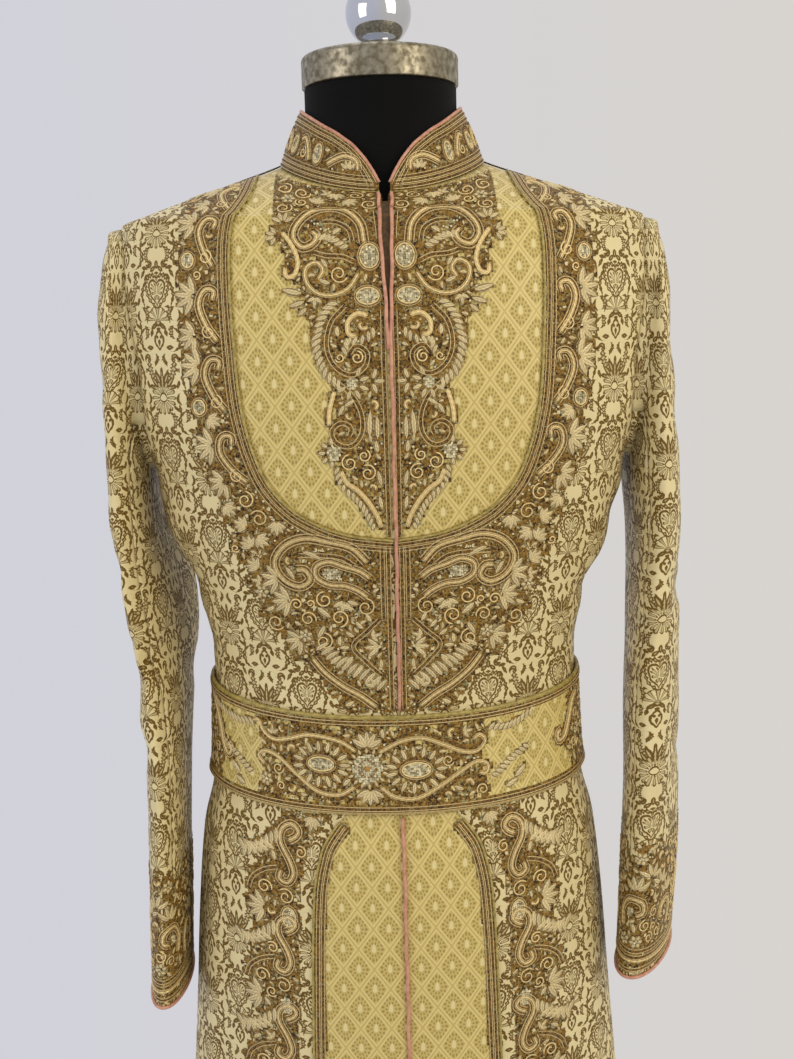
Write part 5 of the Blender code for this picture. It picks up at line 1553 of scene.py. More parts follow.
def curve(*points, step=STEP):
    """A smooth line through a few points."""
    knots = np.array(points, float)
    knots = np.concatenate([[2 * knots[0] - knots[1]], knots, [2 * knots[-1] - knots[-2]]])
    t = np.linspace(0, 1, 9)[:-1, None]
    pieces = []
    for a, b, c, d in zip(knots[:-3], knots[1:-2], knots[2:-1], knots[3:]):
        pieces.append(0.5 * (2 * b + (c - a) * t + (2 * a - 5 * b + 4 * c - d) * t ** 2
                             + (3 * b - a - 3 * c + d) * t ** 3))
    pieces.append(knots[-2:-1])
    return even_steps(np.concatenate(pieces), step)


def spiral(x, y, radius, turns, start, hand, core, step=STEP * 0.8):
    """A line winding in from a circle's edge."""
    t = np.linspace(0, 1, 60)
    angle = math.radians(start) + hand * 2 * math.pi * turns * t
    reach = radius * (1 - (1 - core) * t)
    return even_steps(np.stack([x + reach * np.cos(angle), y + reach * np.sin(angle)], axis=1), step)


def ring(x, y, radius_x, radius_y=None, step=STEP * 0.8):
    """A circle, or an oval."""
    angle = np.linspace(0, 2 * math.pi, 48)
    radius_y = radius_x if radius_y is None else radius_y
    return even_steps(np.stack([x + radius_x * np.cos(angle), y + radius_y * np.sin(angle)], axis=1), step)


def sides_of(path):
    """Directions to the right of a line at each point."""
    along = np.gradient(path, axis=0)
    along /= np.maximum(np.linalg.norm(along, axis=1, keepdims=True), 1e-9)
    return np.stack([along[:, 1], -along[:, 0]], axis=1)


def beside(path, distance, step=STEP):
    """A line beside another, to its right."""
    return even_steps(path + sides_of(path) * distance, step)


print("a test curl has", len(spiral(0, 0, 8, turns=1.6, start=0, hand=1, core=0.18)), "points")


# %% The stitching kit
EIGHT = np.arange(8) * math.pi / 4
AROUND = np.concatenate([[(0.0, 0.0)]] + [
    reach * np.stack([np.cos(EIGHT), np.sin(EIGHT)], axis=1) for reach in (0.5, 1.0)
])

# A leaf is a grid: five steps along it, and seven across from rim to rim. Its height over the grid
# makes the groove down its middle and the gap between it and its rim, and painted shade over the same
# grid darkens the gap nearly to the darkest colour, the groove about halfway and the rim a little.
LEAF_ALONG = np.array([0.0, 0.22, 0.52, 0.82, 1.0])
LEAF_WIDTHS = np.array([0.22, 0.86, 1.0, 0.62, 0.08])
LEAF_RISE = np.array([0.35, 0.95, 1.0, 0.8, 0.3])
LEAF_ACROSS = np.array([-1.42, -1.0, -0.52, 0.0, 0.52, 1.0, 1.42])
LEAF_ARCH = np.array([0.15, 0.02, 0.95, 0.68, 0.95, 0.02, 0.15])
LEAF_PAINTED_SHADE = np.array([0.75, 0.05, 1.0, 0.55, 1.0, 0.05, 0.75])
LEAF_LIFT = 0.14            # mm that its edge stands off the cloth, and that its pad adds
LEAF_PAD = 1.05
LEAF_TONE = 0.93


class Stitching:
    """Stitches on a drawing plane in millimetres, from its lower left to its upper right corner."""

    def __init__(self, low, high, seed, inside):
        self.low, self.high = np.array(low, float), np.array(high, float)
        self.taken = np.zeros(np.ceil(self.high - self.low).astype(int) + 1, bool)
        x, y = np.indices(self.taken.shape)
        self.room = inside(x + self.low[0], y + self.low[1])
        self.random = np.random.default_rng(seed)
        self.points, self.tones, self.flats, self.groups, self.count = [], [], [], [], 0

    def put(self, points, faces, slot, tone, flat):
        points = np.asarray(points, float).reshape(-1, 3)
        self.points.append(points)
        self.tones.append(np.ravel(tone))
        self.flats.append(np.asarray(flat, float).reshape(-1, 2))
        self.groups += [(np.asarray(group) + self.count, slot) for group in faces]
        self.count += len(points)

    def cells(self, points):
        where = np.round(np.asarray(points) - self.low).astype(int)
        return np.clip(where, 0, np.array(self.taken.shape) - 1)

    def cover(self, points, radius):
        """Marks the cells within a distance of some points as taken."""
        reach = int(math.ceil(radius))
        x, y = np.meshgrid(np.arange(-reach, reach + 1), np.arange(-reach, reach + 1), indexing="ij")
        disc = np.stack([x, y], axis=-1)[np.hypot(x, y) <= radius + 0.2]
        where = self.cells((np.asarray(points)[:, None, :] + disc[None, :, :]).reshape(-1, 2))
        self.taken[where[:, 0], where[:, 1]] = True

    def is_free(self, x, y, radius):
        where = self.cells(AROUND * radius + (x, y))
        return bool(np.all(self.room[where[:, 0], where[:, 1]] & ~self.taken[where[:, 0], where[:, 1]]))

    def cord(self, path, radius, lift=0.30, tone=0.72):
        """A laid cord: a low arch along a line, narrow at its ends, with painted shade down its sides; fine
        ones have fewer faces.
        """
        fine = radius < 0.62
        angles = np.radians([-15, 90, 195] if fine else [-25, 35, 90, 145, 205])
        count = len(angles)
        taper = np.ones(len(path))
        taper[[0, -1]] = 0.35
        right = sides_of(path)
        wide = (radius * taper)[:, None, None] * np.cos(angles)[None, :, None] * right[:, None, :]
        points = np.concatenate([
            path[:, None, :] + wide,
            (lift + radius * taper[:, None] * np.sin(angles)[None, :])[..., None],
        ], axis=-1)
        mine = tone + self.random.uniform(-0.12, 0.12)
        # painted shade: the colour is darkest on the cord's sides, where it meets the cloth and its
        # neighbours, and lightest on its top
        shade = mine * np.array([0.22, 1.0, 0.22] if fine else [0.15, 0.85, 1.0, 0.85, 0.15])
        shade = shade + self.random.uniform(-0.05, 0.05, (len(path), 1))
        across = np.cos(angles) * radius * 1.5
        flat = np.stack(np.broadcast_arrays(lengths_along(path)[:, None], across), axis=-1)
        self.put(points, [grid_faces(len(path), count, flip=True)], CORD_SLOT, np.clip(shade, 0, 1), flat)
        self.cover(path, radius + 0.3)

    def beads(self, spots, radius, lift, tone, spread=0.3):
        """Round beads, each a small dome with a flat top; large ones have more sides."""
        spots = np.asarray(spots, float).reshape(-1, 2)
        if not len(spots):
            return
        sides = 4 if radius < 0.74 else 5 if radius < 1.0 else 8
        size = radius * self.random.uniform(0.88, 1.1, len(spots))[:, None]
        angle = 2 * math.pi * np.arange(sides) / sides + self.random.uniform(0, 3, (len(spots), 1))
        parts = []
        for reach, up in ((1.0, 0.15), (0.56, 0.95)):
            x = spots[:, 0:1] + size * reach * np.cos(angle)
            y = spots[:, 1:2] + size * reach * np.sin(angle)
            parts.append(np.stack([x, y, lift + size * up + 0 * x], axis=-1))
        points = np.concatenate(parts, axis=1)
        base = np.arange(len(spots))[:, None] * 2 * sides
        k = np.arange(sides)
        n = (k + 1) % sides
        walls = np.stack([base + k, base + n, base + sides + n, base + sides + k], axis=-1).reshape(-1, 4)
        caps = base + sides + k
        shade = np.clip(tone + self.random.uniform(-spread, spread, (len(spots), 1)), 0, 1)
        shade = np.broadcast_to(shade, (len(spots), 2 * sides))
        self.put(points, [walls, caps], BEAD_SLOT, shade, points[..., :2])
        self.cover(spots, radius + 0.2)

    def leaves(self, rows):
        """Padded satin leaves, each with a groove and a fine rim round it. Each row: base x, base y,
        length, half width, direction, bend."""
        rows = np.asarray(rows, float).reshape(-1, 6)
        if not len(rows):
            return
        x, y, length, half, turn, bend = (rows[:, k:k + 1] for k in range(6))
        angle = np.radians(turn + bend * (LEAF_ALONG - 0.5))
        step = np.diff(LEAF_ALONG, prepend=0.0)
        axis_x = x + np.cumsum(length * np.cos(angle) * step, axis=1)
        axis_y = y + np.cumsum(length * np.sin(angle) * step, axis=1)
        across = (half * LEAF_WIDTHS)[..., None] * LEAF_ACROSS
        px = axis_x[..., None] - np.sin(angle)[..., None] * across
        py = axis_y[..., None] + np.cos(angle)[..., None] * across
        height = LEAF_RISE[:, None] * LEAF_ARCH * np.clip(half / 1.8, 0.6, 1.3)[..., None]
        points = np.stack([px, py, LEAF_LIFT + LEAF_PAD * height], axis=-1)
        steps, wide = len(LEAF_ALONG), len(LEAF_ACROSS)
        base = np.arange(len(rows))[:, None, None] * steps * wide
        faces = (base + grid_faces(steps, wide)[None, :, ::-1]).reshape(-1, 4)
        mine = LEAF_TONE + self.random.uniform(-0.12, 0.07, (len(rows), 1, 1))
        # painted shade across each leaf: darkest in the gap round its pad, half dark in its groove
        shade = np.repeat(mine * LEAF_PAINTED_SHADE, steps, axis=1)
        flat = [(length * LEAF_ALONG)[..., None], half[..., None] * LEAF_ACROSS]
        flat = np.stack(np.broadcast_arrays(*flat), axis=-1)
        self.put(points, [faces], LEAF_SLOT, np.clip(shade, 0, 1), flat)
        for k in range(1, steps - 1):
            self.cover(np.stack([axis_x[:, k], axis_y[:, k]], axis=1), float(np.mean(half)) * 0.9)

    def sequins(self, spots, radius=1.15, lift=0.35, tone=0.6):
        """Small tilted sequins."""
        spots = np.asarray(spots, float).reshape(-1, 2)
        if not len(spots):
            return
        angle = 2 * math.pi * np.arange(6) / 6 + self.random.uniform(0, 1, (len(spots), 1))
        tilt = self.random.uniform(-0.28, 0.28, (len(spots), 2))
        wide = radius * self.random.uniform(0.8, 1.1, (len(spots), 1))
        x = spots[:, 0:1] + wide * np.cos(angle)
        y = spots[:, 1:2] + wide * np.sin(angle)
        z = lift + 0.25 + tilt[:, 0:1] * np.cos(angle) + tilt[:, 1:2] * np.sin(angle)
        middle = np.concatenate([spots, np.full((len(spots), 1), lift)], axis=1)[:, None, :]
        points = np.concatenate([np.stack([x, y, z], axis=-1), middle], axis=1)
        base = np.arange(len(spots))[:, None] * 7
        k = np.arange(6)
        faces = np.stack([base + k, base + (k + 1) % 6, base + 6 + 0 * k], axis=-1).reshape(-1, 3)
        shade = np.clip(tone + self.random.uniform(-0.45, 0.4, (len(spots), 1)), 0, 1)
        self.put(points, [faces], SEQUIN_SLOT, np.broadcast_to(shade, (len(spots), 7)), points[..., :2])
        self.cover(spots, radius)


print("stitching kit ready")


# %% Compound stitches
FEATHER_BEND = 20.0         # degrees


def rail(work, path, gap=1.55, bead=0.80, cord=0.52):
    """Two fine cords with a string of bronze beads between them."""
    work.cord(beside(path, gap), cord, tone=0.86)
    work.cord(beside(path, -gap), cord, tone=0.86)
    work.beads(even_steps(path, bead * 2.35), bead, 0.10, tone=0.26)
    work.cover(path, gap + 0.8)


def padded(work, path, wide=1.22, cord=0.61):
    """A wide padded band of three cords, the middle one raised."""
    work.cord(beside(path, wide), cord, 0.25, tone=0.80)
    work.cord(path, cord * 1.25, 0.50, tone=0.98)
    work.cord(beside(path, -wide), cord, 0.25, tone=0.80)
    work.cover(path, wide + cord + 0.3)


def outlined(work, path, gap=2.9):
    """A padded band with a string of beads, a fine cord and a second string down each side."""
    padded(work, path)
    for way in (1, -1):
        work.beads(even_steps(beside(path, way * (gap - 0.4)), 1.9), 0.66, 0.10, tone=0.24)
        work.cord(beside(path, way * (gap + 0.7)), 0.52, tone=0.90)
        work.beads(even_steps(beside(path, way * (gap + 1.75)), 1.9), 0.62, 0.10, tone=0.24)
        work.cover(beside(path, way * (gap + 1.0)), 1.0)


def curl(work, x, y, radius, start, hand, turns=1.5, core=0.2):
    """A spiral of cord with beads beside it and a bead in its eye."""
    work.cord(spiral(x, y, radius, turns, start, hand, core), 0.66, tone=0.95)
    inner = spiral(x, y, radius * 0.80, turns * 0.88, start, hand, core + 0.08, step=2.0)
    work.beads(inner, 0.70, 0.10, tone=0.22)
    work.beads([(x, y)], 0.9, 0.25, tone=0.5)
    work.cover(ring(x, y, radius * 0.5), radius * 0.5)


def feathers(work, path, way, length, half, pitch, lean=35.0):
    """Leaves along one side of a line, leaning forwards."""
    spots = even_steps(path, pitch)
    right = sides_of(spots) * way
    forward = np.stack([-right[:, 1], right[:, 0]], axis=1) * way
    rows = []
    for k in range(len(spots)):
        out = right[k] * math.cos(math.radians(lean)) + forward[k] * math.sin(math.radians(lean))
        turn = math.degrees(math.atan2(out[1], out[0]))
        start = spots[k] + right[k] * 2.0
        size = length * work.random.uniform(0.85, 1.1)
        rows.append((*start, size, half, turn, FEATHER_BEND * way))
    work.leaves(rows)


def fan(work, x, y, start, end, count, length, half, reach=2.0):
    """Leaves spreading from a point, between two directions."""
    rows = []
    for turn in np.linspace(start, end, count):
        away = math.radians(turn)
        rows.append((x + reach * math.cos(away), y + reach * math.sin(away), length, half, turn, 0.0))
    work.leaves(rows)


def silver(work, x, y, radius_x, radius_y, outline=True):
    """A field of sequins and beads in an oval, with a cord round it."""
    u, v = np.meshgrid(np.arange(-radius_x, radius_x + 1, 1.75), np.arange(-radius_y, radius_y + 1, 1.75))
    u = u.ravel() + work.random.uniform(-0.4, 0.4, u.size)
    v = v.ravel() + work.random.uniform(-0.4, 0.4, v.size)
    keep = (u / radius_x) ** 2 + (v / radius_y) ** 2 < 0.82
    work.sequins(np.stack([x + u[keep], y + v[keep]], axis=1))
    if outline:
        work.cord(ring(x, y, radius_x, radius_y), 0.72, 0.35, tone=0.9)
        work.cord(ring(x, y, radius_x + 1.7, radius_y + 1.7), 0.55, 0.25, tone=0.7)
        work.beads(ring(x, y, radius_x + 3.0, radius_y + 3.0, step=2.0), 0.72, 0.1, tone=0.25)
    work.cover(ring(x, y, radius_x * 0.6, radius_y * 0.6), min(radius_x, radius_y) * 0.6)


def flower(work, x, y, petals, length, half, turn):
    """Petals all round, with sequins in the middle."""
    fan(work, x, y, turn, turn + 360.0 * (petals - 1) / petals, petals, length, half, reach=1.8)
    work.sequins([(x, y), (x + 1, y), (x, y + 1), (x - 1, y - 0.6)], 0.9, 0.7, tone=0.8)


print("compound stitches ready")


# %% Filling and laying down
def spray(work, x, y, size, turn, count):
    """Leaves spreading from one end of a round space, over a curled stem."""
    away = math.radians(turn)
    root = (x - size * 0.85 * math.cos(away), y - size * 0.85 * math.sin(away))
    rows = []
    for k, lean in enumerate(np.linspace(-52, 52, count)):
        long = size * (1.55 - 0.35 * abs(lean) / 52)
        rows.append((*root, long, size * 0.28, turn + lean, lean * 0.5))
    work.leaves(rows)
    work.beads([root], 1.0, 0.3, tone=0.5)


KINDS_BY_SIZE = (
    (7.6, "spray spray curl"), (5.6, "spray curl flower comma"), (4.2, "leaf comma curl leaf"),
    (3.0, "leaf"), (2.1, "leaf"),
)
SEED_PITCH = 2.6            # mm between seed beads
SEQUIN_SHARE = 0.08         # of them, that are sequins
CELL = 3                    # mm, side of a quad of stitched ground


def fill(work, tries=2600, largest=6.5):
    """Fills the free room inside a shape: sprays, curls and commas first, then leaves, then beads."""
    for radius, kinds in KINDS_BY_SIZE:
        if radius > largest + 1.2:
            continue
        for _ in range(tries):
            x, y = work.random.uniform(work.low, work.high)
            if not work.is_free(x, y, radius * 0.94):
                continue
            kind = work.random.choice(kinds.split())
            turn = work.random.uniform(0, 360)
            hand = 1 if work.random.random() < 0.5 else -1
            if kind == "curl":
                curl(work, x, y, radius - 0.6, turn, hand)
            elif kind == "flower":
                flower(work, x, y, 6, radius - 1.6, 1.6, turn)
            elif kind == "spray":
                spray(work, x, y, radius, turn, 3 if radius < 6 else 5)
            elif kind == "comma":
                arm = spiral(x, y, radius * 0.72, 0.6, turn, hand, 0.35)
                padded(work, arm, 1.0, 0.6)
                work.beads(even_steps(beside(arm, hand * 2.3), 1.9), 0.6, 0.1, tone=0.25)
            else:
                away = math.radians(turn)
                base = (x - radius * 0.95 * math.cos(away), y - radius * 0.95 * math.sin(away))
                work.leaves([(*base, radius * 1.9, min(2.0, radius * 0.45), turn, hand * 30)])
            work.cover([(x, y)], radius * 0.75)
    seed_beads(work)


def seed_beads(work):
    """Small beads, with a few sequins, on what is still free."""
    low, high = work.low, work.high
    x, y = np.meshgrid(np.arange(low[0], high[0], SEED_PITCH), np.arange(low[1], high[1], SEED_PITCH))
    x = x.ravel() + work.random.uniform(-0.5, 0.5, x.size)
    y = y.ravel() + work.random.uniform(-0.5, 0.5, y.size)
    where = work.cells(np.stack([x, y], axis=1))
    keep = ~work.taken[where[:, 0], where[:, 1]] & work.room[where[:, 0], where[:, 1]]
    spots = np.stack([x, y], axis=1)[keep]
    bright = work.random.random(len(spots)) < SEQUIN_SHARE
    work.sequins(spots[bright], 0.9, 0.25, tone=0.6)
    work.beads(spots[~bright], 0.72, 0.05, tone=0.35, spread=0.4)


def ground_cells(work):
    """Quads of stitched ground under everything that was covered."""
    columns, rows = (size // CELL for size in work.taken.shape)
    blocks = work.taken[:columns * CELL, :rows * CELL].reshape(columns, CELL, rows, CELL)
    full = blocks.mean(axis=(1, 3)) >= 0.5
    i, j = np.nonzero(full)
    corner = np.arange((full.shape[0] + 1) * (full.shape[1] + 1)).reshape(full.shape[0] + 1, -1)
    faces = np.stack([corner[i, j], corner[i + 1, j], corner[i + 1, j + 1], corner[i, j + 1]], axis=1)
    used, faces = np.unique(faces, return_inverse=True)
    x, y = np.unravel_index(used, corner.shape)
    points = np.stack([x * CELL + work.low[0], y * CELL + work.low[1], np.full(len(x), 0.22)], axis=1)
    work.put(points, [faces.reshape(-1, 4)], GROUND_SLOT, np.full(len(x), 0.5), points[:, :2])


def lay(work, name, place, mirrored):
    """Lays the drawing plane on a surface as one mesh."""
    plane = np.concatenate(work.points)
    face, normal = place(plane[:, 0], plane[:, 1])
    points = face + normal * (plane[:, 2] * MM)[:, None]
    groups = []
    for number in range(5):
        for size in (3, 4, 5, 8):
            chosen = [faces for faces, slot in work.groups if (slot, faces.shape[1]) == (number, size)]
            if chosen:
                faces = np.concatenate(chosen)
                groups.append((faces[:, ::-1] if mirrored else faces, number))
    flat, tone = np.concatenate(work.flats), np.concatenate(work.tones)
    seat(new_mesh(name, points, groups, [*EMBROIDERY, GROUND], flat, tone), "embroidery")


def lay_pair(work, part, plane):
    """Lays a drawing on both sides of the coat."""
    for name, way in SIDES:
        lay(work, f"{part}_embroidery_{name}", plane(way), way < 0)
    print(part, "has", work.count, "points in one half")


print("filling ready")


# %% Drawing planes
def front_level(across, height):
    """How far up the front a point is: its real height, and over the shoulder the length of the slope."""
    here = plain_point(turn_at(across, height), height)
    base = plain_point(turn_at(across, OVER_SHOULDER), OVER_SHOULDER)
    slope = OVER_SHOULDER + np.hypot(here[..., 1] - base[..., 1], here[..., 2] - OVER_SHOULDER)
    return np.where(height > OVER_SHOULDER, slope, here[..., 2])


def nominal_height(across, level):
    """The nominal height of a point on the front, by its distance across and its level."""
    low, high = np.minimum(level, OVER_SHOULDER) - 0.001, np.minimum(level + 0.001, NECKLINE)
    for _ in range(15):
        middle = (low + high) / 2
        short = front_level(across, middle) < level
        low, high = np.where(short, middle, low), np.where(short, high, middle)
    return (low + high) / 2


def on_front(way):
    """Plane of a front: across from the centre front, and level, in millimetres."""
    def place(u, v):
        across = u * MM
        height = nominal_height(across, v * MM)
        turn = way * turn_at(across, height)
        return coat_point(turn, height), coat_normal(turn, height)
    return place


def edge_line(cutout, low, high):
    """The edge of a cut-out as a line on the front's plane, from its bottom up."""
    rows = np.linspace(low, high, 400)
    across = cutout(rows)
    return even_steps(np.stack([across, front_level(across, rows)], axis=1) / MM, STEP)


U_LINE = edge_line(chest_cutout, 1.15252, 1.4428)
ARCH_LINE = edge_line(skirt_cutout, HEM + 0.001, 0.9195)
print("U edge:", len(U_LINE), "points; arch:", len(ARCH_LINE), "points")


# %% [markdown]
# ## The chest: placket, U border and the field below it
#
# The placket hangs from the collar like a bib. Its main forms are two padded horns that meet over silver
# rings at the opening, a lower pair of scrolls, and a long feathered curve on each side that runs down to
# a point. The border follows the U with two bead rails and spreads over the damask in leaves and curls.
# Under the U two padded horns face each other again over a diamond. All of it is drawn for one half.

# %% Placket
def placket_room(u, v):
    height = nominal_height(u * MM, v * MM)
    edge = read(PLACKET_EDGE, "across", height) / MM
    return (u > 2.3) & (u < edge - 1.0) & (height < NECKLINE - 0.005) & (v > 1154)


def stitch_placket():
    work = Stitching((0, 1140), (110, 1512), 11, placket_room)
    rail(work, curve((4.6, 1330), (4.8, 1290), (4.4, 1240), (4.2, 1190), (4.0, 1156)))
    rail(work, curve((8.0, 1408), (6.4, 1392), (6.0, 1383)))
    outlined(work, curve((17, 1380), (20, 1397), (31, 1408), (46, 1411), (60, 1406), (69, 1396), (71, 1386),
                         (65, 1378), (57, 1380), (53, 1386), (57, 1391)))
    rail(work, curve((26, 1381), (29, 1392), (38, 1398), (49, 1399)))
    feathers(work, curve((28, 1380), (40, 1389), (50, 1391)), 1, 8, 1.9, 4.4)
    silver(work, 13.5, 1370, 7.2, 9.0)
    silver(work, 15.5, 1340, 8.6, 6.2)
    padded(work, curve((22, 1357), (30, 1346), (42, 1341), (54, 1343), (62, 1352), (62, 1362), (54, 1366),
                       (49, 1360), (53, 1353)))
    rail(work, curve((25, 1366), (34, 1370), (46, 1371), (56, 1374)))
    curl(work, 37, 1357, 7.0, 200, 1)
    work.leaves([(44, 1350, 9, 1.8, 20, 20), (46, 1362, 8, 1.7, 60, -20)])
    padded(work, curve((80, 1391), (72, 1379), (68, 1367), (71, 1357), (77, 1356), (78, 1363)), 1.1, 0.7)
    fan(work, 79, 1399, 30, 150, 4, 8, 1.7)
    fan(work, 84, 1388, -60, 60, 4, 7, 1.7)
    work.leaves([(66, 1343, 15, 2.3, 12, 10), (64, 1337, 12, 2.0, -18, 10), (62, 1332, 9, 1.8, -40, 0)])
    rail(work, curve((33, 1333), (44, 1321), (48, 1304), (43, 1289), (31, 1281), (20, 1286), (17, 1297),
                     (25, 1303), (31, 1297)))
    feathers(work, curve((37, 1333), (46, 1322), (50, 1304), (46, 1288), (38, 1279)), -1, 9.0, 1.8, 4.0, 40)
    padded(work, curve((16, 1325), (24, 1327), (31, 1321), (31, 1312), (25, 1310)), 1.2, 0.75)
    feathers(work, curve((14, 1318), (22, 1312), (33, 1311), (38, 1303)), 1, 8, 1.7, 4.6)
    curl(work, 25, 1294, 5.0, 90, 1)
    silver(work, 29, 1275, 5.4, 5.4, outline=False)
    fan(work, 29, 1275, 120, 330, 6, 7.5, 1.8, reach=6.0)
    fan(work, 14, 1276, 110, 250, 3, 8, 1.8)
    rail(work, curve((42, 1277), (30, 1266), (23, 1252), (23, 1237), (31, 1227), (42, 1229), (46, 1238),
                     (39, 1245), (31, 1241), (33, 1234)))
    padded(work, curve((43, 1269), (47, 1255), (48, 1243)), 1.1, 0.75)
    work.leaves([(17, 1234, 20, 2.3, 92, 10), (11, 1232, 18, 2.0, 90, 0), (28, 1262, 9, 1.7, -30, 0),
                 (36, 1258, 9, 1.7, -60, 0)])
    silver(work, 45, 1222, 6.5, 6.5, outline=False)
    fan(work, 45, 1222, -80, 80, 5, 5.5, 1.7, reach=6.4)
    curl(work, 33, 1214, 6.6, 90, -1)
    padded(work, curve((40, 1208), (36, 1199), (28, 1193), (20, 1184), (13, 1172), (10, 1163)), 1.2, 0.8)
    curl(work, 19, 1206, 6.6, 60, 1)
    feathers(work, curve((39, 1211), (36, 1199), (27, 1190), (19, 1180), (13, 1167)), -1, 6.5, 1.6, 4.2, 40)
    work.leaves([(11, 1222, 9, 1.9, 80, 20), (9, 1196, 12, 1.9, 78, 0), (9, 1178, 10, 1.8, 80, 0)])
    fill(work)
    ground_cells(work)
    lay_pair(work, "placket", on_front)


stitch_placket()


# %% U border and the field below it
RAILS = (4.2, 8.3)          # mm from the cut edge to each bead rail
SPRAYS_AT = (142, 196, 250, 304, 358, 412)      # mm along the U's edge to each spray of its border


def chest_room(u, v):
    height = nominal_height(u * MM, v * MM)
    outer = read(BAND_EDGE, "across", height) / MM
    wave = 3.0 * np.sin(v * 0.21) + 2.0 * np.sin(v * 0.083 + 1.0)
    line_x, line_y = U_LINE[:, 0], U_LINE[:, 1]
    inner = np.where(height > CHEST_BASE, chest_cutout(height) / MM + 10.5, 2.2)
    below = np.interp(u, line_x[:120], line_y[:120]) - 10.0
    beyond = (u > inner) & ((v < below) | (u > 60))
    return beyond & (u < outer + wave) & (v > 1009) & (height < 1.4426)


def stitch_field_below(work):
    rail(work, curve((5.2, 1147), (5.2, 1100), (5.0, 1050), (5.0, 1012)))
    rail(work, curve((10.0, 1146), (10.0, 1104), (9.8, 1088)))
    outlined(work, curve((22, 1135), (34, 1147), (52, 1152), (70, 1155), (86, 1149), (95, 1135), (89, 1121),
                         (76, 1115), (67, 1121), (71, 1129), (78, 1129)))
    rail(work, curve((30, 1131), (42, 1139), (58, 1141), (76, 1141)))
    outlined(work, curve((20, 1122), (28, 1128), (40, 1132), (52, 1136), (62, 1132), (62, 1123), (52, 1117),
                         (40, 1116), (30, 1112), (22, 1106)), 2.2)
    silver(work, 50, 1126, 7.5, 5.5, outline=False)
    work.leaves([(72, 1144, 16, 2.2, 200, 30), (86, 1131, 12, 2.0, 235, 20)])
    fan(work, 40, 1104, 200, 330, 4, 9, 2.0)
    curl(work, 24, 1098, 7.5, 90, 1)
    curl(work, 45, 1089, 7.5, 270, -1)
    work.leaves([(46, 1101, 14, 2.4, 200, 10), (62, 1098, 13, 2.3, 220, 0), (57, 1082, 12, 2.2, 300, 0)])
    curl(work, 58, 1069, 7.5, 90, 1)
    curl(work, 70, 1088, 6.5, 200, -1)
    fan(work, 84, 1103, -70, 60, 5, 13, 2.6)
    fan(work, 92, 1121, -60, 50, 4, 13, 2.6)
    fan(work, 76, 1070, -80, 30, 4, 12, 2.5)
    rail(work, curve((13, 1088), (24, 1077), (35, 1065), (25, 1052), (13, 1040)))
    fan(work, 14, 1064, -40, 40, 3, 11, 2.1, reach=1.0)
    work.leaves([(20, 1086, 8, 1.8, 60, 0), (27, 1080, 8, 1.8, 50, 0), (34, 1073, 8, 1.8, 35, 0),
                 (38, 1064, 8, 1.8, 0, 0), (35, 1056, 8, 1.8, -35, 0), (28, 1049, 8, 1.8, -50, 0)])
    outlined(work, curve((68, 1054), (58, 1042), (44, 1031), (30, 1023), (18, 1014)), 2.6)
    feathers(work, curve((66, 1060), (54, 1048), (42, 1040), (28, 1032), (18, 1026)), 1, 13, 2.2, 5.4, 10)
    fan(work, 17, 1030, 20, 100, 3, 8, 1.8)


def stitch_chest():
    """The border and the field share one plane, so that nothing is laid twice."""
    work = Stitching((0, 1000), (205, 1500), 12, chest_room)
    for distance in RAILS:
        rail(work, beside(U_LINE, distance), gap=1.35, bead=0.72, cord=0.48)
    stitch_field_below(work)
    rights = sides_of(U_LINE)
    for k, along in enumerate(SPRAYS_AT):
        at = min(int(along / STEP), len(U_LINE) - 2)
        spot, out = U_LINE[at], rights[at]
        up = np.array([-out[1], out[0]])
        turn = math.degrees(math.atan2(out[1], out[0]))
        base = spot + out * 12.5
        hook = ((-23, 0), (-11, 8), (5, 13), (16, 8), (15, 0.5), (8, 2))
        outlined(work, curve(*[base + up * along_it + out * off_it for along_it, off_it in hook]), 2.6)
        fan(work, *(spot + out * 29 + up * 12), turn - 60, turn + 80, 5, 14, 2.7)
        curl(work, *(spot + out * 19 - up * 16), 5.6, 90, 1 if k % 2 else -1)
        if k % 2:
            silver(work, *(spot + out * 33 - up * 19), 4.6, 5.6)
        else:
            fan(work, *(spot + out * 30 - up * 18), turn - 80, turn + 60, 5, 12, 2.5)
    fill(work, tries=5200)
    ground_cells(work)
    lay_pair(work, "chest", on_front)


stitch_chest()


# %% [markdown]
# ## The skirt's border
#
# The arch in the skirt has the same edge as the U: a yellow satin roll and two bead rails. The border
# beside it is a hand's breadth less a thumb wide. S-shaped padded curls stand against the rails, one above
# the other, and sprays of leaves grow from them outwards over the damask.

# %% Skirt border
def shifted(x, y, *points):
    """A curve drawn round a point of its own."""
    return curve(*[(x + u, y + v) for u, v in points])


def skirt_room(u, v):
    height = v * MM
    inner = skirt_cutout(height) / MM + 10.5
    wave = 4.0 * np.sin(v * 0.09) + 2.5 * np.sin(v * 0.23 + 2.0)
    outer = read(BAND_EDGE, "across", height) / MM + wave
    return (u > inner) & (u < outer) & (v > 405) & (v < 924)


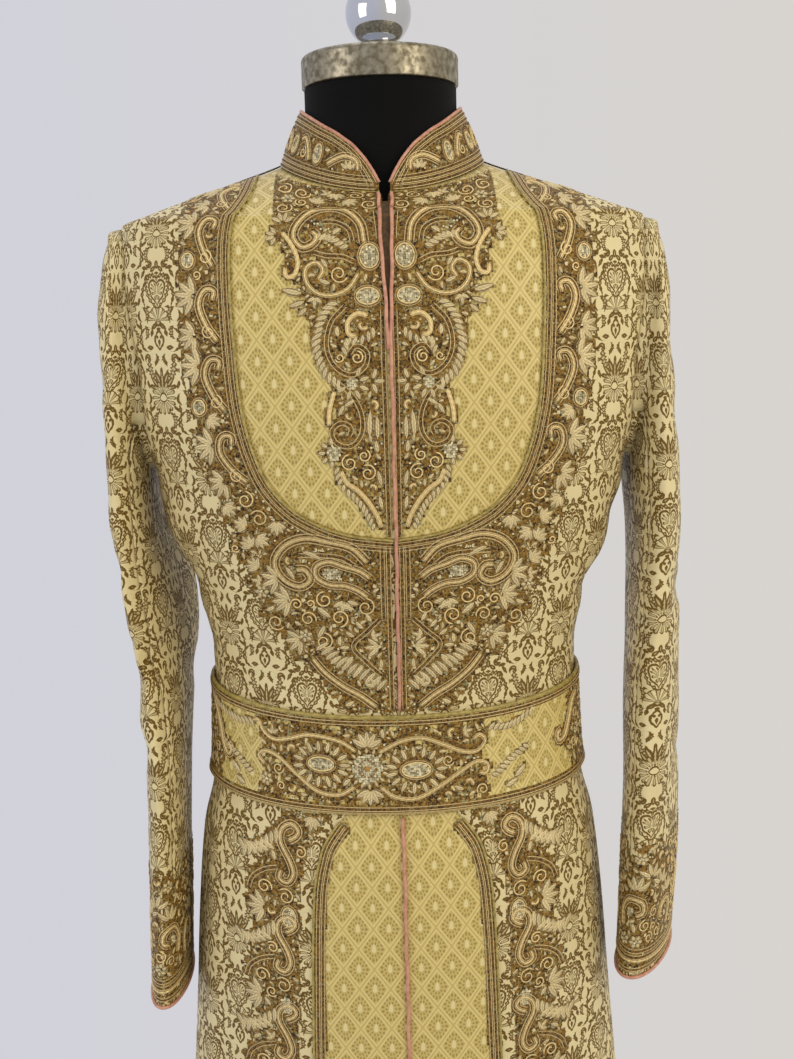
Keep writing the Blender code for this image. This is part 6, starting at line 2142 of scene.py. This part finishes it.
def stitch_skirt():
    work = Stitching((30, 400), (165, 926), 13, skirt_room)
    for distance in RAILS:
        rail(work, beside(ARCH_LINE, -distance), gap=1.35, bead=0.72, cord=0.48)
    for k, level in enumerate(range(872, 420, -76)):
        edge = float(skirt_cutout(level * MM)) / MM + 13.0
        here = (edge, level)
        outlined(work, shifted(*here, (9, 30), (3, 33), (0, 38), (6, 43), (14, 38), (15, 28), (8, 15),
                               (5, 4), (10, -4), (17, -1), (15, 6)), 2.5)
        feathers(work, shifted(*here, (20, 40), (34, 30), (46, 24)), 1, 12, 2.3, 5.0)
        feathers(work, shifted(*here, (20, 20), (34, 14), (46, 14)), -1, 12, 2.3, 5.0)
        rail(work, shifted(*here, (18, 8), (30, 4), (40, -4), (44, -14)))
        curl(work, edge + 12, level - 16, 7.0, 40, 1)
        curl(work, edge + 30, level - 10, 6.5, 200, -1)
        silver(work, edge + 10, level - 33, 5.5, 8.0, outline=k % 2 == 0)
        fan(work, edge + 30, level - 28, -60, 60, 5, 14, 2.7)
    fill(work, tries=5600)
    ground_cells(work)
    lay_pair(work, "skirt", on_front)


stitch_skirt()


# %% [markdown]
# ## Yellow satin rolls on the cut edges
#
# Between each let-in panel and its border runs a rolled edge of yellow satin, the same one that tops the
# belt. It is one more piping along the line of the cut-out.

# %% Edge rolls
ROLL_BESIDE = 0.4           # mm from the cut edge to the roll's middle, away from the let-in panel
ROLL_LIFT = 0.0007
ROLL_RADIUS = 0.0010


def roll(name, path, normal, *nodes, radius, closed=False):
    """A roll of yellow satin along a path."""
    piping(name, path, normal, "yellow_brocade", *nodes, closed=closed, radius=radius,
           finish=YELLOW_SATIN, sides=8)


def edge_roll(part, side, way, line, beside_by):
    plane = beside(line, beside_by)
    face, normal = on_front(way)(plane[:, 0], plane[:, 1])
    path = face + normal * ROLL_LIFT
    roll(f"{part}_edge_roll_{side}", path, normal, f"{part}_binding_{side}", radius=ROLL_RADIUS)


for name, way in SIDES:
    edge_roll("chest", name, way, U_LINE, ROLL_BESIDE)
    edge_roll("skirt", name, way, ARCH_LINE, -ROLL_BESIDE)
print("edge rolls: 4")


# %% [markdown]
# ## The belt's embroidery
#
# The belt's middle is a silver medallion, a little to one side of the opening. Two ovals ringed with
# petals stand beside it, long padded waves pass over and under them, and a lotus fills the gap above and
# below. Rails run round both edges. The yellow brocade shows on both sides of this, and the side seams
# are covered densely again. The same drawing is laid on the back, turned half round the body.

# %% Belt plane
MEDALLION_ACROSS = -26.0    # mm from the centre front
BELT_WIDE = 80.0            # mm, in front
BELT_MIDDLE = 0.968         # height at which lengths round it are measured


def belt_arc_table():
    turns = np.linspace(-math.pi, math.pi, 721)
    line = coat_point(turns, np.full_like(turns, BELT_MIDDLE))
    length = lengths_along(line) / MM
    return turns, length - np.interp(0.0, turns, length), line[:, 0] / MM


BELT_TURNS, BELT_ARCS, BELT_ACROSS = belt_arc_table()
FRONT_HALF = np.abs(BELT_TURNS) <= math.pi / 2


def belt_point(x, v):
    """A point of the belt's plane from its distance beside the medallion, seen from in front."""
    return float(np.interp(x + MEDALLION_ACROSS, BELT_ACROSS[FRONT_HALF], BELT_ARCS[FRONT_HALF])), v


def belt_curve(*points):
    return curve(*[belt_point(x, v) for x, v in points])


def on_belt(half_turn):
    """Plane of the belt: round the waist from the centre front, and up from its lower edge."""
    def place(u, v):
        turn = np.interp(u, BELT_ARCS, BELT_TURNS)
        part = np.clip(v / BELT_WIDE, 0.0, 1.0)
        if half_turn:
            turn = math.pi + turn
        height = belt_height(turn, part)
        normal = coat_normal(turn, height)
        lift = BELT_SEAT + read(BELT_PROFILE, "thickness", part) - BELT_SINK
        return coat_point(turn, height) + normal * lift[:, None], normal
    return place


def belt_room(u, v):
    wave = 4.0 * np.sin(v * 0.13)
    return (v > 9) & (v < 71) & ((np.abs(u + 24) < 92 + wave) | (np.abs(u + 4) > 158 + wave))


# %% Belt stitches
BELT_WAVES = (
    ((9, 51), (27, 60), (44, 62), (60, 56), (77, 48), (88, 47), (95, 54), (91, 60), (85, 57)),
    ((-9, 52), (-23, 60), (-46, 63), (-62, 58), (-75, 55), (-84, 60), (-88, 68), (-93, 66)),
    ((10, 23), (21, 15), (38, 13), (56, 21), (73, 31), (87, 38), (96, 35), (95, 28), (89, 29)),
    ((-10, 23), (-23, 16), (-40, 18), (-56, 29), (-71, 41), (-82, 44), (-88, 39), (-83, 33)),
)
BELT_BEAD_LINES = (
    ((12, 55), (27, 64.5), (44, 66.5), (62, 60), (76, 53)), ((-12, 56), (-24, 64.5), (-46, 67), (-62, 63)),
    ((13, 19), (21, 11), (39, 9.5), (57, 17), (74, 27)), ((-13, 19), (-24, 12), (-41, 13.5), (-57, 24)),
)
BELT_SIDE_HOOKS = (
    ((178, 66), (168, 62), (160, 50), (152, 38), (144, 36), (142, 42), (147, 44)),
    ((-184, 66), (-176, 62), (-168, 50), (-162, 36), (-155, 30), (-151, 36), (-156, 39)),
)


def petalled_oval(work, x, y, wide, high):
    """A silver oval with petals all round; over its top they lean towards its middle."""
    silver(work, x, y, wide, high)
    for turn in np.arange(0, 360, 24):
        away = math.radians(turn)
        base = (x + (wide + 4.6) * math.cos(away), y + (high + 4.6) * math.sin(away))
        squarely = math.degrees(math.atan2(math.sin(away) * wide, math.cos(away) * high))
        lean = turn * 0.55 + squarely * 0.45 if turn <= 180 else turn
        work.leaves([(*base, 9.0, 1.9, lean, 0)])


def stitch_belt():
    side = float(BELT_ARCS[np.argmin(np.abs(BELT_TURNS - math.pi / 2))])
    work = Stitching((-side - 1, 0), (side + 1, 81), 14, belt_room)
    edge = np.array([(u, 0.0) for u in np.arange(-side, side + 0.1, 2.1)])
    rail(work, edge + [0, 75.0], gap=1.4, bead=0.75, cord=0.5)
    rail(work, edge + [0, 5.2], gap=1.4, bead=0.75, cord=0.5)
    work.cord(edge + [0, 2.2], 0.8, 0.5, tone=0.6)
    middle = belt_point(0, 38)
    silver(work, *middle, 13.0, 13.5, outline=False)
    work.beads([middle], 2.2, 0.5, tone=0.9)
    work.beads(ring(*middle, 7.0, step=2.6), 0.9, 0.6, tone=0.55)
    fan(work, *middle, 0, 345, 16, 4.5, 1.2, reach=12.5)
    for x, v, wide, high in ((39, 36, 11.5, 6.0), (-37, 40, 10.5, 5.6)):
        petalled_oval(work, *belt_point(x, v), wide, high)
    for wave in BELT_WAVES:
        padded(work, belt_curve(*wave))
    for line in BELT_BEAD_LINES:
        work.beads(even_steps(belt_curve(*line), 2.0), 0.75, 0.1, tone=0.25)
    fan(work, *belt_point(0, 55), 30, 150, 5, 12, 2.6, reach=1.5)
    fan(work, *belt_point(2, 21), 210, 330, 5, 11, 2.5, reach=1.5)
    for x, hand in ((102, 1), (-96, -1)):
        above = belt_curve((x - hand * 4, 60), (x + hand * 14, 58), (x + hand * 32, 64))
        feathers(work, above, -hand, 8, 1.8, 4.6)
        below = belt_curve((x - hand * 4, 28), (x + hand * 12, 40), (x + hand * 24, 46))
        feathers(work, below, hand, 8, 1.8, 4.6)
    for hook in BELT_SIDE_HOOKS:
        outlined(work, curve(*hook), 2.5)
    work.leaves([(*belt_point(118, 20), 13, 2.4, 35, 10), (*belt_point(110, 14), 12, 2.2, 20, 10),
                 (*belt_point(-104, 20), 12, 2.4, 145, 10), (*belt_point(-99, 12), 12, 2.2, 160, 10)])
    fill(work, tries=4200, largest=6.0)
    ground_cells(work)
    lay(work, "belt_embroidery_front", on_belt(False), False)
    lay(work, "belt_embroidery_back", on_belt(True), False)
    print("belt has", work.count, "points in one half")


stitch_belt()


def belt_roll():
    """The yellow satin roll along the belt's upper edge."""
    turns = np.linspace(0, 2 * math.pi, 220, endpoint=False)
    height = belt_height(turns, np.full_like(turns, 0.992))
    normal = coat_normal(turns, height)
    path = coat_point(turns, height) + normal * 0.0026
    roll("belt_edge_roll", path, normal, radius=0.0016, closed=True)


belt_roll()
print("belt roll done")


# %% [markdown]
# ## The collar's embroidery
#
# Three bead rails follow the collar's seam and two follow its upper edge down to the rounded front end. A
# padded paisley lies between them in front, and then silver and curls alternate round to the back.

# %% Collar stitches
def collar_top(u):
    return read(COLLAR_RISE, "across", np.asarray(u, float) * MM) / MM


def on_collar(way):
    """Plane of one half of the collar: from its front end, and up from its seam."""
    def place(u, v):
        turn = way * np.interp(u * MM, NECK_LENGTHS, NECK_TURNS)
        part = np.clip(v / collar_top(u), 0.0, 1.0)
        point, out, _ = collar_surface(turn, part)
        return point + out * (COLLAR_BOW * np.sin(np.pi * part))[:, None], out
    return place


def collar_room(u, v):
    return (v > 1.0) & (v < collar_top(u) - 1.2) & (u > 1.0) & (u < NECK_LENGTHS[-1] / MM)


def stitch_collar():
    end = NECK_LENGTHS[-1] / MM
    work = Stitching((0, 0), (end, 44), 15, collar_room)
    along = np.unique(np.concatenate([np.linspace(0.4, 14, 24), np.linspace(14, end, 110)]))
    upper = even_steps(np.stack([along, collar_top(along)], axis=1), 1.9)
    for distance in (2.6, 6.6):
        line = beside(upper, distance, 1.9)
        rail(work, line[line[:, 1] > 3.0], gap=1.3, bead=0.7, cord=0.45)
    for level in (1.9, 5.6, 9.3):
        start = 1.4 + level * 0.35
        rail(work, even_steps([(start, level), (end, level)], 2.1), gap=1.25, bead=0.7, cord=0.45)
    outlined(work, curve((17, 14), (17.5, 20), (22, 23.5), (30, 24), (38, 20), (45, 15)), 2.3)
    fan(work, 25, 14, 30, 140, 4, 7, 1.6, reach=1.0)
    silver(work, 57, 21, 4.0, 7.5)
    outlined(work, curve((66, 14), (70, 22), (78, 29), (84, 26)), 2.3)
    curl(work, 76, 18, 4.6, 90, 1)
    for u in range(92, int(end) - 8, 34):
        silver(work, u + 2, 21, 4.5, 6.5)
        outlined(work, curve((u + 12, 14), (u + 15, 22), (u + 22, 27), (u + 28, 24)), 2.3)
    fill(work, largest=4.6)
    lay_pair(work, "collar", on_collar)


stitch_collar()


# %% [markdown]
# ## The cuffs
#
# The lowest 11 cm of each sleeve is covered all round. Its upper edge is irregular, where leaves reach up
# over the damask. A slanting double rail crosses it and a padded arc follows the curved lower edge.

# %% Cuff stitches
def on_sleeve(name):
    """Plane of a sleeve: round it from the outer line, and height."""
    grid, normals = SLEEVES[name]
    levels = grid[:, :, 2].mean(axis=1)[::-1]
    low = grid[-6, :, :2]
    length = lengths_along(np.concatenate([low, low[:1]])) / MM
    length -= length[RING_POINTS // 2]

    def place(u, v):
        row = len(grid) - 1 - np.interp(v * MM, levels, np.arange(len(levels)))
        column = np.interp(u, length, np.arange(RING_POINTS + 1))
        i = np.clip(np.floor(row).astype(int), 0, len(grid) - 2)
        j = np.floor(column).astype(int) % RING_POINTS
        k = (j + 1) % RING_POINTS
        s, t = (row - i)[:, None], (column - np.floor(column))[:, None]
        point, normal = (
            (table[i, j] * (1 - t) + table[i, k] * t) * (1 - s)
            + (table[i + 1, j] * (1 - t) + table[i + 1, k] * t) * s for table in (grid, normals)
        )
        return point, unit(normal)
    return place, length


def stitch_cuff(name, way, low, seed):
    place, length = on_sleeve(name)
    left, right = float(length[0]), float(length[-1])
    top = low + 112

    def cuff_room(u, v):
        wave = 5.0 * np.sin(u * 0.16) + 3.5 * np.sin(u * 0.31 + 1.0)
        return (v > low + 2.5) & (v < top + wave) & (u > left + 1) & (u < right - 1)

    work = Stitching((left, low), (right, top + 10), seed, cuff_room)
    turn = np.arange(left + 1, right - 1, 2.1)
    rail(work, np.stack([turn, low + 5.0 + 0 * turn], axis=1), gap=1.3, bead=0.72, cord=0.48)
    rail(work, np.stack([turn, low + 20 + 5 * np.sin((turn - 20) * 0.022)], axis=1))
    rail(work, np.stack([turn, low + 25.5 + 5 * np.sin((turn - 20) * 0.022)], axis=1))
    for k, u in enumerate(np.linspace(left + 18, right - 18, 7)):
        base = low + 44 + 5 * math.sin(u * 0.022) + (k % 2) * 10
        hand = 1 if k % 2 else -1
        hook = ((-10, -8), (-12, 6), (-4, 17), (7, 15), (9, 6), (3, 3))
        outlined(work, shifted(u, base, *[(hand * across, up) for across, up in hook]), 2.4)
        fan(work, u + hand * 2, base + 24, 40, 140, 4, 12, 2.3)
        fan(work, u + hand * 14, base + 36, 20, 150, 4, 11, 2.2)
        curl(work, u + hand * 12, base - 6, 5.6, 90, hand)
        silver(work, u - hand * 2, base + 6, 3.6, 4.6, outline=False)
    padded(work, np.stack([turn, low + 12.5 + 1.5 * np.sin(turn * 0.045)], axis=1))
    fill(work, tries=4200, largest=6.0)
    ground_cells(work)
    lay(work, f"cuff_embroidery_{name}", place, way > 0)
    print("cuff", name, "has", work.count, "points")


stitch_cuff("left", -1, 749, 16)
stitch_cuff("right", 1, 762, 17)


# %% [markdown]
# ## What each sheet was cut to
#
# For every cloth piece, the size of the rectangle it was cut from and its own flat area are worked out.
# Both come from the flat coordinates worked out when the panel was laid on the body.

# %% Sizing the sheets
def declare_sheet(piece):
    mesh = piece.data
    place = np.zeros(len(mesh.vertices) * 3, np.float32)
    mesh.attributes["cloth_mm"].data.foreach_get("vector", place)
    place = place.reshape(-1, 3)[:, :2] * MM
    width, length = (float(size) for size in np.ptp(place, axis=0))
    area = sum(polygon.area for polygon in mesh.polygons)
    if not piece.modifiers:
        area /= 2           # a closed slab counts both of its faces
    area = round(float(min(area, 0.98 * width * length)), 4)


HUNG = [f"{part}_{side}" for part in ("front", "back", "chest_inset", "skirt_inset") for side, _ in SIDES]
HUNG += ["underlap"] + [f"{part}_{side}" for part in ("top_sleeve", "under_sleeve") for side, _ in SIDES]
for part in HUNG:
    declare_sheet(ALL_PIECES[f"{part}_cloth"])
for part in ("collar", "belt"):
    declare_sheet(ALL_PIECES[f"{part}_cloth"])


# %% [markdown]
# ## Floor, camera and light
#
# A studio set is plain: a pale floor under the stand, one soft light as big as a window from the right, a
# weaker one from the left to keep the shadow side open, and pale surroundings. The camera stands a little
# over a metre away at shoulder height and looks slightly down.

# %% Floor
def pale_floor():
    finish, tree, shader = new_finish("pale painted floor")
    place = add(tree, "TexCoord").outputs["Object"]
    cloud = noise(tree, place, 1.5, 4.0)
    colour = mixed(tree, cloud, "#cfcdd0", "#d9d7d6")
    tree.links.new(colour, shader.inputs["Base Color"])
    shader.inputs["Roughness"].default_value = 0.7
    return finish


def add_floor():
    reach = 0.9
    side = np.linspace(-reach, reach, 9)
    x, y = np.meshgrid(side, side, indexing="ij")
    points = np.stack([x, y, np.zeros_like(x)], axis=-1)
    floor = new_mesh("floor", points.reshape(-1, 3), [(grid_faces(9, 9, flip=True), 0)], [pale_floor()])


add_floor()
print("floor at z = 0")

# %% Camera
LENS_MM = 44.19
CAMERA_AWAY = 1.12          # from the coat's middle
CAMERA_UP = 1.32
AIM_SIDE = 1.0              # degrees the camera stands to the left of straight ahead
AIM_PAN = 1.2424            # degrees it is panned to the right
AIM_DOWN = 9.07
AIM_ROLL = 1.45


def add_camera():
    side, pan, down, roll = (math.radians(a) for a in (AIM_SIDE, AIM_PAN, AIM_DOWN, AIM_ROLL))
    forward = Vector((math.sin(pan) * math.cos(down), math.cos(pan) * math.cos(down), -math.sin(down)))
    right = Vector((math.cos(pan), -math.sin(pan), 0.0))
    up = right.cross(forward)
    leaning_right = right * math.cos(roll) - up * math.sin(roll)
    leaning_up = right * math.sin(roll) + up * math.cos(roll)
    turn = Matrix((leaning_right, leaning_up, -forward)).transposed().to_4x4()
    place = Vector((-CAMERA_AWAY * math.sin(side), -CAMERA_AWAY * math.cos(side), CAMERA_UP))
    data = bpy.data.cameras.new("camera")
    data.lens = LENS_MM
    data.sensor_width = 36.0
    data.clip_start = 0.05
    made = bpy.data.objects.new("camera", data)
    made.matrix_world = Matrix.Translation(place) @ turn
    bpy.context.scene.collection.objects.link(made)
    bpy.context.scene.camera = made


add_camera()
print("camera:", tuple(round(v, 3) for v in bpy.context.scene.camera.matrix_world.translation))


# %% Lights and surroundings
def soft_light(name, place, aim, width, height, watts, colour):
    data = bpy.data.lights.new(name, "AREA")
    data.shape = "RECTANGLE"
    data.size = width
    data.size_y = height
    data.energy = watts
    data.color = linear(colour)[:3]
    made = bpy.data.objects.new(name, data)
    direction = Vector(aim) - Vector(place)
    made.matrix_world = Matrix.Translation(place) @ direction.to_track_quat("-Z", "Y").to_matrix().to_4x4()
    bpy.context.scene.collection.objects.link(made)


def surroundings():
    """Pale walls all round, a little cooler on the left and warmer on the right."""
    world = bpy.data.worlds.new("pale studio")
    world.use_nodes = True
    bpy.context.scene.world = world
    tree = world.node_tree
    direction = add(tree, "TexCoord").outputs["Generated"]
    side = add(tree, "SeparateXYZ", {0: direction}).outputs["X"]
    share = add(tree, "MapRange", {"Value": side, "From Min": -0.35, "From Max": 0.35}).outputs[0]
    wall = mixed(tree, share, "#d0d1dc", "#d8d4ce")
    tree.links.new(wall, tree.nodes["Background"].inputs["Color"])
    tree.nodes["Background"].inputs["Strength"].default_value = 1.0


soft_light("window_right", (1.5, -1.5, 2.0), (0.0, 0.0, 1.15), 1.3, 1.6, 17, "#fff4e2")
soft_light("window_left", (-1.9, -1.2, 1.7), (0.0, 0.0, 1.15), 1.2, 1.6, 10, "#fff8ee")
soft_light("overhead", (0.0, 0.3, 2.9), (0.0, 0.0, 1.2), 1.6, 1.6, 6, "#ffffff")
surroundings()
bpy.context.scene.view_settings.view_transform = "Standard"


# %% Sizes and the end
def largest_meshes():
    graph = bpy.context.evaluated_depsgraph_get()
    counts = {}
    for name, piece in ALL_PIECES.items():
        mesh = piece.evaluated_get(graph).to_mesh()
        mesh.calc_loop_triangles()
        counts[name] = len(mesh.loop_triangles)
        piece.evaluated_get(graph).to_mesh_clear()
    print("triangles in all:", sum(counts.values()))
    print("largest:", sorted(counts.items(), key=lambda item: -item[1])[:8])


largest_meshes()
